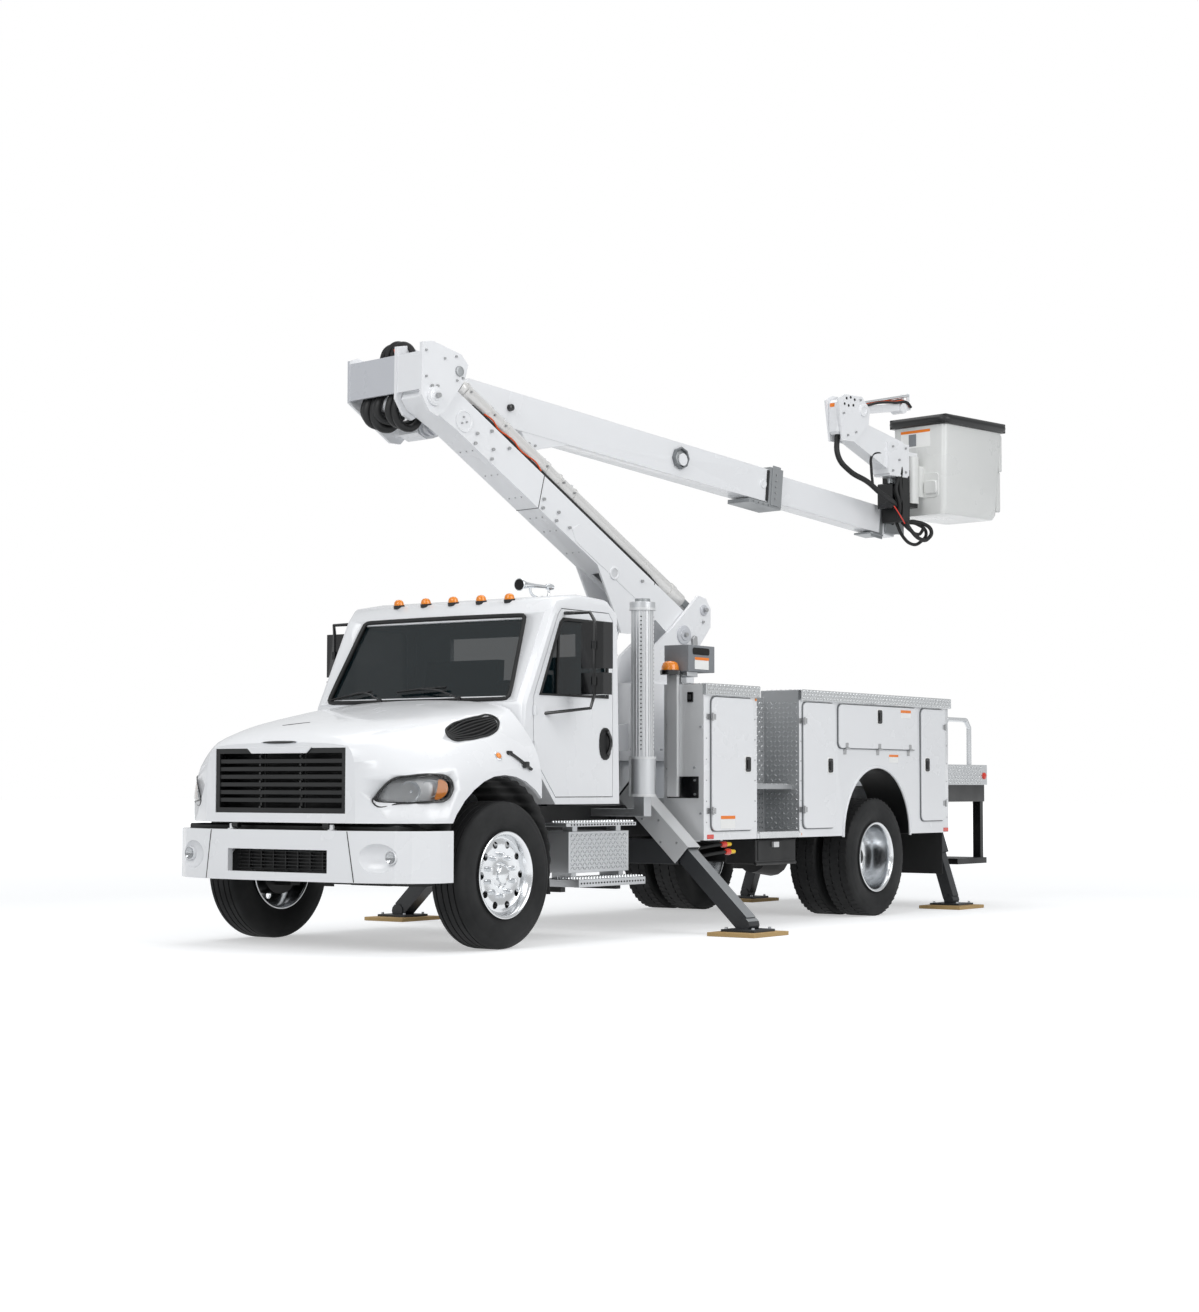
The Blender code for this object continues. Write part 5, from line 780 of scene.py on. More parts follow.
slab("radiator_core", (4.36, -0.70, 0.88), (4.44, 0.70, 1.41), radiator_black, "truck")
slab("radiator_beam", (4.34, -0.98, 0.79), (4.50, 0.98, 0.866), chassis_black, "truck", 0.01)
bars = [((4.452, 0.0, 0.925 + 0.0115 * row), (0, 0, 1)) for row in range(42)]
repeated("radiator_fins", "block", {"Width": 0.02, "Length": 1.16, "Height": 0.0035}, bars, radiator_black,
         "truck")
bolts = [((4.592, 0.19 * turn, 0.985 + 0.0586 * row), (1, 0, 0)) for turn in (-1, 1) for row in range(7)]
repeated("grille_bolts", "stud", {"Sides": 12, "Foot": 0.011, "Head": 0.009, "Height": 0.012}, bolts,
         black_gloss, "hood")
straps = [((4.570, 0.19 * turn, 1.165), (1, 0, 0), (0, 1, 0)) for turn in (-1, 1)]
repeated("grille_straps", "block", {"Width": 0.055, "Length": 0.40, "Height": 0.006}, straps, matt_plastic,
         "hood")
slab("bumper_vent_back", (4.50, -0.46, 0.545), (4.512, 0.46, 0.69), radiator_black, "truck")
bars = [((4.53, 0.0, 0.560 + 0.024 * row), (0, 0, 1)) for row in range(6)]
repeated("bumper_vent_bars", "block", {"Width": 0.02, "Length": 0.92, "Height": 0.006}, bars, matt_plastic,
         "truck")
bars = [((4.53, 0.115 * column, 0.618), (0, 0, 1)) for column in range(-3, 4)]
repeated("bumper_vent_posts", "block", {"Width": 0.022, "Length": 0.008, "Height": 0.14}, bars,
         matt_plastic, "truck")

# Cab fittings
# A bonded windshield in a black rubber gasket with two wipers, framed door windows, looped mirror arms,
# paddle handles, five amber roof lamps and a chromed horn; ribbed liners close the front wheel arches.
def parted(made, name, material, chosen, slot=None):
    """Moves the faces whose middles are chosen to a piece of their own with another finish."""
    body = body_of[made.name.replace("_skin", "")]
    taken = made.data.copy()
    for mesh, wanted in ((taken, True), (made.data, False)):
        cage = bmesh.new()
        cage.from_mesh(mesh)
        spare = [face for face in cage.faces if bool(chosen(face.calc_center_median())) != wanted]
        bmesh.ops.delete(cage, geom=spare, context="FACES")
        cage.to_mesh(mesh)
        cage.free()
    return settled(linked(name, taken), material, body, slot=slot)


rubber_trim = surfaced("extruded_black_rubber", "0c0d0e", 0.6, mottle=0.1)
GLASS_LOW = (AXLE_X - 0.43, 1.74)
GLASS_HIGH = (AXLE_X - 0.77, 2.41)
GLASS_OUT = Vector((0.89, 0, 0.45))


def on_glass(y, z, lift=0.0):
    """A point over the windshield's plane."""
    share = (z - GLASS_LOW[1]) / (GLASS_HIGH[1] - GLASS_LOW[1])
    return Vector((GLASS_LOW[0] + share * (GLASS_HIGH[0] - GLASS_LOW[0]), y, z)) + lift * GLASS_OUT


pane = BVHTree.FromPolygons([on_glass(y, z) for y, z in ((-2, 1.2), (2, 1.2), (2, 3.0), (-2, 3.0))],
                            [(0, 1, 2, 3)])
OPENING_YZ = ((-0.80, 1.757), (0.0, 1.757), (0.80, 1.757), (0.868, 1.765), (0.868, 1.83), (0.825, 2.10),
              (0.79, 2.32),
              (0.775, 2.383), (0.70, 2.388), (0.0, 2.392), (-0.70, 2.388), (-0.775, 2.383), (-0.79, 2.32),
              (-0.825, 2.10),
              (-0.868, 1.83), (-0.868, 1.765))
opening = [on_glass(y, z) for y, z in OPENING_YZ]
corner = [on_glass(y, z) for y, z in ((-0.945, 1.742), (0.945, 1.742), (0.945, 2.405), (-0.945, 2.405))]
surround = wrapped("windshield_surround", corner, GLASS_OUT, pane, 0.006, 0.010, 0.2, 0)
cut_out(surround, wrapped("bite", opening, GLASS_OUT, pane, 0.05, 0.1, 0.2, 1))
settled(surround, gloss_white, "truck")
smoothed = [0.75 * a + 0.25 * b if first else 0.25 * a + 0.75 * b
            for a, b in zip(opening, opening[1:] + opening[:1]) for first in (True, False)]
pipe("windshield_gasket", [spot + GLASS_OUT * 0.006 for spot in smoothed], 0.017, rubber_trim, "truck",
     closed=True)
for number, (tip, heel, pivot) in enumerate((((-0.84, 1.775), (-0.46, 1.835), (-0.33, 1.755)),
                                            ((-0.20, 1.825), (0.26, 1.850), (0.43, 1.757)))):
    middle = ((tip[0] + heel[0]) / 2, (tip[1] + heel[1]) / 2)
    pipe(f"wiper_blade_{number}", [on_glass(*tip, 0.016), on_glass(*middle, 0.020), on_glass(*heel, 0.016)],
         0.007,
         rubber_trim, "truck")
    pipe(f"wiper_spine_{number}", [on_glass(*tip, 0.026), on_glass(*middle, 0.034), on_glass(*heel, 0.026)],
         0.004,
         black_gloss, "truck", smooth=True)
    pipe(f"wiper_arm_{number}",
         [on_glass(*pivot, 0.03), on_glass((pivot[0] + middle[0]) / 2, pivot[1] + 0.055, 0.05),
                                 on_glass(*middle, 0.036)], 0.0065, black_gloss, "truck", smooth=True)
    settled(turned(f"wiper_pivot_{number}", [(-0.02, 0.0), (-0.02, 0.018), (0.018, 0.016), (0.022, 0.0)],
                   on_glass(*pivot, 0.02), GLASS_OUT, 20), black_gloss, "truck")

WINDOW_XZ = ((-0.64, 1.80), (-0.885, 2.33), (-0.92, 2.36), (-1.44, 2.36), (-1.47, 2.32), (-1.48, 1.80))
for name, side in (("left", 1), ("right", -1)):
    door = f"door_{name}"
    parted(bpy.data.objects[f"cab_door_{name}_skin"], f"mirror_{name}", black_gloss,
           lambda spot, side=side: spot.y * side > 1.03 or (spot.z > 2.3 and spot.y * side > 1.006),
           "black_plastic")
    glass_edge = [(AXLE_X + x, side * 1.001, z) for x, z in WINDOW_XZ]
    pipe(f"window_gasket_{name}", glass_edge, 0.014, rubber_trim, door, closed=True)
    pipe(f"window_bar_{name}", [(AXLE_X - 0.86, side * 0.992, 1.80), (AXLE_X - 0.875, side * 0.992, 2.29)],
         0.011,
         rubber_trim, door)
    for number, (low, high) in enumerate(((1.99, 2.33), (1.80, 1.96))):
        glass = [(AXLE_X - 1.062, side * y, z)
                 for y, z in ((1.165, low + 0.015), (1.335, low + 0.015), (1.335, high - 0.015),
                              (1.165, high - 0.015))]
        back = BVHTree.FromPolygons([(AXLE_X - 1.0605, y, z)
                                     for y, z in ((-2, 1), (2, 1), (2, 3), (-2, 3))], [(0, 1, 2, 3)])
        settled(wrapped(f"mirror_glass_{number}_{name}", glass, (-1, 0, 0), back, 0.002, 0.003, 0.1, 1),
                mirror_chrome, door)
    for number, z in enumerate((1.90, 2.16)):
        settled(turned(f"mirror_clamp_{number}_{name}",
                       [(-0.03, 0.0), (-0.03, 0.024), (0.03, 0.024), (0.03, 0.0)],
                       (AXLE_X - 0.94, side * 1.27, z), (0, 0, 1), 16), black_gloss, door)
    door_face = surface_of(bpy.data.objects[f"cab_door_{name}_skin"])
    plate = [(x, side * 1.0, z) for x, z in ((2.215, 1.33), (2.215, 1.57), (2.065, 1.57), (2.065, 1.33))]
    cup = wrapped(f"handle_cup_{name}", plate, (0, side, 0), door_face, 0.006, 0.012, 0.05, 2)
    cut_out(cup, wrapped("bite", grown(plate, 0.78), (0, side, 0), door_face, 0.03, 0.026, 0.05, 2))
    settled(cup, matt_plastic, door)
    pipe(f"handle_grip_{name}",
         [(2.118, side * 1.006, 1.375), (2.110, side * 1.026, 1.42), (2.110, side * 1.026, 1.50),
                                (2.118, side * 1.006, 1.54)], 0.014, black_gloss, door, smooth=True)
    liner = bmesh.new()
    ribs = []
    for step in range(121):
        angle = math.radians(-8 + 200 * step / 120)
        radius = 0.603 - 0.006 * (1 + math.sin(step * math.tau / 6))
        x, z = AXLE_X + radius * math.cos(angle), 0.6 + radius * math.sin(angle)
        inside = 0.95 - 0.33 * min(1.0, max(0.0, (z - 0.82) / 0.14))
        ribs.append([liner.verts.new((x, side * y, z)) for y in (inside, 1.13)])
    x = AXLE_X - 0.60
    ribs.append([liner.verts.new((x, side * y, 0.36)) for y in (0.95, 1.13)])
    for (a, b), (c, d) in zip(ribs, ribs[1:]):
        liner.faces.new((a, b, d, c))
    mesh = mesh_of(liner, f"arch_liner_{name}")
    mesh.shade_smooth()
    made = linked(f"arch_liner_{name}", mesh)
    wall = made.modifiers.new("wall", "SOLIDIFY")
    wall.thickness = 0.006
    settled(made, matt_plastic, "hood")

cab_face = surface_of(bpy.data.objects["cab_shell_skin"])
for number, y in enumerate((-0.54, -0.27, 0.0, 0.27, 0.54)):
    seat = cab_face.ray_cast(Vector((AXLE_X - 0.87, y, 3.0)), Vector((0, 0, -1)))[0]
    foot = turned(f"roof_lamp_foot_{number}",
                  [(-0.015, 0.0), (-0.015, 0.043), (0.010, 0.043), (0.012, 0.040), (0.012, 0.0)],
                  seat, (0.12, 0, 1))
    settled(foot, matt_plastic, "truck")
    dome = turned(f"roof_lamp_{number}",
                  [(0.010, 0.0), (0.010, 0.039), (0.024, 0.038), (0.040, 0.033), (0.052, 0.020),
                                          (0.056, 0.0)], seat, (0.12, 0, 1))
    settled(dome, amber_plastic, "truck")
HORN = Vector((2.49, 0.45, 2.655))
trumpet = turned("horn_trumpet",
                 [(0.0, 0.0), (0.0, 0.048), (0.004, 0.050), (0.012, 0.047), (0.05, 0.033), (0.10, 0.023),
                                  (0.20, 0.016), (0.34, 0.012), (0.35, 0.022), (0.39, 0.026), (0.42, 0.020),
                                  (0.43, 0.0)],
                 HORN, (-1, 0, 0.02))
settled(trumpet, mirror_chrome, "truck")
pipe("horn_bracket", [(2.36, 0.45, 2.650), (2.34, 0.45, 2.60), (2.28, 0.45, 2.575), (2.16, 0.45, 2.572),
                      (2.12, 0.45, 2.60),
                      (2.12, 0.45, 2.650)], 0.010, mirror_chrome, "truck", smooth=True)
settled(turned("horn_foot", [(-0.03, 0.0), (-0.03, 0.032), (0.02, 0.026), (0.03, 0.0)], (2.20, 0.45, 2.56),
               (0, 0, 1)),
        mirror_chrome, "truck")
# A dark disc in the horn's mouth, painted shade
settled(turned("horn_bell_hole", [(-0.003, 0.0), (-0.003, 0.042), (0.001, 0.042), (0.001, 0.0)], HORN,
               (-1, 0, 0)),
        seam_shadow, "truck")
parted(bpy.data.objects["hood_shell_skin"], "hood_hinge_arms", chassis_black,
       lambda spot: spot.z < 0.886 and spot.x > 4.55 and abs(spot.y) < 0.56, "black_paint")

# Service body: lockers, steps, exhaust and tail
# Sheet aluminium lockers sprayed white, with proud doors on stainless hinges and black paddle latches;
# caps, step well, step boxes and tail shelf in aluminium tread plate, the step well's sheet a darker grey as
# painted shade; a ribbed exhaust shield behind the cab.
tread_aluminium = surfaced("bright_tread_plate", "dcdedf", 0.24, metallic=1.0, ripple=0.12, ripple_mm=30,
                           mottle=0.12,
                           blend=0.001)
# Painted shade: the step well's sheet is a darker grey than the caps' plate, standing for the shade in the
# recess
well_sheet_painted_shade = surfaced("shaded_aluminium_sheet", "b2b4b6", 0.40, metallic=0.45, mottle=0.15)
satin_aluminium = surfaced("satin_mill_aluminium", "dcddde", 0.42, metallic=0.35, ripple=0.05, ripple_mm=60,
                           mottle=0.1,
                           blend=0.002)
# Painted shade: a grey band round each proud door stands for the shade along the door's edge
door_edge_shade = surfaced("grey_rubber_door_seal", "6f7275", 0.6, mottle=0.1)
stainless = surfaced("stainless_steel_fitting", "b5b6b7", 0.30, metallic=0.9, mottle=0.12)
red_reflector = surfaced("red_reflector_lens", "e0301a", 0.18, coat=0.5)
orange_film = surfaced("orange_printed_film", "f5821e", 0.35)
white_film = surfaced("blank_white_film", "f6f6f4", 0.4)
grey_case = surfaced("cast_grey_enamel", "84878b", 0.45, ripple=0.1, ripple_mm=10, mottle=0.1, blend=0.001)
yellow_cap = surfaced("yellow_hose_cap", "f2c811", 0.4)
tan_plywood = surfaced("laminated_plywood", "cdab74", 0.6, ripple=0.2, ripple_mm=8, mottle=0.35,
                       blend=0.001)
BODY_HALF = 1.22
PANEL_Y = BODY_HALF - 0.022
INNER_Y = 0.82
BODY_TOP = 1.94
CABINET_X = (AXLE_X - 2.51, AXLE_X - 3.30)
LOCKER_X = (AXLE_X - 3.97, AXLE_X - 6.66)
ARCH_Z = 0.70
ARCH_RADIUS = 0.60
FRONT_LEG_X = AXLE_X - 2.32
REAR_LEG_X = AXLE_X - 6.86
SLEEVE_HEAD = (0.62, 1.12)
SLEEVE_FOOT = (1.72, 0.08)


def skin(node):
    """The dressed piece that stands for a CAD node."""
    return bpy.data.objects[f"{node}_skin"]


def chequered(name, corner, along, up, size, body, pitch=0.040, material=tread_aluminium):
    """Raised lozenges, turned alternately, over a rectangle from a corner along two directions."""
    along, up = Vector(along).normalized(), Vector(up).normalized()
    out = along.cross(up)
    columns, rows = max(1, int(size[0] / pitch)), max(1, int(size[1] / pitch))
    start = Vector(corner) + along * (size[0] - (columns - 1) * pitch) / 2
    start += up * (size[1] - (rows - 1) * pitch) / 2
    spots = [(start + along * (pitch * i) + up * (pitch * j) + out * 0.001, out,
              along + up * (1 if (i + j) % 2 else -1))
             for i in range(columns) for j in range(rows)]
    return repeated(name, "stud",
                    {"Sides": 4, "Foot": 0.0058, "Head": 0.0032, "Height": 0.0045, "Stretch": 3.2}, spots,
                    material, body)


def round_corners(across_span, up_span, radius, steps):
    """The outline of a rectangle with round corners, as (across, up) points."""
    low, high = sorted(across_span)
    foot, head = sorted(up_span)
    rim = []
    for centre, middle, first in ((high - radius, head - radius, 0), (low + radius, head - radius, 1),
                                  (low + radius, foot + radius, 2), (high - radius, foot + radius, 3)):
        for step in range(steps + 1):
            angle = math.pi / 2 * (first + step / steps)
            rim.append((centre + radius * math.cos(angle), middle + radius * math.sin(angle)))
    return rim


def plate_of(name, outline, push, width, segments):
    """A plate with an outline and a thickness given as a direction, its edges rounded."""
    cage = bmesh.new()
    face = cage.faces.new([cage.verts.new(spot) for spot in outline])
    pushed = bmesh.ops.extrude_face_region(cage, geom=[face])
    bmesh.ops.translate(cage, vec=push,
                        verts=[item for item in pushed["geom"] if isinstance(item, bmesh.types.BMVert)])
    bmesh.ops.recalc_face_normals(cage, faces=cage.faces)
    made = linked(name, mesh_of(cage, name))
    edge = made.modifiers.new("edges", "BEVEL")
    edge.width = width
    edge.segments = segments
    edge.limit_method = "ANGLE"
    edge.harden_normals = True
    made.data.shade_smooth()
    made.data.set_sharp_from_angle(angle=math.radians(40))
    return made


def panel(name, x_span, z_span, y_span, side, radius, material, body, *stands_for, bevel=0.004, slot=None):
    """A flat panel on the truck's side with round corners, between two distances from the middle."""
    outline = [(x, side * y_span[0], z) for x, z in round_corners(x_span, z_span, radius, 6)]
    made = plate_of(name, outline, (0, side * (y_span[1] - y_span[0]), 0), bevel, 2)
    return settled(made, material, body, *stands_for, slot=slot)


DOORS = (
    # name, front x, rear x, low z, high z, hinge edge
    ("front_cabinet", -2.60, -3.22, 0.78, 1.84, "front"),
    ("front_locker", -4.01, -4.54, 0.78, 1.84, "front"),
    ("drop_locker", -4.60, -6.02, 1.46, 1.84, "low"),
    ("rear_locker", -6.10, -6.56, 0.82, 1.84, "rear"),
)
for name, side in (("left", 1), ("right", -1)):
    box_skin = skin(f"locker_body_{name}")
    parted(box_skin, f"locker_caps_{name}", tread_aluminium, lambda spot: spot.z > BODY_TOP - 0.045,
           "tread_plate")
    # The step well's faces take the darker sheet: painted shade for the recess
    parted(box_skin, f"step_well_{name}", well_sheet_painted_shade,
           lambda spot: LOCKER_X[0] - 0.01 < spot.x < CABINET_X[1] + 0.01 and abs(spot.y) < PANEL_Y - 0.01,
           "tread_plate")
    parted(box_skin, f"rear_arch_{name}", chassis_black,
           lambda spot: math.hypot(spot.x - REAR_AXLE_X, spot.z - ARCH_Z) < ARCH_RADIUS + 0.01
           and abs(spot.y) < PANEL_Y - 0.01,
           "black_paint")
    parted(box_skin, f"cabinet_front_{name}", satin_aluminium,
           lambda spot: spot.x > CABINET_X[0] - 0.01 and abs(spot.y) < PANEL_Y - 0.01, "tread_plate")
    for door, front, rear, low, high, edge in DOORS:
        body = f"{door}_lid_{name}"
        x0, x1 = AXLE_X + rear + 0.003, AXLE_X + front - 0.003
        panel(f"{door}_panel_{name}", (x0, x1), (low + 0.003, high - 0.003), (PANEL_Y + 0.008, BODY_HALF),
              side, 0.05,
              gloss_white, body, f"{door}_door_{name}", slot="white_paint")
        # A grey band just outside the door's outline: painted shade along the door's edge
        panel(f"{door}_seal_{name}", (x0 - 0.007, x1 + 0.007), (low - 0.004, high + 0.004),
              (PANEL_Y - 0.004, PANEL_Y + 0.009),
              side, 0.055, door_edge_shade, "truck", bevel=0.003)
        if edge == "low":
            latch_x, latch_z = (x0 + x1) / 2, high - 0.095
            knuckles = [((x1 + (x0 - x1) * share, low), (1, 0, 0)) for share in (0.09, 0.5, 0.9)]
        elif edge == "front":
            latch_x, latch_z = x0 + 0.095, (low + high) / 2
            knuckles = [((x1 + 0.003, z), (0, 0, 1)) for z in (low + 0.16, high - 0.16)]
        else:
            latch_x, latch_z = x1 - 0.095, (low + high) / 2
            knuckles = [((x0 - 0.003, z), (0, 0, 1)) for z in (low + 0.16, high - 0.16)]
        panel(f"{door}_latch_plate_{name}", (latch_x - 0.047, latch_x + 0.047),
              (latch_z - 0.068, latch_z + 0.068),
              (BODY_HALF - 0.002, BODY_HALF + 0.004), side, 0.02, white_film, body, bevel=0.002)
        panel(f"{door}_latch_cup_{name}", (latch_x - 0.038, latch_x + 0.038),
              (latch_z - 0.060, latch_z + 0.060),
              (BODY_HALF + 0.001, BODY_HALF + 0.010), side, 0.018, black_gloss, body, bevel=0.003)
        panel(f"{door}_latch_paddle_{name}", (latch_x - 0.022, latch_x + 0.022),
              (latch_z - 0.040, latch_z + 0.036),
              (BODY_HALF + 0.009, BODY_HALF + 0.016), side, 0.010, matt_plastic, body, bevel=0.003)
        for number, ((x, z), along) in enumerate(knuckles):
            barrel = turned(f"{door}_hinge_{number}_{name}",
                            [(-0.032, 0.0), (-0.032, 0.009), (0.032, 0.009), (0.032, 0.0)],
                            (x, side * (BODY_HALF + 0.006), z), along, 12)
            settled(barrel, stainless, body)
            inward = Vector((-1 if edge == "front" else 1, 0, 0)) if along[2] else Vector((0, 0, 1))
            middle = Vector((x, side * (BODY_HALF + 0.002), z)) + inward * 0.026
            half = Vector((0.022, 0.002, 0.022))
            slab(f"{door}_hinge_leaf_{number}_{name}", middle - half, middle + half, stainless, body, 0.001)
            middle = Vector((x, side * (PANEL_Y + 0.003), z)) - inward * 0.030
            slab(f"{door}_hinge_foot_{number}_{name}", middle - half, middle + half, stainless, "truck",
                 0.001)
    for part, (front, rear) in (("cabinet", CABINET_X), ("locker", LOCKER_X)):
        low = Vector((rear - 0.008, side * (PANEL_Y - 0.01), BODY_TOP - 0.088))
        high = Vector((front + 0.008, side * (BODY_HALF + 0.010), BODY_TOP + 0.003))
        slab(f"{part}_cap_skirt_{name}", low, high, tread_aluminium, "truck", 0.006)
        chequered(f"{part}_cap_lozenges_{name}",
                  (front if side > 0 else rear, side * (BODY_HALF + 0.010), BODY_TOP - 0.085),
                  (-side, 0, 0), (0, 0, 1), (front - rear, 0.085), "truck", 0.028)
        chequered(f"{part}_top_lozenges_{name}",
                  (rear, side * INNER_Y if side > 0 else -BODY_HALF, BODY_TOP), (1, 0, 0),
                  (0, 1, 0), (front - rear, BODY_HALF - INNER_Y), "truck", 0.045)
    well = CABINET_X[1] - LOCKER_X[0]
    wide = PANEL_Y - INNER_Y - 0.03
    chequered(f"well_back_lozenges_{name}",
              (CABINET_X[1] if side > 0 else LOCKER_X[0], side * (INNER_Y + 0.030), 0.76),
              (-side, 0, 0), (0, 0, 1), (well, 1.10), "truck")
    for edge, x, way in (("front", CABINET_X[1], -1), ("rear", LOCKER_X[0], 1)):
        y = INNER_Y + 0.03 if side * way > 0 else PANEL_Y
        chequered(f"well_{edge}_lozenges_{name}", (x, side * y, 0.76), (0, way, 0), (0, 0, 1), (wide, 1.10),
                  "truck")
    for number, (z, reach) in enumerate(((0.75, BODY_HALF - 0.01), (1.15, BODY_HALF - 0.10))):
        chequered(f"well_step_lozenges_{number}_{name}",
                  (LOCKER_X[0], side * (INNER_Y + 0.03) if side > 0 else -reach, z),
                  (1, 0, 0), (0, 1, 0), (well, reach - INNER_Y - 0.03), "truck")
    slab(f"well_kerb_{name}", (LOCKER_X[0] + 0.05, side * (BODY_HALF - 0.012), 0.712),
         (CABINET_X[1] - 0.01, side * (BODY_HALF + 0.002), 0.765), tread_aluminium, "truck", 0.003)
    arch = [(REAR_AXLE_X + (ARCH_RADIUS + 0.004) * math.cos(angle), side * (PANEL_Y + 0.002),
             ARCH_Z + (ARCH_RADIUS + 0.004) * math.sin(angle))
             for angle in (math.pi * step / 32 for step in range(33))]
    pipe(f"rear_arch_lip_{name}", arch, 0.013, gloss_white, "truck", slot="white_paint")
    slab(f"mud_flap_{name}", (AXLE_X - 6.548, side * 0.66, 0.33), (AXLE_X - 6.540, side * 1.19, 0.705),
         rubber_trim,
         "truck", 0.002)
    slab(f"mud_flap_bar_{name}", (AXLE_X - 6.560, side * 0.60, 0.675), (AXLE_X - 6.548, side * 1.19, 0.705),
         chassis_black,
         "truck", 0.002)
    for number, (x, z) in enumerate(((AXLE_X - 2.60, 0.737), (AXLE_X - 6.60, 0.737))):
        panel(f"side_reflector_{number}_{name}", (x - 0.045, x + 0.045), (z - 0.017, z + 0.017),
              (PANEL_Y - 0.001, PANEL_Y + 0.006),
              side, 0.005, red_reflector, "truck", bevel=0.002)
    for number, (x, z) in enumerate(((CABINET_X[1] + 0.020, 1.835), (LOCKER_X[0] - 0.018, 0.735))):
        lamp = turned(f"side_marker_{number}_{name}",
                      [(-0.002, 0.0), (-0.002, 0.013), (0.006, 0.011), (0.010, 0.0)],
                      (x, side * PANEL_Y, z), (0, side, 0), 16)
        settled(lamp, amber_plastic, "truck")
    patches = (
        # name, x span, z span, height of the orange strip, body, face
        ("cabinet", (AXLE_X - 2.720, AXLE_X - 2.930), (0.800, 0.900), 0.026, f"front_cabinet_lid_{name}",
         BODY_HALF),
        ("drop", (AXLE_X - 5.700, AXLE_X - 5.890), (1.745, 1.815), 0.024, f"drop_locker_lid_{name}",
         BODY_HALF),
        ("arch", (AXLE_X - 5.520, AXLE_X - 5.690), (1.345, 1.415), 0.020, "truck", PANEL_Y),
    )
    for label, x_span, (z0, z1), strip, body, face in patches:
        panel(f"{label}_patch_{name}", x_span, (z0, z1), (face - 0.001, face + 0.0015), side, 0.004,
              white_film, body,
              bevel=0.0004)
        panel(f"{label}_patch_strip_{name}", x_span, (z1 - strip, z1), (face + 0.0005, face + 0.0025), side,
              0.003,
              orange_film, body, bevel=0.0004)
    rivets = [((x, side * (PANEL_Y + 0.001), z), (0, side, 0)) for x, z in
              [(AXLE_X - back, 0.85 + 0.165 * row) for back in (6.625, 3.265, 2.545, 3.99)
               for row in range(6)]]
    repeated(f"body_rivets_{name}", "stud", {"Sides": 10, "Foot": 0.006, "Head": 0.004, "Height": 0.004},
             rivets, stainless,
             "truck")
    slab(f"under_well_box_{name}", (AXLE_X - 3.95, side * 0.88, 0.50), (AXLE_X - 3.32, side * 1.17, 0.700),
         chassis_black, "truck", 0.006)
    slab(f"under_well_cover_{name}", (AXLE_X - 3.93, side * 1.168, 0.530),
         (AXLE_X - 3.35, side * 1.176, 0.690), matt_plastic,
         "truck", 0.003)
    slab(f"under_well_socket_{name}", (AXLE_X - 3.64, side * 1.174, 0.635),
         (AXLE_X - 3.56, side * 1.200, 0.680), satin_aluminium,
         "truck", 0.003)
    pipe(f"under_well_roll_{name}",
         [(AXLE_X - 3.95, side * 1.165, 0.505), (AXLE_X - 3.32, side * 1.165, 0.505)], 0.014,
         chassis_black, "truck")
    front = CABINET_X[0]
    across = (INNER_Y + 0.03, 1.15)
    slab(f"cabinet_hatch_{name}", (front - 0.002, side * across[0], 1.04),
         (front + 0.006, side * across[1], 1.21), black_gloss,
         "truck", 0.002)
    slab(f"cabinet_switch_{name}", (front - 0.002, side * 1.045, 1.795),
         (front + 0.010, side * 1.100, 1.875), black_gloss,
         "truck", 0.004)
    slab(f"cabinet_rocker_{name}", (front + 0.008, side * 1.060, 1.815),
         (front + 0.018, side * 1.085, 1.855), matt_plastic,
         "truck", 0.003)
    bolts = [((front + 0.001, side * y, z), (1, 0, 0))
             for y, z in ((0.86, 1.62), (0.86, 1.27), (1.11, 1.28), (1.17, 1.60), (0.86, 0.92), (1.17, 0.92))]
    bolts += [((front + 0.006, side * 1.12, z), (1, 0, 0)) for z in (1.07, 1.18)]
    repeated(f"cabinet_bolts_{name}", "stud", {"Sides": 6, "Foot": 0.010, "Head": 0.009, "Height": 0.010},
             bolts, plated_steel,
             "truck")
    steps = (
        # name, height of the holes, outer face, rear x, front x, depth, top
        ("upper", 0.853, 1.19, AXLE_X - 1.58, AXLE_X - 0.72, 0.20, 0.866),
        ("lower", 0.4275, 1.20, AXLE_X - 1.69, AXLE_X - 0.86, 0.30, 0.455),
    )
    for part, z, near, x0, x1, depth, top in steps:
        count = int((x1 - x0) / 0.036)
        teeth = [((x0 + 0.036 * (i + 0.5), side * (near - 0.018 - 0.05 * row), top + 0.003), (0, 0, 1))
                 for i in range(count) for row in range(int(depth / 0.05))]
        repeated(f"{part}_step_teeth_{name}", "stud",
                 {"Sides": 12, "Foot": 0.013, "Head": 0.008, "Height": 0.012}, teeth,
                 tread_aluminium, "truck")
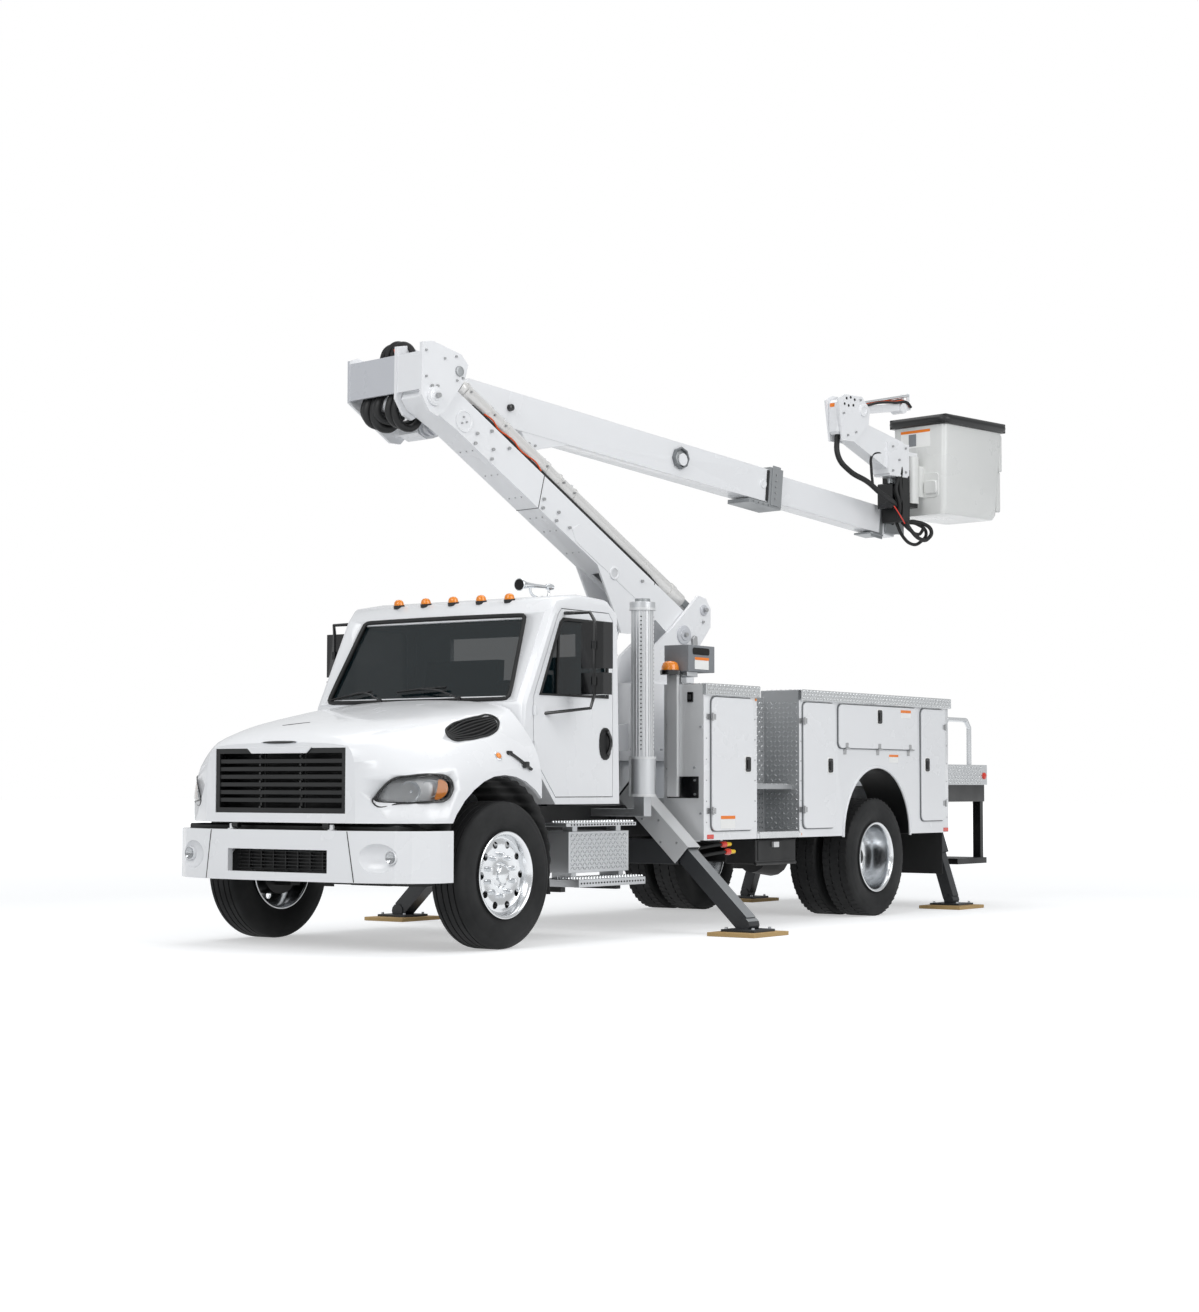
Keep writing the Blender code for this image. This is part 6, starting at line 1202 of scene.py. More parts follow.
        # Dark discs on the step faces, painted shade for the holes
        holes = [((x0 + 0.036 * (i + 0.5), side * (near + 0.0005), z), (0, side, 0)) for i in range(count)]
        repeated(f"{part}_step_holes_{name}", "stud",
                 {"Sides": 10, "Foot": 0.007, "Head": 0.006, "Height": 0.003}, holes,
                 seam_shadow, "truck")
    chequered(f"step_box_lozenges_{name}",
              (AXLE_X - 0.87 if side > 0 else AXLE_X - 1.61, side * 1.100, 0.515), (-side, 0, 0),
              (0, 0, 1), (0.74, 0.275), "truck", 0.030)
    for label, x in (("front", AXLE_X - 0.90), ("rear", AXLE_X - 1.60)):
        slab(f"step_bracket_{label}_{name}", (x - 0.03, side * 0.62, 0.36), (x + 0.03, side * 1.02, 0.41),
             chassis_black,
             "truck", 0.003)
    for node in (f"outrigger_leg_front_{name}", f"outrigger_leg_rear_{name}"):
        parted(skin(node), f"{node}_board", tan_plywood, lambda spot: spot.z < 0.032)
    top = Vector((FRONT_LEG_X, side * SLEEVE_HEAD[0], SLEEVE_HEAD[1]))
    run = Vector((0, side * (SLEEVE_FOOT[0] - SLEEVE_HEAD[0]), SLEEVE_FOOT[1] - SLEEVE_HEAD[1]))
    down = run.normalized()
    outer = Vector((0, -down.z * side, abs(down.y)))
    parted(skin(f"outrigger_leg_front_{name}"), f"outrigger_leg_front_{name}_edge", bare_steel,
           lambda spot: (spot - top).dot(outer) > 0.055 and spot.z > 0.1)
    for end, foot_x, foot_y in (("front", FRONT_LEG_X, SLEEVE_FOOT[0]), ("rear", REAR_LEG_X, 1.12)):
        feet = [((foot_x + x, side * (foot_y + y), 0.052), (0, 0, 1)) for x in (-0.12, 0.12)
                for y in (-0.12, 0.12)]
        repeated(f"{end}_foot_bolts_{name}", "stud",
                 {"Sides": 6, "Foot": 0.013, "Head": 0.011, "Height": 0.014}, feet,
                 plated_steel, f"leg_{end}_{name}")
    lens = turned(f"tail_shelf_lamp_{name}",
                  [(-0.004, 0.0), (-0.004, 0.034), (0.010, 0.032), (0.018, 0.022), (0.021, 0.0)],
                  (AXLE_X - 7.595, side * 1.10, 1.235), (0, side, 0), 24)
    settled(lens, red_reflector, "truck")
    for number, y in enumerate((0.62, 0.86)):
        lens = turned(f"tail_lamp_{number}_{name}",
                      [(-0.004, 0.0), (-0.004, 0.055), (0.012, 0.052), (0.020, 0.040), (0.024, 0.0)],
                      (AXLE_X - 7.66, side * y, 1.245), (-1, 0, 0), 28)
        settled(lens, red_reflector if number else amber_plastic, "truck")
        rim = turned(f"tail_lamp_rim_{number}_{name}",
                     [(-0.002, 0.0), (-0.002, 0.066), (0.008, 0.064), (0.010, 0.054), (0.004, 0.0)],
                     (AXLE_X - 7.66, side * y, 1.245), (-1, 0, 0), 28)
        settled(rim, rubber_trim, "truck")
    for number, (x, z) in enumerate(((AXLE_X - 2.86, 0.672), (AXLE_X - 2.92, 0.612))):
        place = (x, side * 1.15, z)
        settled(turned(f"hose_coupling_{number}_{name}",
                       [(-0.030, 0.0), (-0.030, 0.018), (0.0, 0.026), (0.028, 0.026), (0.028, 0.0)],
                       place, (-1, 0, 0), 20), red_reflector, "truck")
        settled(turned(f"hose_cap_{number}_{name}",
                       [(0.026, 0.0), (0.026, 0.020), (0.105, 0.016), (0.11, 0.0)], place, (-1, 0, 0), 20),
                yellow_cap, "truck")
        pipe(f"under_cabinet_hose_{number}_{name}",
             [(x + 0.03, side * 1.15, z), (x + 0.12, side * 1.12, z - 0.01),
                                                     (x + 0.25, side * 1.02, z - 0.03),
                                                     (x + 0.30, side * 0.70, z + 0.02)], 0.013,
             rubber_trim, "truck", smooth=True)

shelf = skin("tail_shelf")
parted(shelf, "tail_hoops", buffed_alloy, lambda spot: spot.z > 1.345)
parted(shelf, "tail_case", chassis_black, lambda spot: spot.z < 1.145, "black_paint")
for name, side in (("left", 1), ("right", -1)):
    chequered(f"shelf_side_lozenges_{name}",
              (AXLE_X - 6.69 if side > 0 else AXLE_X - 7.65, side * 1.10, 1.155), (-side, 0, 0),
              (0, 0, 1), (0.86, 0.18), "truck", 0.030)
chequered("shelf_back_lozenges", (AXLE_X - 7.66, 0.52, 1.155), (0, -1, 0), (0, 0, 1), (1.04, 0.18), "truck",
          0.030)
column = Vector((AXLE_X - 2.05, 0.93, 0.0))
ribs = [(column + Vector((0.084 * math.cos(angle), 0.084 * math.sin(angle), 1.93)), (0, 0, 1),
         (-math.sin(angle), math.cos(angle), 0))
        for angle in (math.tau * step / 20 for step in range(20))]
repeated("exhaust_ribs", "block", {"Width": 0.011, "Length": 0.010, "Height": 1.14}, ribs, satin_aluminium,
         "truck", 0.002)
# Dark discs among the ribs, painted shade for the shield's holes
holes = [(column + Vector((0.0852 * math.cos(angle), 0.0852 * math.sin(angle), 1.42 + 0.032 * row)),
          (math.cos(angle), math.sin(angle), 0))
          for angle in (math.tau * (step + 0.5) / 20 for step in (1, 6, 11, 16))
         for row in range(33)]
repeated("exhaust_holes", "stud", {"Sides": 8, "Foot": 0.006, "Head": 0.005, "Height": 0.004}, holes,
         seam_shadow, "truck")
for number, (z, radius) in enumerate(((1.062, 0.108), (1.352, 0.108), (2.505, 0.102))):
    settled(turned(f"exhaust_band_{number}",
                   [(-0.010, 0.0), (-0.010, radius), (0.010, radius), (0.010, 0.0)],
                   column + Vector((0, 0, z)), (0, 0, 1), 40), satin_aluminium, "truck")
settled(turned("exhaust_crown", [(0.0, 0.0), (0.0, 0.060), (0.030, 0.060), (0.030, 0.0)],
               column + Vector((0, 0, 2.557)),
               (0, 0, 1), 32), bare_steel, "truck")

# Lower controls
# A cast grey case on an aluminium post behind the cab, its outer face with a slot drawn as a dark plate of
# painted shade and a blank printed label; a moulded amber beacon stands ahead of it on a plate arm.
stand = skin("control_stand")
parted(stand, "control_case", grey_case, lambda spot: spot.z > 2.035, "charcoal_paint")
CASE = (AXLE_X - 2.88, AXLE_X - 2.50)
# The slot is a dark plate, painted shade
panel("control_slot", (CASE[0] + 0.08, CASE[1] - 0.06), (2.175, 2.230), (1.058, 1.064), 1, 0.018,
      seam_shadow, "truck",
      bevel=0.001)
panel("control_label", (CASE[0] + 0.09, CASE[1] - 0.09), (2.060, 2.155), (1.058, 1.063), 1, 0.006,
      white_film, "truck",
      bevel=0.0005)
panel("control_label_strip", (CASE[0] + 0.09, CASE[1] - 0.09), (2.133, 2.155), (1.061, 1.065), 1, 0.005,
      orange_film, "truck",
      bevel=0.0005)
slab("control_post", (CABINET_X[0] + 0.001, 0.87, 1.05), (CABINET_X[0] + 0.035, 0.97, 2.03),
     satin_aluminium, "truck", 0.004)
beacon = Vector((CASE[1] + 0.065, 0.93, 2.045))
settled(turned("beacon_foot", [(-0.035, 0.0), (-0.035, 0.078), (0.0, 0.082), (0.004, 0.074), (0.004, 0.0)],
               beacon, (0, 0, 1), 36),
        black_gloss, "truck")
settled(turned("beacon_dome",
               [(0.002, 0.0), (0.002, 0.070), (0.030, 0.068), (0.058, 0.058), (0.072, 0.038), (0.076, 0.0)],
               beacon,
               (0, 0, 1), 36), amber_plastic, "truck")
slab("beacon_arm", (CASE[1] - 0.06, 0.89, 2.010), (CASE[1] + 0.05, 0.97, 2.030), chassis_black, "truck",
     0.003)

# Behind the cab
# A welded black screen, a turned aluminium oil reservoir and four rubber hoses that loop over to it.
# The photo shows little of this space, so the hoses' routes are guessed.
slab("hose_screen", (AXLE_X - 1.86, -0.70, 1.02), (AXLE_X - 1.80, 0.66, 1.95), chassis_black, "truck", 0.01)
settled(turned("oil_reservoir",
               [(-0.42, 0.0), (-0.42, 0.13), (-0.39, 0.16), (0.39, 0.16), (0.42, 0.13), (0.42, 0.0)],
               (AXLE_X - 2.20, 0.0, 1.32), (0, 1, 0), 40), satin_aluminium, "truck")
for number, y in enumerate((0.40, 0.52, 0.64, 0.74)):
    pipe(f"stack_hose_{number}",
         [(AXLE_X - 1.83, y, 1.05), (AXLE_X - 1.80, y + 0.02, 1.60),
          (AXLE_X - 1.86, y + 0.02, 2.05 + 0.05 * number),
                                  (AXLE_X - 2.05, y - 0.12, 2.02), (AXLE_X - 2.30, y - 0.25, 1.40)], 0.018,
                                  rubber_trim, "truck",
         smooth=True)

# Turret, lower boom and levelling link
# Welded steel cheeks and box sections sprayed white, with bolted access plates; pins run in turned bosses,
# black hoses lie beside the link and stainless bolts hold the covers.
light_enamel = surfaced("light_grey_enamel", "c6c8cd", 0.30, coat=0.25, ripple=0.05, ripple_mm=30,
                        mottle=0.03, blend=0.003)
silver_enamel = surfaced("silver_white_enamel", "dedddb", 0.26, metallic=0.25, coat=0.2, mottle=0.04)
orange_hose = surfaced("orange_insulated_hose", "e2571c", 0.45, mottle=0.1)
TURRET_X = AXLE_X - 3.15
TURRET_TURN = -9.0
turret_frame = Matrix.Translation((TURRET_X, 0, 0)) @ Matrix.Rotation(math.radians(TURRET_TURN), 4, "Z")
LOWER_PIVOT = (-0.34, 2.40)
LOWER_PITCH = 31.2
LOWER_LENGTH = 3.25
LOWER_Y = 0.18
BOOM_HALF = 0.125
LINK_BACK = 0.25
LINK_RISE = 0.22
UPPER_BACK = 0.36
UPPER_DROP = 0.15
ELBOW = (LOWER_PIVOT[0] + LOWER_LENGTH * math.cos(math.radians(LOWER_PITCH)),
         LOWER_PIVOT[1] + LOWER_LENGTH * math.sin(math.radians(LOWER_PITCH)))


def framed(x, y, z, pitch=0.0):
    """The frame of something on the turret, its own x along the boom."""
    return turret_frame @ Matrix.Translation((x, y, z)) @ Matrix.Rotation(math.radians(-pitch), 4, "Y")


def block(name, frame_of, low, high, material, body, bevel=0.002):
    """A block between two corners in a boom's own frame."""
    low, high = Vector(low), Vector(high)
    size = high - low
    axes = frame_of.to_3x3()
    return repeated(name, "block", {"Width": abs(size.x), "Length": abs(size.y), "Height": abs(size.z)},
                    [(frame_of @ ((low + high) / 2), axes @ Vector((0, 0, 1)), axes @ Vector((1, 0, 0)))],
                    material, body, bevel)


def boss(name, frame_of, x, z, y, side, rings, material, body, steps=40):
    """A turned boss on a boom's side: (height, radius) rings outward from y."""
    made = turned(name, [(rings[0][0], 0.0), *rings, (rings[-1][0], 0.0)], frame_of @ Vector((x, y, z)),
                  frame_of.to_3x3() @ Vector((0, side, 0)), steps)
    return settled(made, material, body)


def flat_plate(name, frame_of, outline, y0, y1, material, body, bevel=0.002):
    """A plate cut to an outline of (x, z) points in a boom's frame."""
    spots = [frame_of @ Vector((x, y0, z)) for x, z in outline]
    return settled(plate_of(name, spots, frame_of.to_3x3() @ Vector((0, y1 - y0, 0)), bevel, 2), material,
                   body)


def bolts(name, frame_of, spots, y, side, radius, material, body):
    """Hexagon bolts on a boom's side at (x, z) spots."""
    out = frame_of.to_3x3() @ Vector((0, side, 0))
    return repeated(name, "stud",
                    {"Sides": 6, "Foot": radius, "Head": radius * 0.92, "Height": radius * 1.1},
                    [(frame_of @ Vector((x, y, z)), out) for x, z in spots], material, body)


lower = framed(LOWER_PIVOT[0], LOWER_Y, LOWER_PIVOT[1], LOWER_PITCH)
link = framed(LOWER_PIVOT[0] - LINK_BACK, LOWER_Y, LOWER_PIVOT[1] + LINK_RISE, LOWER_PITCH)
knee = framed(ELBOW[0], 0.0, ELBOW[1])
skin("levelling_link").data.materials[0] = silver_enamel
COVER_BOLTS = ((2.731, 0.042), (2.708, -0.035), (2.532, 0.038), (2.506, -0.035), (1.886, 0.032),
               (1.860, -0.035),
               (1.700, 0.038), (1.686, -0.035), (1.536, 0.004), (2.62, 0.15), (2.40, 0.15), (0.62, 0.12),
               (0.52, -0.02))
for name, side in (("near", 1), ("far", -1)):
    y = side * BOOM_HALF
    boss(f"boom_ring_{name}", lower, 2.885, 0.045, y, side,
         [(-0.002, 0.088), (0.006, 0.088), (0.010, 0.084), (0.010, 0.074),
                                                             (0.004, 0.070), (0.003, 0.03)], gloss_white,
                                                             "boom_lower")
    bolts(f"boom_ring_bolts_{name}", lower, ((2.91, 0.065), (2.865, 0.05), (2.90, 0.015)), y + side * 0.006,
          side, 0.009,
          stainless, "boom_lower")
    bolts(f"boom_bolts_{name}", lower, COVER_BOLTS, y + side * 0.006, side, 0.014, stainless, "boom_lower")
    boss(f"boom_root_ring_{name}", lower, 0.92, -0.01, y, side,
         [(-0.002, 0.055), (0.008, 0.055), (0.012, 0.050), (0.012, 0.040),
                                                                 (0.004, 0.036), (0.004, 0.02)],
                                                                 gloss_white, "boom_lower")
    flat_plate(f"boom_doubler_{name}", lower,
               [(0.34, -0.045), (1.42, -0.045), (1.50, 0.015), (1.46, 0.10), (1.05, 0.165),
                                               (0.34, 0.185)], y - side * 0.001, y + side * 0.004,
                                               gloss_white, "boom_lower")
    pipe(f"boom_hose_{name}", [lower @ Vector(spot)
                               for spot in ((0.42, side * 0.095, 0.208), (0.55, side * 0.098, 0.220),
                                                                 (2.70, side * 0.098, 0.220),
                                                                 (2.86, side * 0.095, 0.212))],
         0.017, rubber_trim, "boom_lower")
    pipe(f"boom_wire_{name}", [lower @ Vector((2.02 + 0.09 * i, side * (0.118 + 0.004 * (i % 2)),
                                               0.216 + 0.010 * ((i * 5) % 3)))
                               for i in range(9)], 0.006, orange_hose, "boom_lower", smooth=True)
    boss(f"lower_pin_boss_{name}", framed(LOWER_PIVOT[0], 0.0, LOWER_PIVOT[1]), 0.0, 0.0,
         LOWER_Y + side * 0.166, side,
         [(-0.002, 0.080), (0.012, 0.080), (0.016, 0.074), (0.016, 0.050), (0.024, 0.046), (0.024, 0.02)],
         light_enamel,
         "slewing_turret")
    boss(f"link_pin_boss_{name}", framed(LOWER_PIVOT[0] - LINK_BACK, 0.0, LOWER_PIVOT[1] + LINK_RISE), 0.0,
         0.0, LOWER_Y + side * 0.166,
         side, [(-0.002, 0.046), (0.010, 0.046), (0.014, 0.040), (0.014, 0.022)], light_enamel,
         "slewing_turret")
    bolts(f"turret_pin_bolts_{name}", framed(LOWER_PIVOT[0], 0.0, LOWER_PIVOT[1]),
          ((-LINK_BACK, LINK_RISE), (0.0, 0.0)),
          LOWER_Y + side * 0.190, side, 0.020, stainless, "slewing_turret")
    bolts(f"turret_cheek_bolts_{name}", framed(0.0, 0.0, 0.0),
          ((-0.40, 1.86), (0.18, 1.86), (-0.58, 2.52), (-0.40, 2.20)),
          LOWER_Y + side * 0.168, side, 0.013, stainless, "slewing_turret")
flat_plate("turret_hook", framed(-0.46, 0.0, 2.30),
           [(-0.02, -0.06), (0.03, -0.075), (0.045, -0.03), (0.02, 0.02), (0.03, 0.07),
                                                    (0.0, 0.10), (-0.03, 0.09), (-0.035, 0.03)],
                                                    LOWER_Y + 0.166, LOWER_Y + 0.190,
           stainless, "slewing_turret", 0.006)
# Dark lines across the boom, painted shade for its seams
for number, (start, end) in enumerate((((1.975, 0.20), (1.895, -0.06)), ((0.48, 0.20), (0.44, -0.02)))):
    seam = [lower @ Vector((start[0], -BOOM_HALF - 0.001, start[1])),
            lower @ Vector((end[0], -BOOM_HALF - 0.001, end[1] - 0.001)),
            lower @ Vector((end[0], BOOM_HALF + 0.001, end[1] - 0.001)),
            lower @ Vector((start[0], BOOM_HALF + 0.001, start[1]))]
    pipe(f"boom_seam_{number}", seam, 0.003, seam_shadow, "boom_lower")
under = [(lower @ Vector((x, y, -0.061)), lower.to_3x3() @ Vector((0, 0, -1)))
         for x in (1.30, 1.60, 1.78, 2.05, 2.35, 2.66) for y in (-0.07, 0.0, 0.07)]
repeated("boom_under_bolts", "stud", {"Sides": 8, "Foot": 0.007, "Head": 0.006, "Height": 0.006}, under,
         stainless, "boom_lower")
for number, (x, radius, width) in enumerate(((0.30, 0.072, 0.05), (1.66, 0.071, 0.012),
                                             (1.86, 0.071, 0.012), (2.02, 0.075, 0.020),
                                             (2.54, 0.074, 0.008), (2.765, 0.074, 0.008),
                                             (3.035, 0.075, 0.020))):
    settled(turned(f"link_ring_{number}",
                   [(-width / 2, 0.0), (-width / 2, radius), (width / 2, radius), (width / 2, 0.0)],
                   link @ Vector((x, 0, 0)), link.to_3x3() @ Vector((1, 0, 0)), 40), silver_enamel, "link")
clips = [(link @ Vector((x, 0.0, 0.071)), link.to_3x3() @ Vector((0, 0, 1)))
         for x in (1.69, 1.83, 2.05, 2.58, 2.72, 3.01)]
clips += [(link @ Vector((x, 0.071, 0.0)), link.to_3x3() @ Vector((0, 1, 0)))
          for x in (1.69, 1.83, 2.05, 2.58, 2.72, 3.01)]
repeated("link_bolts", "stud", {"Sides": 6, "Foot": 0.010, "Head": 0.009, "Height": 0.014}, clips,
         stainless, "link")
for name, x in (("foot", 0.06), ("head", LOWER_LENGTH - 0.12)):
    for number, y in enumerate((-0.046, 0.034)):
        block(f"link_fork_{name}_{number}", link, (x - 0.06, y, -0.032), (x + 0.10, y + 0.012, 0.032),
              bare_steel, "link", 0.003)
ring = [(turret_frame @ Vector((0.41 * math.cos(angle), 0.41 * math.sin(angle), 1.425)), (0, 0, 1))
        for angle in (math.tau * step / 28 for step in range(28))]
repeated("slewing_bolts", "stud", {"Sides": 6, "Foot": 0.014, "Head": 0.013, "Height": 0.016}, ring,
         plated_steel,
         "slewing_turret")
cylinder = framed(0.62, LOWER_Y, 1.50, math.degrees(math.atan2(0.96, -0.32)))
settled(turned("lift_gland", [(-0.03, 0.0), (-0.03, 0.071), (0.006, 0.071), (0.010, 0.060), (0.010, 0.0)],
               cylinder @ Vector((0.755, 0, 0)), cylinder.to_3x3() @ Vector((1, 0, 0)), 40), bare_steel,
               "cylinder_barrel")
pipe("lift_port_pipe", [cylinder @ Vector(spot)
                        for spot in ((0.14, 0.0, 0.066), (0.14, 0.0, 0.085), (0.68, 0.0, 0.085),
                                                             (0.68, 0.0, 0.066))], 0.009, bare_steel,
                                                             "cylinder_barrel")

# Elbow
# Two white cheek plates and a folded light grey cross box; black hose bundles loop below and over the box.
elbow_skin = skin("elbow_bracket")
to_knee = knee.inverted()
parted(elbow_skin, "elbow_cross_box", light_enamel,
       lambda spot: (to_knee @ spot).x > 0.085 and (to_knee @ spot).y < 0.02, "white_paint")
boss("elbow_pin_boss", knee, 0.0, 0.0, 0.361, 1,
     [(-0.002, 0.062), (0.004, 0.062), (0.006, 0.058), (0.006, 0.040), (0.016, 0.038),
                                                 (0.016, 0.02)], gloss_white, "elbow")
bolts("elbow_pin_bolt", knee, ((0.0, 0.0),), 0.381, 1, 0.022, stainless, "elbow")
bolts("elbow_keeper_bolts", knee, ((0.032, 0.075), (-0.022, 0.078)), 0.347, 1, 0.013, stainless, "elbow")
bolts("elbow_bolts", knee, ((0.088, 0.340), (0.087, 0.141), (-0.216, 0.330), (-0.225, 0.145),
                            (-0.285, 0.170), (-0.10, 0.30)),
      0.344, 1, 0.010, stainless, "elbow")
boss("elbow_link_boss", knee, -LINK_BACK, LINK_RISE, 0.341, 1,
     [(-0.002, 0.040), (0.010, 0.040), (0.014, 0.034), (0.014, 0.02)], bare_steel,
     "elbow")
boss("elbow_far_boss", knee, -UPPER_BACK, -UPPER_DROP, -0.545, -1,
     [(-0.002, 0.085), (0.012, 0.085), (0.018, 0.078), (0.018, 0.045),
                                                       (0.026, 0.040), (0.026, 0.02)], light_enamel,
                                                       "elbow")
for number, y in enumerate((-0.17, -0.10, -0.04)):
    settled(turned(f"elbow_shaft_ring_{number}",
                   [(-0.012, 0.0), (-0.012, 0.066), (0.012, 0.066), (0.012, 0.0)],
                   knee @ Vector((-UPPER_BACK, y, -UPPER_DROP)),
                   turret_frame.to_3x3() @ Vector((0, 1, 0)), 36),
                   light_enamel, "elbow")
settled(turned("elbow_upper_shaft",
               [(-0.22, 0.0), (-0.22, 0.060), (-0.05, 0.060), (-0.05, 0.074), (-0.02, 0.074),
                (-0.02, 0.060),
                                     (0.085, 0.060), (0.085, 0.0)],
               knee @ Vector((-0.02, -0.07, 0.0)), turret_frame.to_3x3() @ Vector((0, 1, 0)), 36),
               gloss_white, "elbow")
BUNDLE = (
    # y of the loop, how far it swells forward, how low it hangs, hose radius
    (-0.44, 0.02, -0.10, 0.036), (-0.38, 0.05, -0.14, 0.040), (-0.31, 0.03, -0.17, 0.040),
    (-0.25, 0.05, -0.12, 0.036),
    (-0.10, 0.06, -0.17, 0.034), (-0.04, 0.05, -0.20, 0.030),
)
for number, (y, swell, low, radius) in enumerate(BUNDLE):
    spots = [(-0.03, y, 0.12), (0.01 + swell * 0.6, y + 0.01, 0.04), (swell, y - 0.01, low * 0.6),
             (-0.06, y, low),
             (-0.15, y + 0.02, low * 0.7), (-0.17, y, 0.02)]
    pipe(f"elbow_bundle_{number}", [knee @ Vector(spot) for spot in spots], radius, rubber_trim, "elbow",
         smooth=True, sides=4)
for number, (y, high) in enumerate(((-0.14, 0.42), (-0.08, 0.435), (-0.02, 0.425))):
    spots = [(0.02, y - 0.12, 0.318), (0.02, y - 0.05, high), (0.0, y + 0.06, high - 0.01),
             (-0.03, y + 0.10, 0.318)]
    pipe(f"elbow_top_hose_{number}", [knee @ Vector(spot) for spot in spots], 0.026, rubber_trim, "elbow",
         smooth=True, sides=4)
for number, y in enumerate((-0.01, 0.004)):
    spots = [(0.05, y - 0.06, 0.40), (0.06, y - 0.02, 0.36), (0.04, y, 0.41), (0.0, y, 0.35)]
    pipe(f"elbow_red_wire_{number}", [knee @ Vector(spot) for spot in spots], 0.007, orange_hose, "elbow",
         smooth=True)

# Upper boom and fly boom
# Two box sections, one inside the other; a galvanised collar bolted round the mouth, wear pads, a round
# inspection cap, a gusset for the lift lug and a galvanised foot under the tip.
UPPER_HALF = 0.11
UPPER_PITCH = 5.8
UPPER_LENGTH = 5.96
UPPER_RISE = 0.35
upper = framed(ELBOW[0] - UPPER_BACK, -0.30, ELBOW[1] - UPPER_DROP, UPPER_PITCH)
to_upper = upper.inverted()
parted(skin("upper_boom"), "upper_boom_collar", bare_steel,
       lambda spot: (to_upper @ spot).x < -4.105
       or ((to_upper @ spot).x < -3.84 and (to_upper @ spot).z < 0.19), "bare_steel")
cast_alloy = surfaced("cast_alloy_cap", "8d9093", 0.30, metallic=0.8, mottle=0.2)
boss("inspection_ring", upper, -2.93, 0.36, UPPER_HALF, 1,
     [(-0.002, 0.095), (0.024, 0.100), (0.034, 0.096), (0.034, 0.082), (0.012, 0.076), (0.012, 0.02)],
     cast_alloy, "boom_upper", 8)
boss("inspection_cup", upper, -2.93, 0.36, UPPER_HALF + 0.012, 1,
     [(-0.002, 0.062), (0.004, 0.062), (0.008, 0.052), (0.006, 0.02)], bare_steel, "boom_upper")
block("inspection_key", upper, (-2.97, UPPER_HALF + 0.018, 0.353), (-2.89, UPPER_HALF + 0.026, 0.367),
      stainless, "boom_upper",
      0.002)
for name, side in (("near", 1), ("far", -1)):
    flat_plate(f"boom_gusset_{name}", upper,
               [(-1.04, 0.205), (-1.06, 0.165), (-1.16, 0.075), (-1.22, 0.080), (-1.60, 0.205)],
               side * 0.088, side * 0.106, gloss_white, "boom_upper", 0.004)
    bolts(f"gusset_bolts_{name}", upper, ((-1.13, 0.115), (-1.20, 0.11)), side * 0.108, side, 0.011,
          stainless, "boom_upper")
    boss(f"boom_knob_{name}", upper, -0.885, 0.36, side * UPPER_HALF, side,
         [(-0.002, 0.030), (0.030, 0.028), (0.036, 0.020)],
         black_gloss, "boom_upper")
    bolts(f"collar_bolts_{name}", upper, [(-4.205, 0.35 + 0.055 * i) for i in (-2, -1, 0, 1, 2)],
          side * 0.134, side, 0.012,
          stainless, "boom_upper")
    block(f"collar_plate_{name}", upper, (-4.26, side * 0.131, 0.175), (-4.15, side * 0.139, 0.54),
          bare_steel, "boom_upper")
    block(f"collar_pad_{name}", upper, (-4.128, side * 0.108, 0.21), (-4.100, side * 0.122, 0.49),
          matt_plastic, "boom_upper")
    boss(f"collar_ring_{name}", upper, -4.06, 0.355, side * UPPER_HALF, side,
         [(-0.002, 0.042), (0.006, 0.042), (0.008, 0.038), (0.008, 0.030), (0.003, 0.02)], gloss_white,
         "boom_upper")
    bolts(f"shoe_bolts_{name}", upper, [(-3.92 - 0.07 * i, 0.169) for i in range(4)], side * 0.131, side,
          0.009, stainless,
          "boom_upper")
block("fly_foot", upper, (-5.84, -0.10, 0.186), (-5.66, 0.118, 0.205), bare_steel, "boom_fly", 0.003)
block("fly_foot_lip", upper, (-5.84, 0.100, 0.160), (-5.66, 0.108, 0.205), bare_steel, "boom_fly", 0.003)
block("fly_band", upper, (-5.852, -0.097, 0.208), (-5.80, 0.097, 0.492), bare_steel, "boom_fly", 0.002)
pipe("fly_cable_mouth", [upper @ Vector(spot)
                         for spot in ((-4.31, -0.05, 0.503), (-4.45, -0.06, 0.506), (-4.70, -0.06, 0.504))],
                         0.010,
     rubber_trim, "boom_upper")

# Front outrigger sleeves
# The square tubes that the front legs slide in, welded from steel plate; each of their four faces is
# covered by a satin aluminium sheet, and stainless bolts hold the forward one.
SLEEVE_HALF = 0.085
for name, side in (("left", 1), ("right", -1)):
    head_point = Vector((FRONT_LEG_X, side * SLEEVE_HEAD[0], SLEEVE_HEAD[1]))
    run = Vector((0, side * (SLEEVE_FOOT[0] - SLEEVE_HEAD[0]), SLEEVE_FOOT[1] - SLEEVE_HEAD[1]))
    down = run.normalized()
    sideways = Vector((1, 0, 0))
    sleeve = Matrix((down, sideways, down.cross(sideways))).transposed().to_4x4()
    sleeve.translation = head_point
    reach = run.length * 0.5 + 0.001
    for face, low, high in (("front", (0.02, SLEEVE_HALF, -0.088), (reach, 0.088, 0.088)),
                            ("rear", (0.02, -0.088, -0.088), (reach, -SLEEVE_HALF, 0.088)),
                            ("over", (0.02, -0.088, SLEEVE_HALF), (reach, 0.088, 0.088)),
                            ("under", (0.02, -0.088, -0.088), (reach, 0.088, -SLEEVE_HALF))):
        block(f"front_sleeve_{face}_{name}", sleeve, low, high, satin_aluminium, "truck", 0.001)
    bolts_at = [(sleeve @ Vector((x, 0.088, z)), (1, 0, 0))
                for x, z in ((0.30, 0.05), (0.42, -0.05), (0.55, 0.06), (0.66, -0.04))]
    repeated(f"front_sleeve_bolts_{name}", "stud",
             {"Sides": 6, "Foot": 0.010, "Head": 0.009, "Height": 0.007}, bolts_at,
             stainless, "truck")

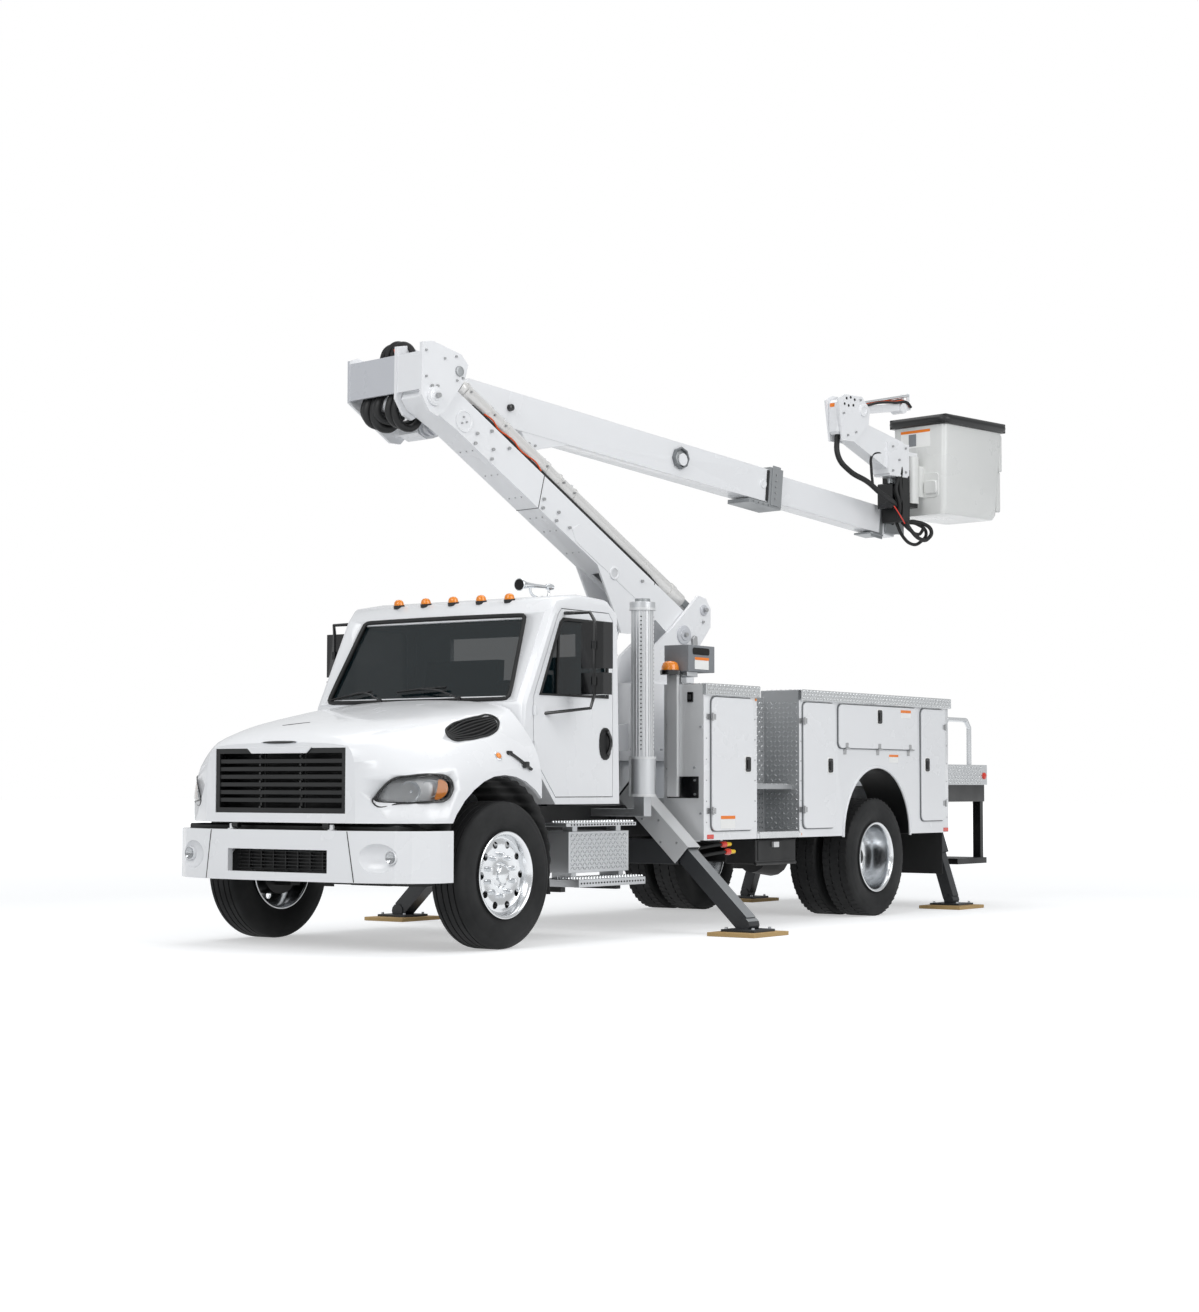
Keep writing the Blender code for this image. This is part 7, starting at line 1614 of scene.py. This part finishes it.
# Platform bracket, jib and bucket
# A galvanised pin bracket, a black swivel case and a white cast mast with the jib's pinned head; a moulded
# fibreglass tub with a padded black vinyl lip, and black hoses looped to the head and under the tub.
droop = math.radians(UPPER_PITCH)
TIP_X = (ELBOW[0] - UPPER_BACK) - UPPER_LENGTH * math.cos(droop) - UPPER_RISE * math.sin(droop)
TIP_Z = (ELBOW[1] - UPPER_DROP) - UPPER_LENGTH * math.sin(droop) + UPPER_RISE * math.cos(droop)
tip = framed(TIP_X, 0.0, TIP_Z)
to_tip = tip.inverted()
HEAD = (0.735, 0.975)
bracket = skin("platform_bracket")
parted(bracket, "bracket_cheeks", bare_steel, lambda spot: (to_tip @ spot).y < -0.175
       and (to_tip @ spot).z < 0.2, "bare_steel")
parted(bracket, "bracket_mast", gloss_white, lambda spot: (to_tip @ spot).z > 0.50
       or (to_tip @ spot).x > 0.14, "white_paint")
for name, side, y in (("near", 1, 0.055), ("far", -1, -0.115)):
    holes = [(HEAD[0] + x, HEAD[1] + z)
             for x, z in ((0.25, 0.085), (0.19, 0.100), (0.13, 0.085), (0.22, 0.02), (0.15, 0.03),
                          (0.28, 0.03), (0.30, -0.06), (0.12, -0.22), (0.24, -0.26), (0.05, 0.09))]
    out = tip.to_3x3() @ Vector((0, side, 0))
    # Dark discs on the head, painted shade for its holes
    repeated(f"head_holes_{name}", "stud", {"Sides": 16, "Foot": 0.013, "Head": 0.012, "Height": 0.002},
             [(tip @ Vector((x, y + side * 0.001, z)), out) for x, z in holes[:6]], seam_shadow, "platform")
    bolts(f"head_bolts_{name}", tip, holes[6:], y + side * 0.005, side, 0.011, stainless, "platform")
    boss(f"head_pin_boss_{name}", tip, HEAD[0], HEAD[1], y, side,
         [(-0.002, 0.060), (0.010, 0.060), (0.014, 0.054), (0.014, 0.034), (0.006, 0.030), (0.006, 0.015)],
         gloss_white, "platform")
settled(turned("head_winch",
               [(-0.055, 0.0), (-0.055, 0.065), (-0.045, 0.065), (-0.045, 0.045), (0.045, 0.045),
                (0.045, 0.065),
                              (0.055, 0.065), (0.055, 0.0)],
               tip @ Vector((HEAD[0] + 0.18, -0.04, HEAD[1] - 0.20)), tip.to_3x3() @ Vector((0, 1, 0)), 36),
               cast_alloy, "platform")
block("head_nose", tip, (HEAD[0] + 0.24, -0.110, HEAD[1] - 0.25), (HEAD[0] + 0.335, 0.030, HEAD[1] + 0.070),
      gloss_white,
      "platform", 0.025)
block("head_sticker", tip, (HEAD[0] + 0.334, -0.075, HEAD[1] + 0.005),
      (HEAD[0] + 0.3365, -0.020, HEAD[1] + 0.040), orange_film,
      "platform", 0.0005)
block("mast_foot", tip, (0.06, -0.135, 0.40), (0.34, 0.065, 0.425), gloss_white, "platform", 0.006)
bolts("mast_bolts", tip, ((0.10, 0.45), (0.30, 0.45), (0.10, 0.68), (0.30, 0.68), (0.20, 0.56)), 0.062, 1,
      0.012, stainless,
      "platform")
block("valve_bank", tip, (0.10, -0.16, 0.10), (0.26, 0.02, 0.34), black_gloss, "platform", 0.01)
for number in range(5):
    settled(turned(f"valve_spool_{number}",
                   [(0.0, 0.0), (0.0, 0.014), (0.05, 0.014), (0.06, 0.006), (0.10, 0.006), (0.10, 0.0)],
                   tip @ Vector((0.125 + 0.028 * number, -0.03, 0.335)), (0, 0, 1), 16), bare_steel,
                   "platform")
pipe("valve_red_wire", [tip @ Vector(spot)
                        for spot in ((0.24, 0.03, 0.12), (0.17, 0.05, 0.03), (0.10, 0.05, -0.04))], 0.006,
     red_reflector, "platform", smooth=True)
HOSE_PATHS = (
    # name, radius, points from the tip pin
    ("head_hose", 0.026, ((HEAD[0] + 0.27, -0.04, HEAD[1] - 0.22), (HEAD[0] + 0.27, -0.03, 0.52),
                          (HEAD[0] + 0.15, 0.00, 0.40),
                          (0.64, 0.03, 0.31), (0.46, 0.04, 0.22), (0.25, 0.02, 0.16), (0.10, -0.02, 0.10))),
    ("mast_hose", 0.013, ((0.34, 0.02, 0.58), (0.50, 0.03, 0.60), (0.58, 0.03, 0.56), (0.60, 0.04, 0.44),
                          (0.58, 0.04, 0.30))),
    ("case_hose_0", 0.022, ((0.16, 0.02, 0.56), (0.15, 0.042, 0.48), (0.17, 0.046, 0.36),
                            (0.15, 0.04, 0.22), (0.10, 0.0, 0.12))),
    ("case_hose_1", 0.018, ((0.22, 0.02, 0.50), (0.20, 0.045, 0.40), (0.23, 0.048, 0.28),
                            (0.17, 0.04, 0.14), (0.12, 0.0, 0.02))),
    ("loop_hose_0", 0.019, ((0.06, 0.03, -0.02), (0.00, 0.05, -0.10), (-0.12, 0.06, -0.17),
                            (-0.26, 0.05, -0.16),
                            (-0.33, 0.04, -0.07), (-0.26, 0.00, -0.01), (-0.10, -0.06, 0.00))),
    ("loop_hose_1", 0.016, ((0.05, -0.02, -0.02), (-0.03, 0.0, -0.08), (-0.13, 0.01, -0.12),
                            (-0.22, 0.0, -0.10),
                            (-0.26, -0.01, -0.03), (-0.18, -0.04, 0.01), (-0.08, -0.08, 0.0))),
    ("loop_hose_2", 0.016, ((0.06, -0.08, -0.02), (-0.02, -0.07, -0.14), (-0.15, -0.06, -0.21),
                            (-0.29, -0.06, -0.18),
                            (-0.37, -0.05, -0.08), (-0.28, -0.08, -0.01), (-0.12, -0.10, 0.0))),
)
for name, radius, points in HOSE_PATHS:
    pipe(name, [tip @ Vector(spot) for spot in points], radius, rubber_trim, "platform", smooth=True,
         sides=4)
for number, (y, z) in enumerate(((-0.068, 0.150), (0.000, 0.150))):
    rod_spots = [(HEAD[0] - 0.02, y, HEAD[1] + 0.075), (HEAD[0] - 0.76, y, HEAD[1] + 0.235)]
    pipe(f"jib_tie_rod_{number}", [tip @ Vector(spot) for spot in rod_spots], 0.014, hard_chrome, "jib_arm")
    for part, (x, height) in (("root", (-0.02, 0.075)), ("end", (-0.76, 0.235))):
        block(f"jib_rod_{part}_{number}", tip, (HEAD[0] + x - 0.022, y - 0.008, HEAD[1] + height - 0.10),
              (HEAD[0] + x + 0.022, y + 0.008, HEAD[1] + height + 0.022), gloss_white, "jib_arm", 0.006)
for number, (y, material, lift) in enumerate(((-0.055, orange_hose, 0.062), (-0.028, rubber_trim, 0.070),
                                              (0.0, orange_hose, 0.060),
                                              (0.022, rubber_trim, 0.052))):
    spots = [(HEAD[0] - 0.06, y, HEAD[1] + lift), (HEAD[0] - 0.30, y, HEAD[1] + lift + 0.060),
             (HEAD[0] - 0.55, y, HEAD[1] + lift + 0.090),
             (HEAD[0] - 0.72, y, HEAD[1] + lift + 0.110), (HEAD[0] - 0.78, y, HEAD[1] + lift + 0.070)]
    pipe(f"jib_hose_{number}", [tip @ Vector(spot) for spot in spots], 0.013, material, "jib_arm",
         smooth=True)

TUB_FRONT = -0.105 - 0.13
TUB_LENGTH = 0.95
TUB_HALF = 0.315
TUB_Y = -0.03
tub = skin("bucket")
black_vinyl = surfaced("padded_black_vinyl", "121314", 0.38, ripple=0.25, ripple_mm=10, mottle=0.1,
                       blend=0.002)
parted(tub, "bucket_lip", black_vinyl, lambda spot: (to_tip @ spot).z > 0.932, "black_plastic")
LIP_OUT = 0.005
lip = [tip @ Vector((x, y, 0.985)) for x, y in round_corners(
    (TUB_FRONT - TUB_LENGTH - LIP_OUT, TUB_FRONT + LIP_OUT),
    (TUB_Y - TUB_HALF - LIP_OUT, TUB_Y + TUB_HALF + LIP_OUT), 0.055, 4)]
pad = pipe("bucket_lip_pad", lip, 0.046, black_vinyl, "work_bucket", closed=True, sides=6,
           slot="black_plastic")
for number, shift in enumerate((-0.026, 0.030)):
    pipe(f"bucket_lip_seam_{number}",
         [spot + Vector((0, 0, shift)) for spot in grown(lip, 1.062 if number else 1.064)], 0.0035,
         rubber_trim,
         "work_bucket", closed=True)


def tub_panel(name, y_span, z_span, proud, material, radius, low=-0.012):
    """A sheet on the tub's front face, leaning with it."""
    outline = [tip @ Vector((TUB_FRONT + low, y, z)) for y, z in round_corners(y_span, z_span, radius, 4)]
    push = tip.to_3x3() @ Vector((proud - low, 0, 0))
    return settled(plate_of(name, outline, push, min(0.012, proud * 0.45), 3), material, "work_bucket")


tub_panel("bucket_decal", (-0.245, 0.105), (0.735, 0.905), 0.0016, white_film, 0.006)
tub_panel("bucket_decal_strip", (-0.245, 0.105), (0.878, 0.905), 0.0026, orange_film, 0.004)
tub_panel("bucket_decal_panel", (-0.150, -0.060), (0.750, 0.868), 0.0024, grey_case, 0.004)
tub_panel("bucket_step_frame", (-0.300, 0.205), (0.235, 0.475), 0.008, gelcoat, 0.04)
for name, (y0, y1) in (("far", (-0.285, -0.105)), ("near", (0.045, 0.190))):
    tub_panel(f"bucket_step_{name}", (y0, y1), (0.270, 0.400), 0.026, gelcoat, 0.03)
bucket_frame = tip @ Matrix.Translation((TUB_FRONT - TUB_LENGTH, TUB_Y, 0))
block("bucket_fin_upper", bucket_frame, (-0.020, TUB_HALF - 0.075, 0.56), (0.030, TUB_HALF - 0.020, 0.925),
      gelcoat, "work_bucket", 0.010)
block("bucket_fin_lower", bucket_frame, (-0.012, TUB_HALF - 0.110, 0.16), (0.055, TUB_HALF - 0.035, 0.56),
      gelcoat, "work_bucket", 0.012)

# The scene brought up to date after its dressing
bpy.context.view_layer.update()
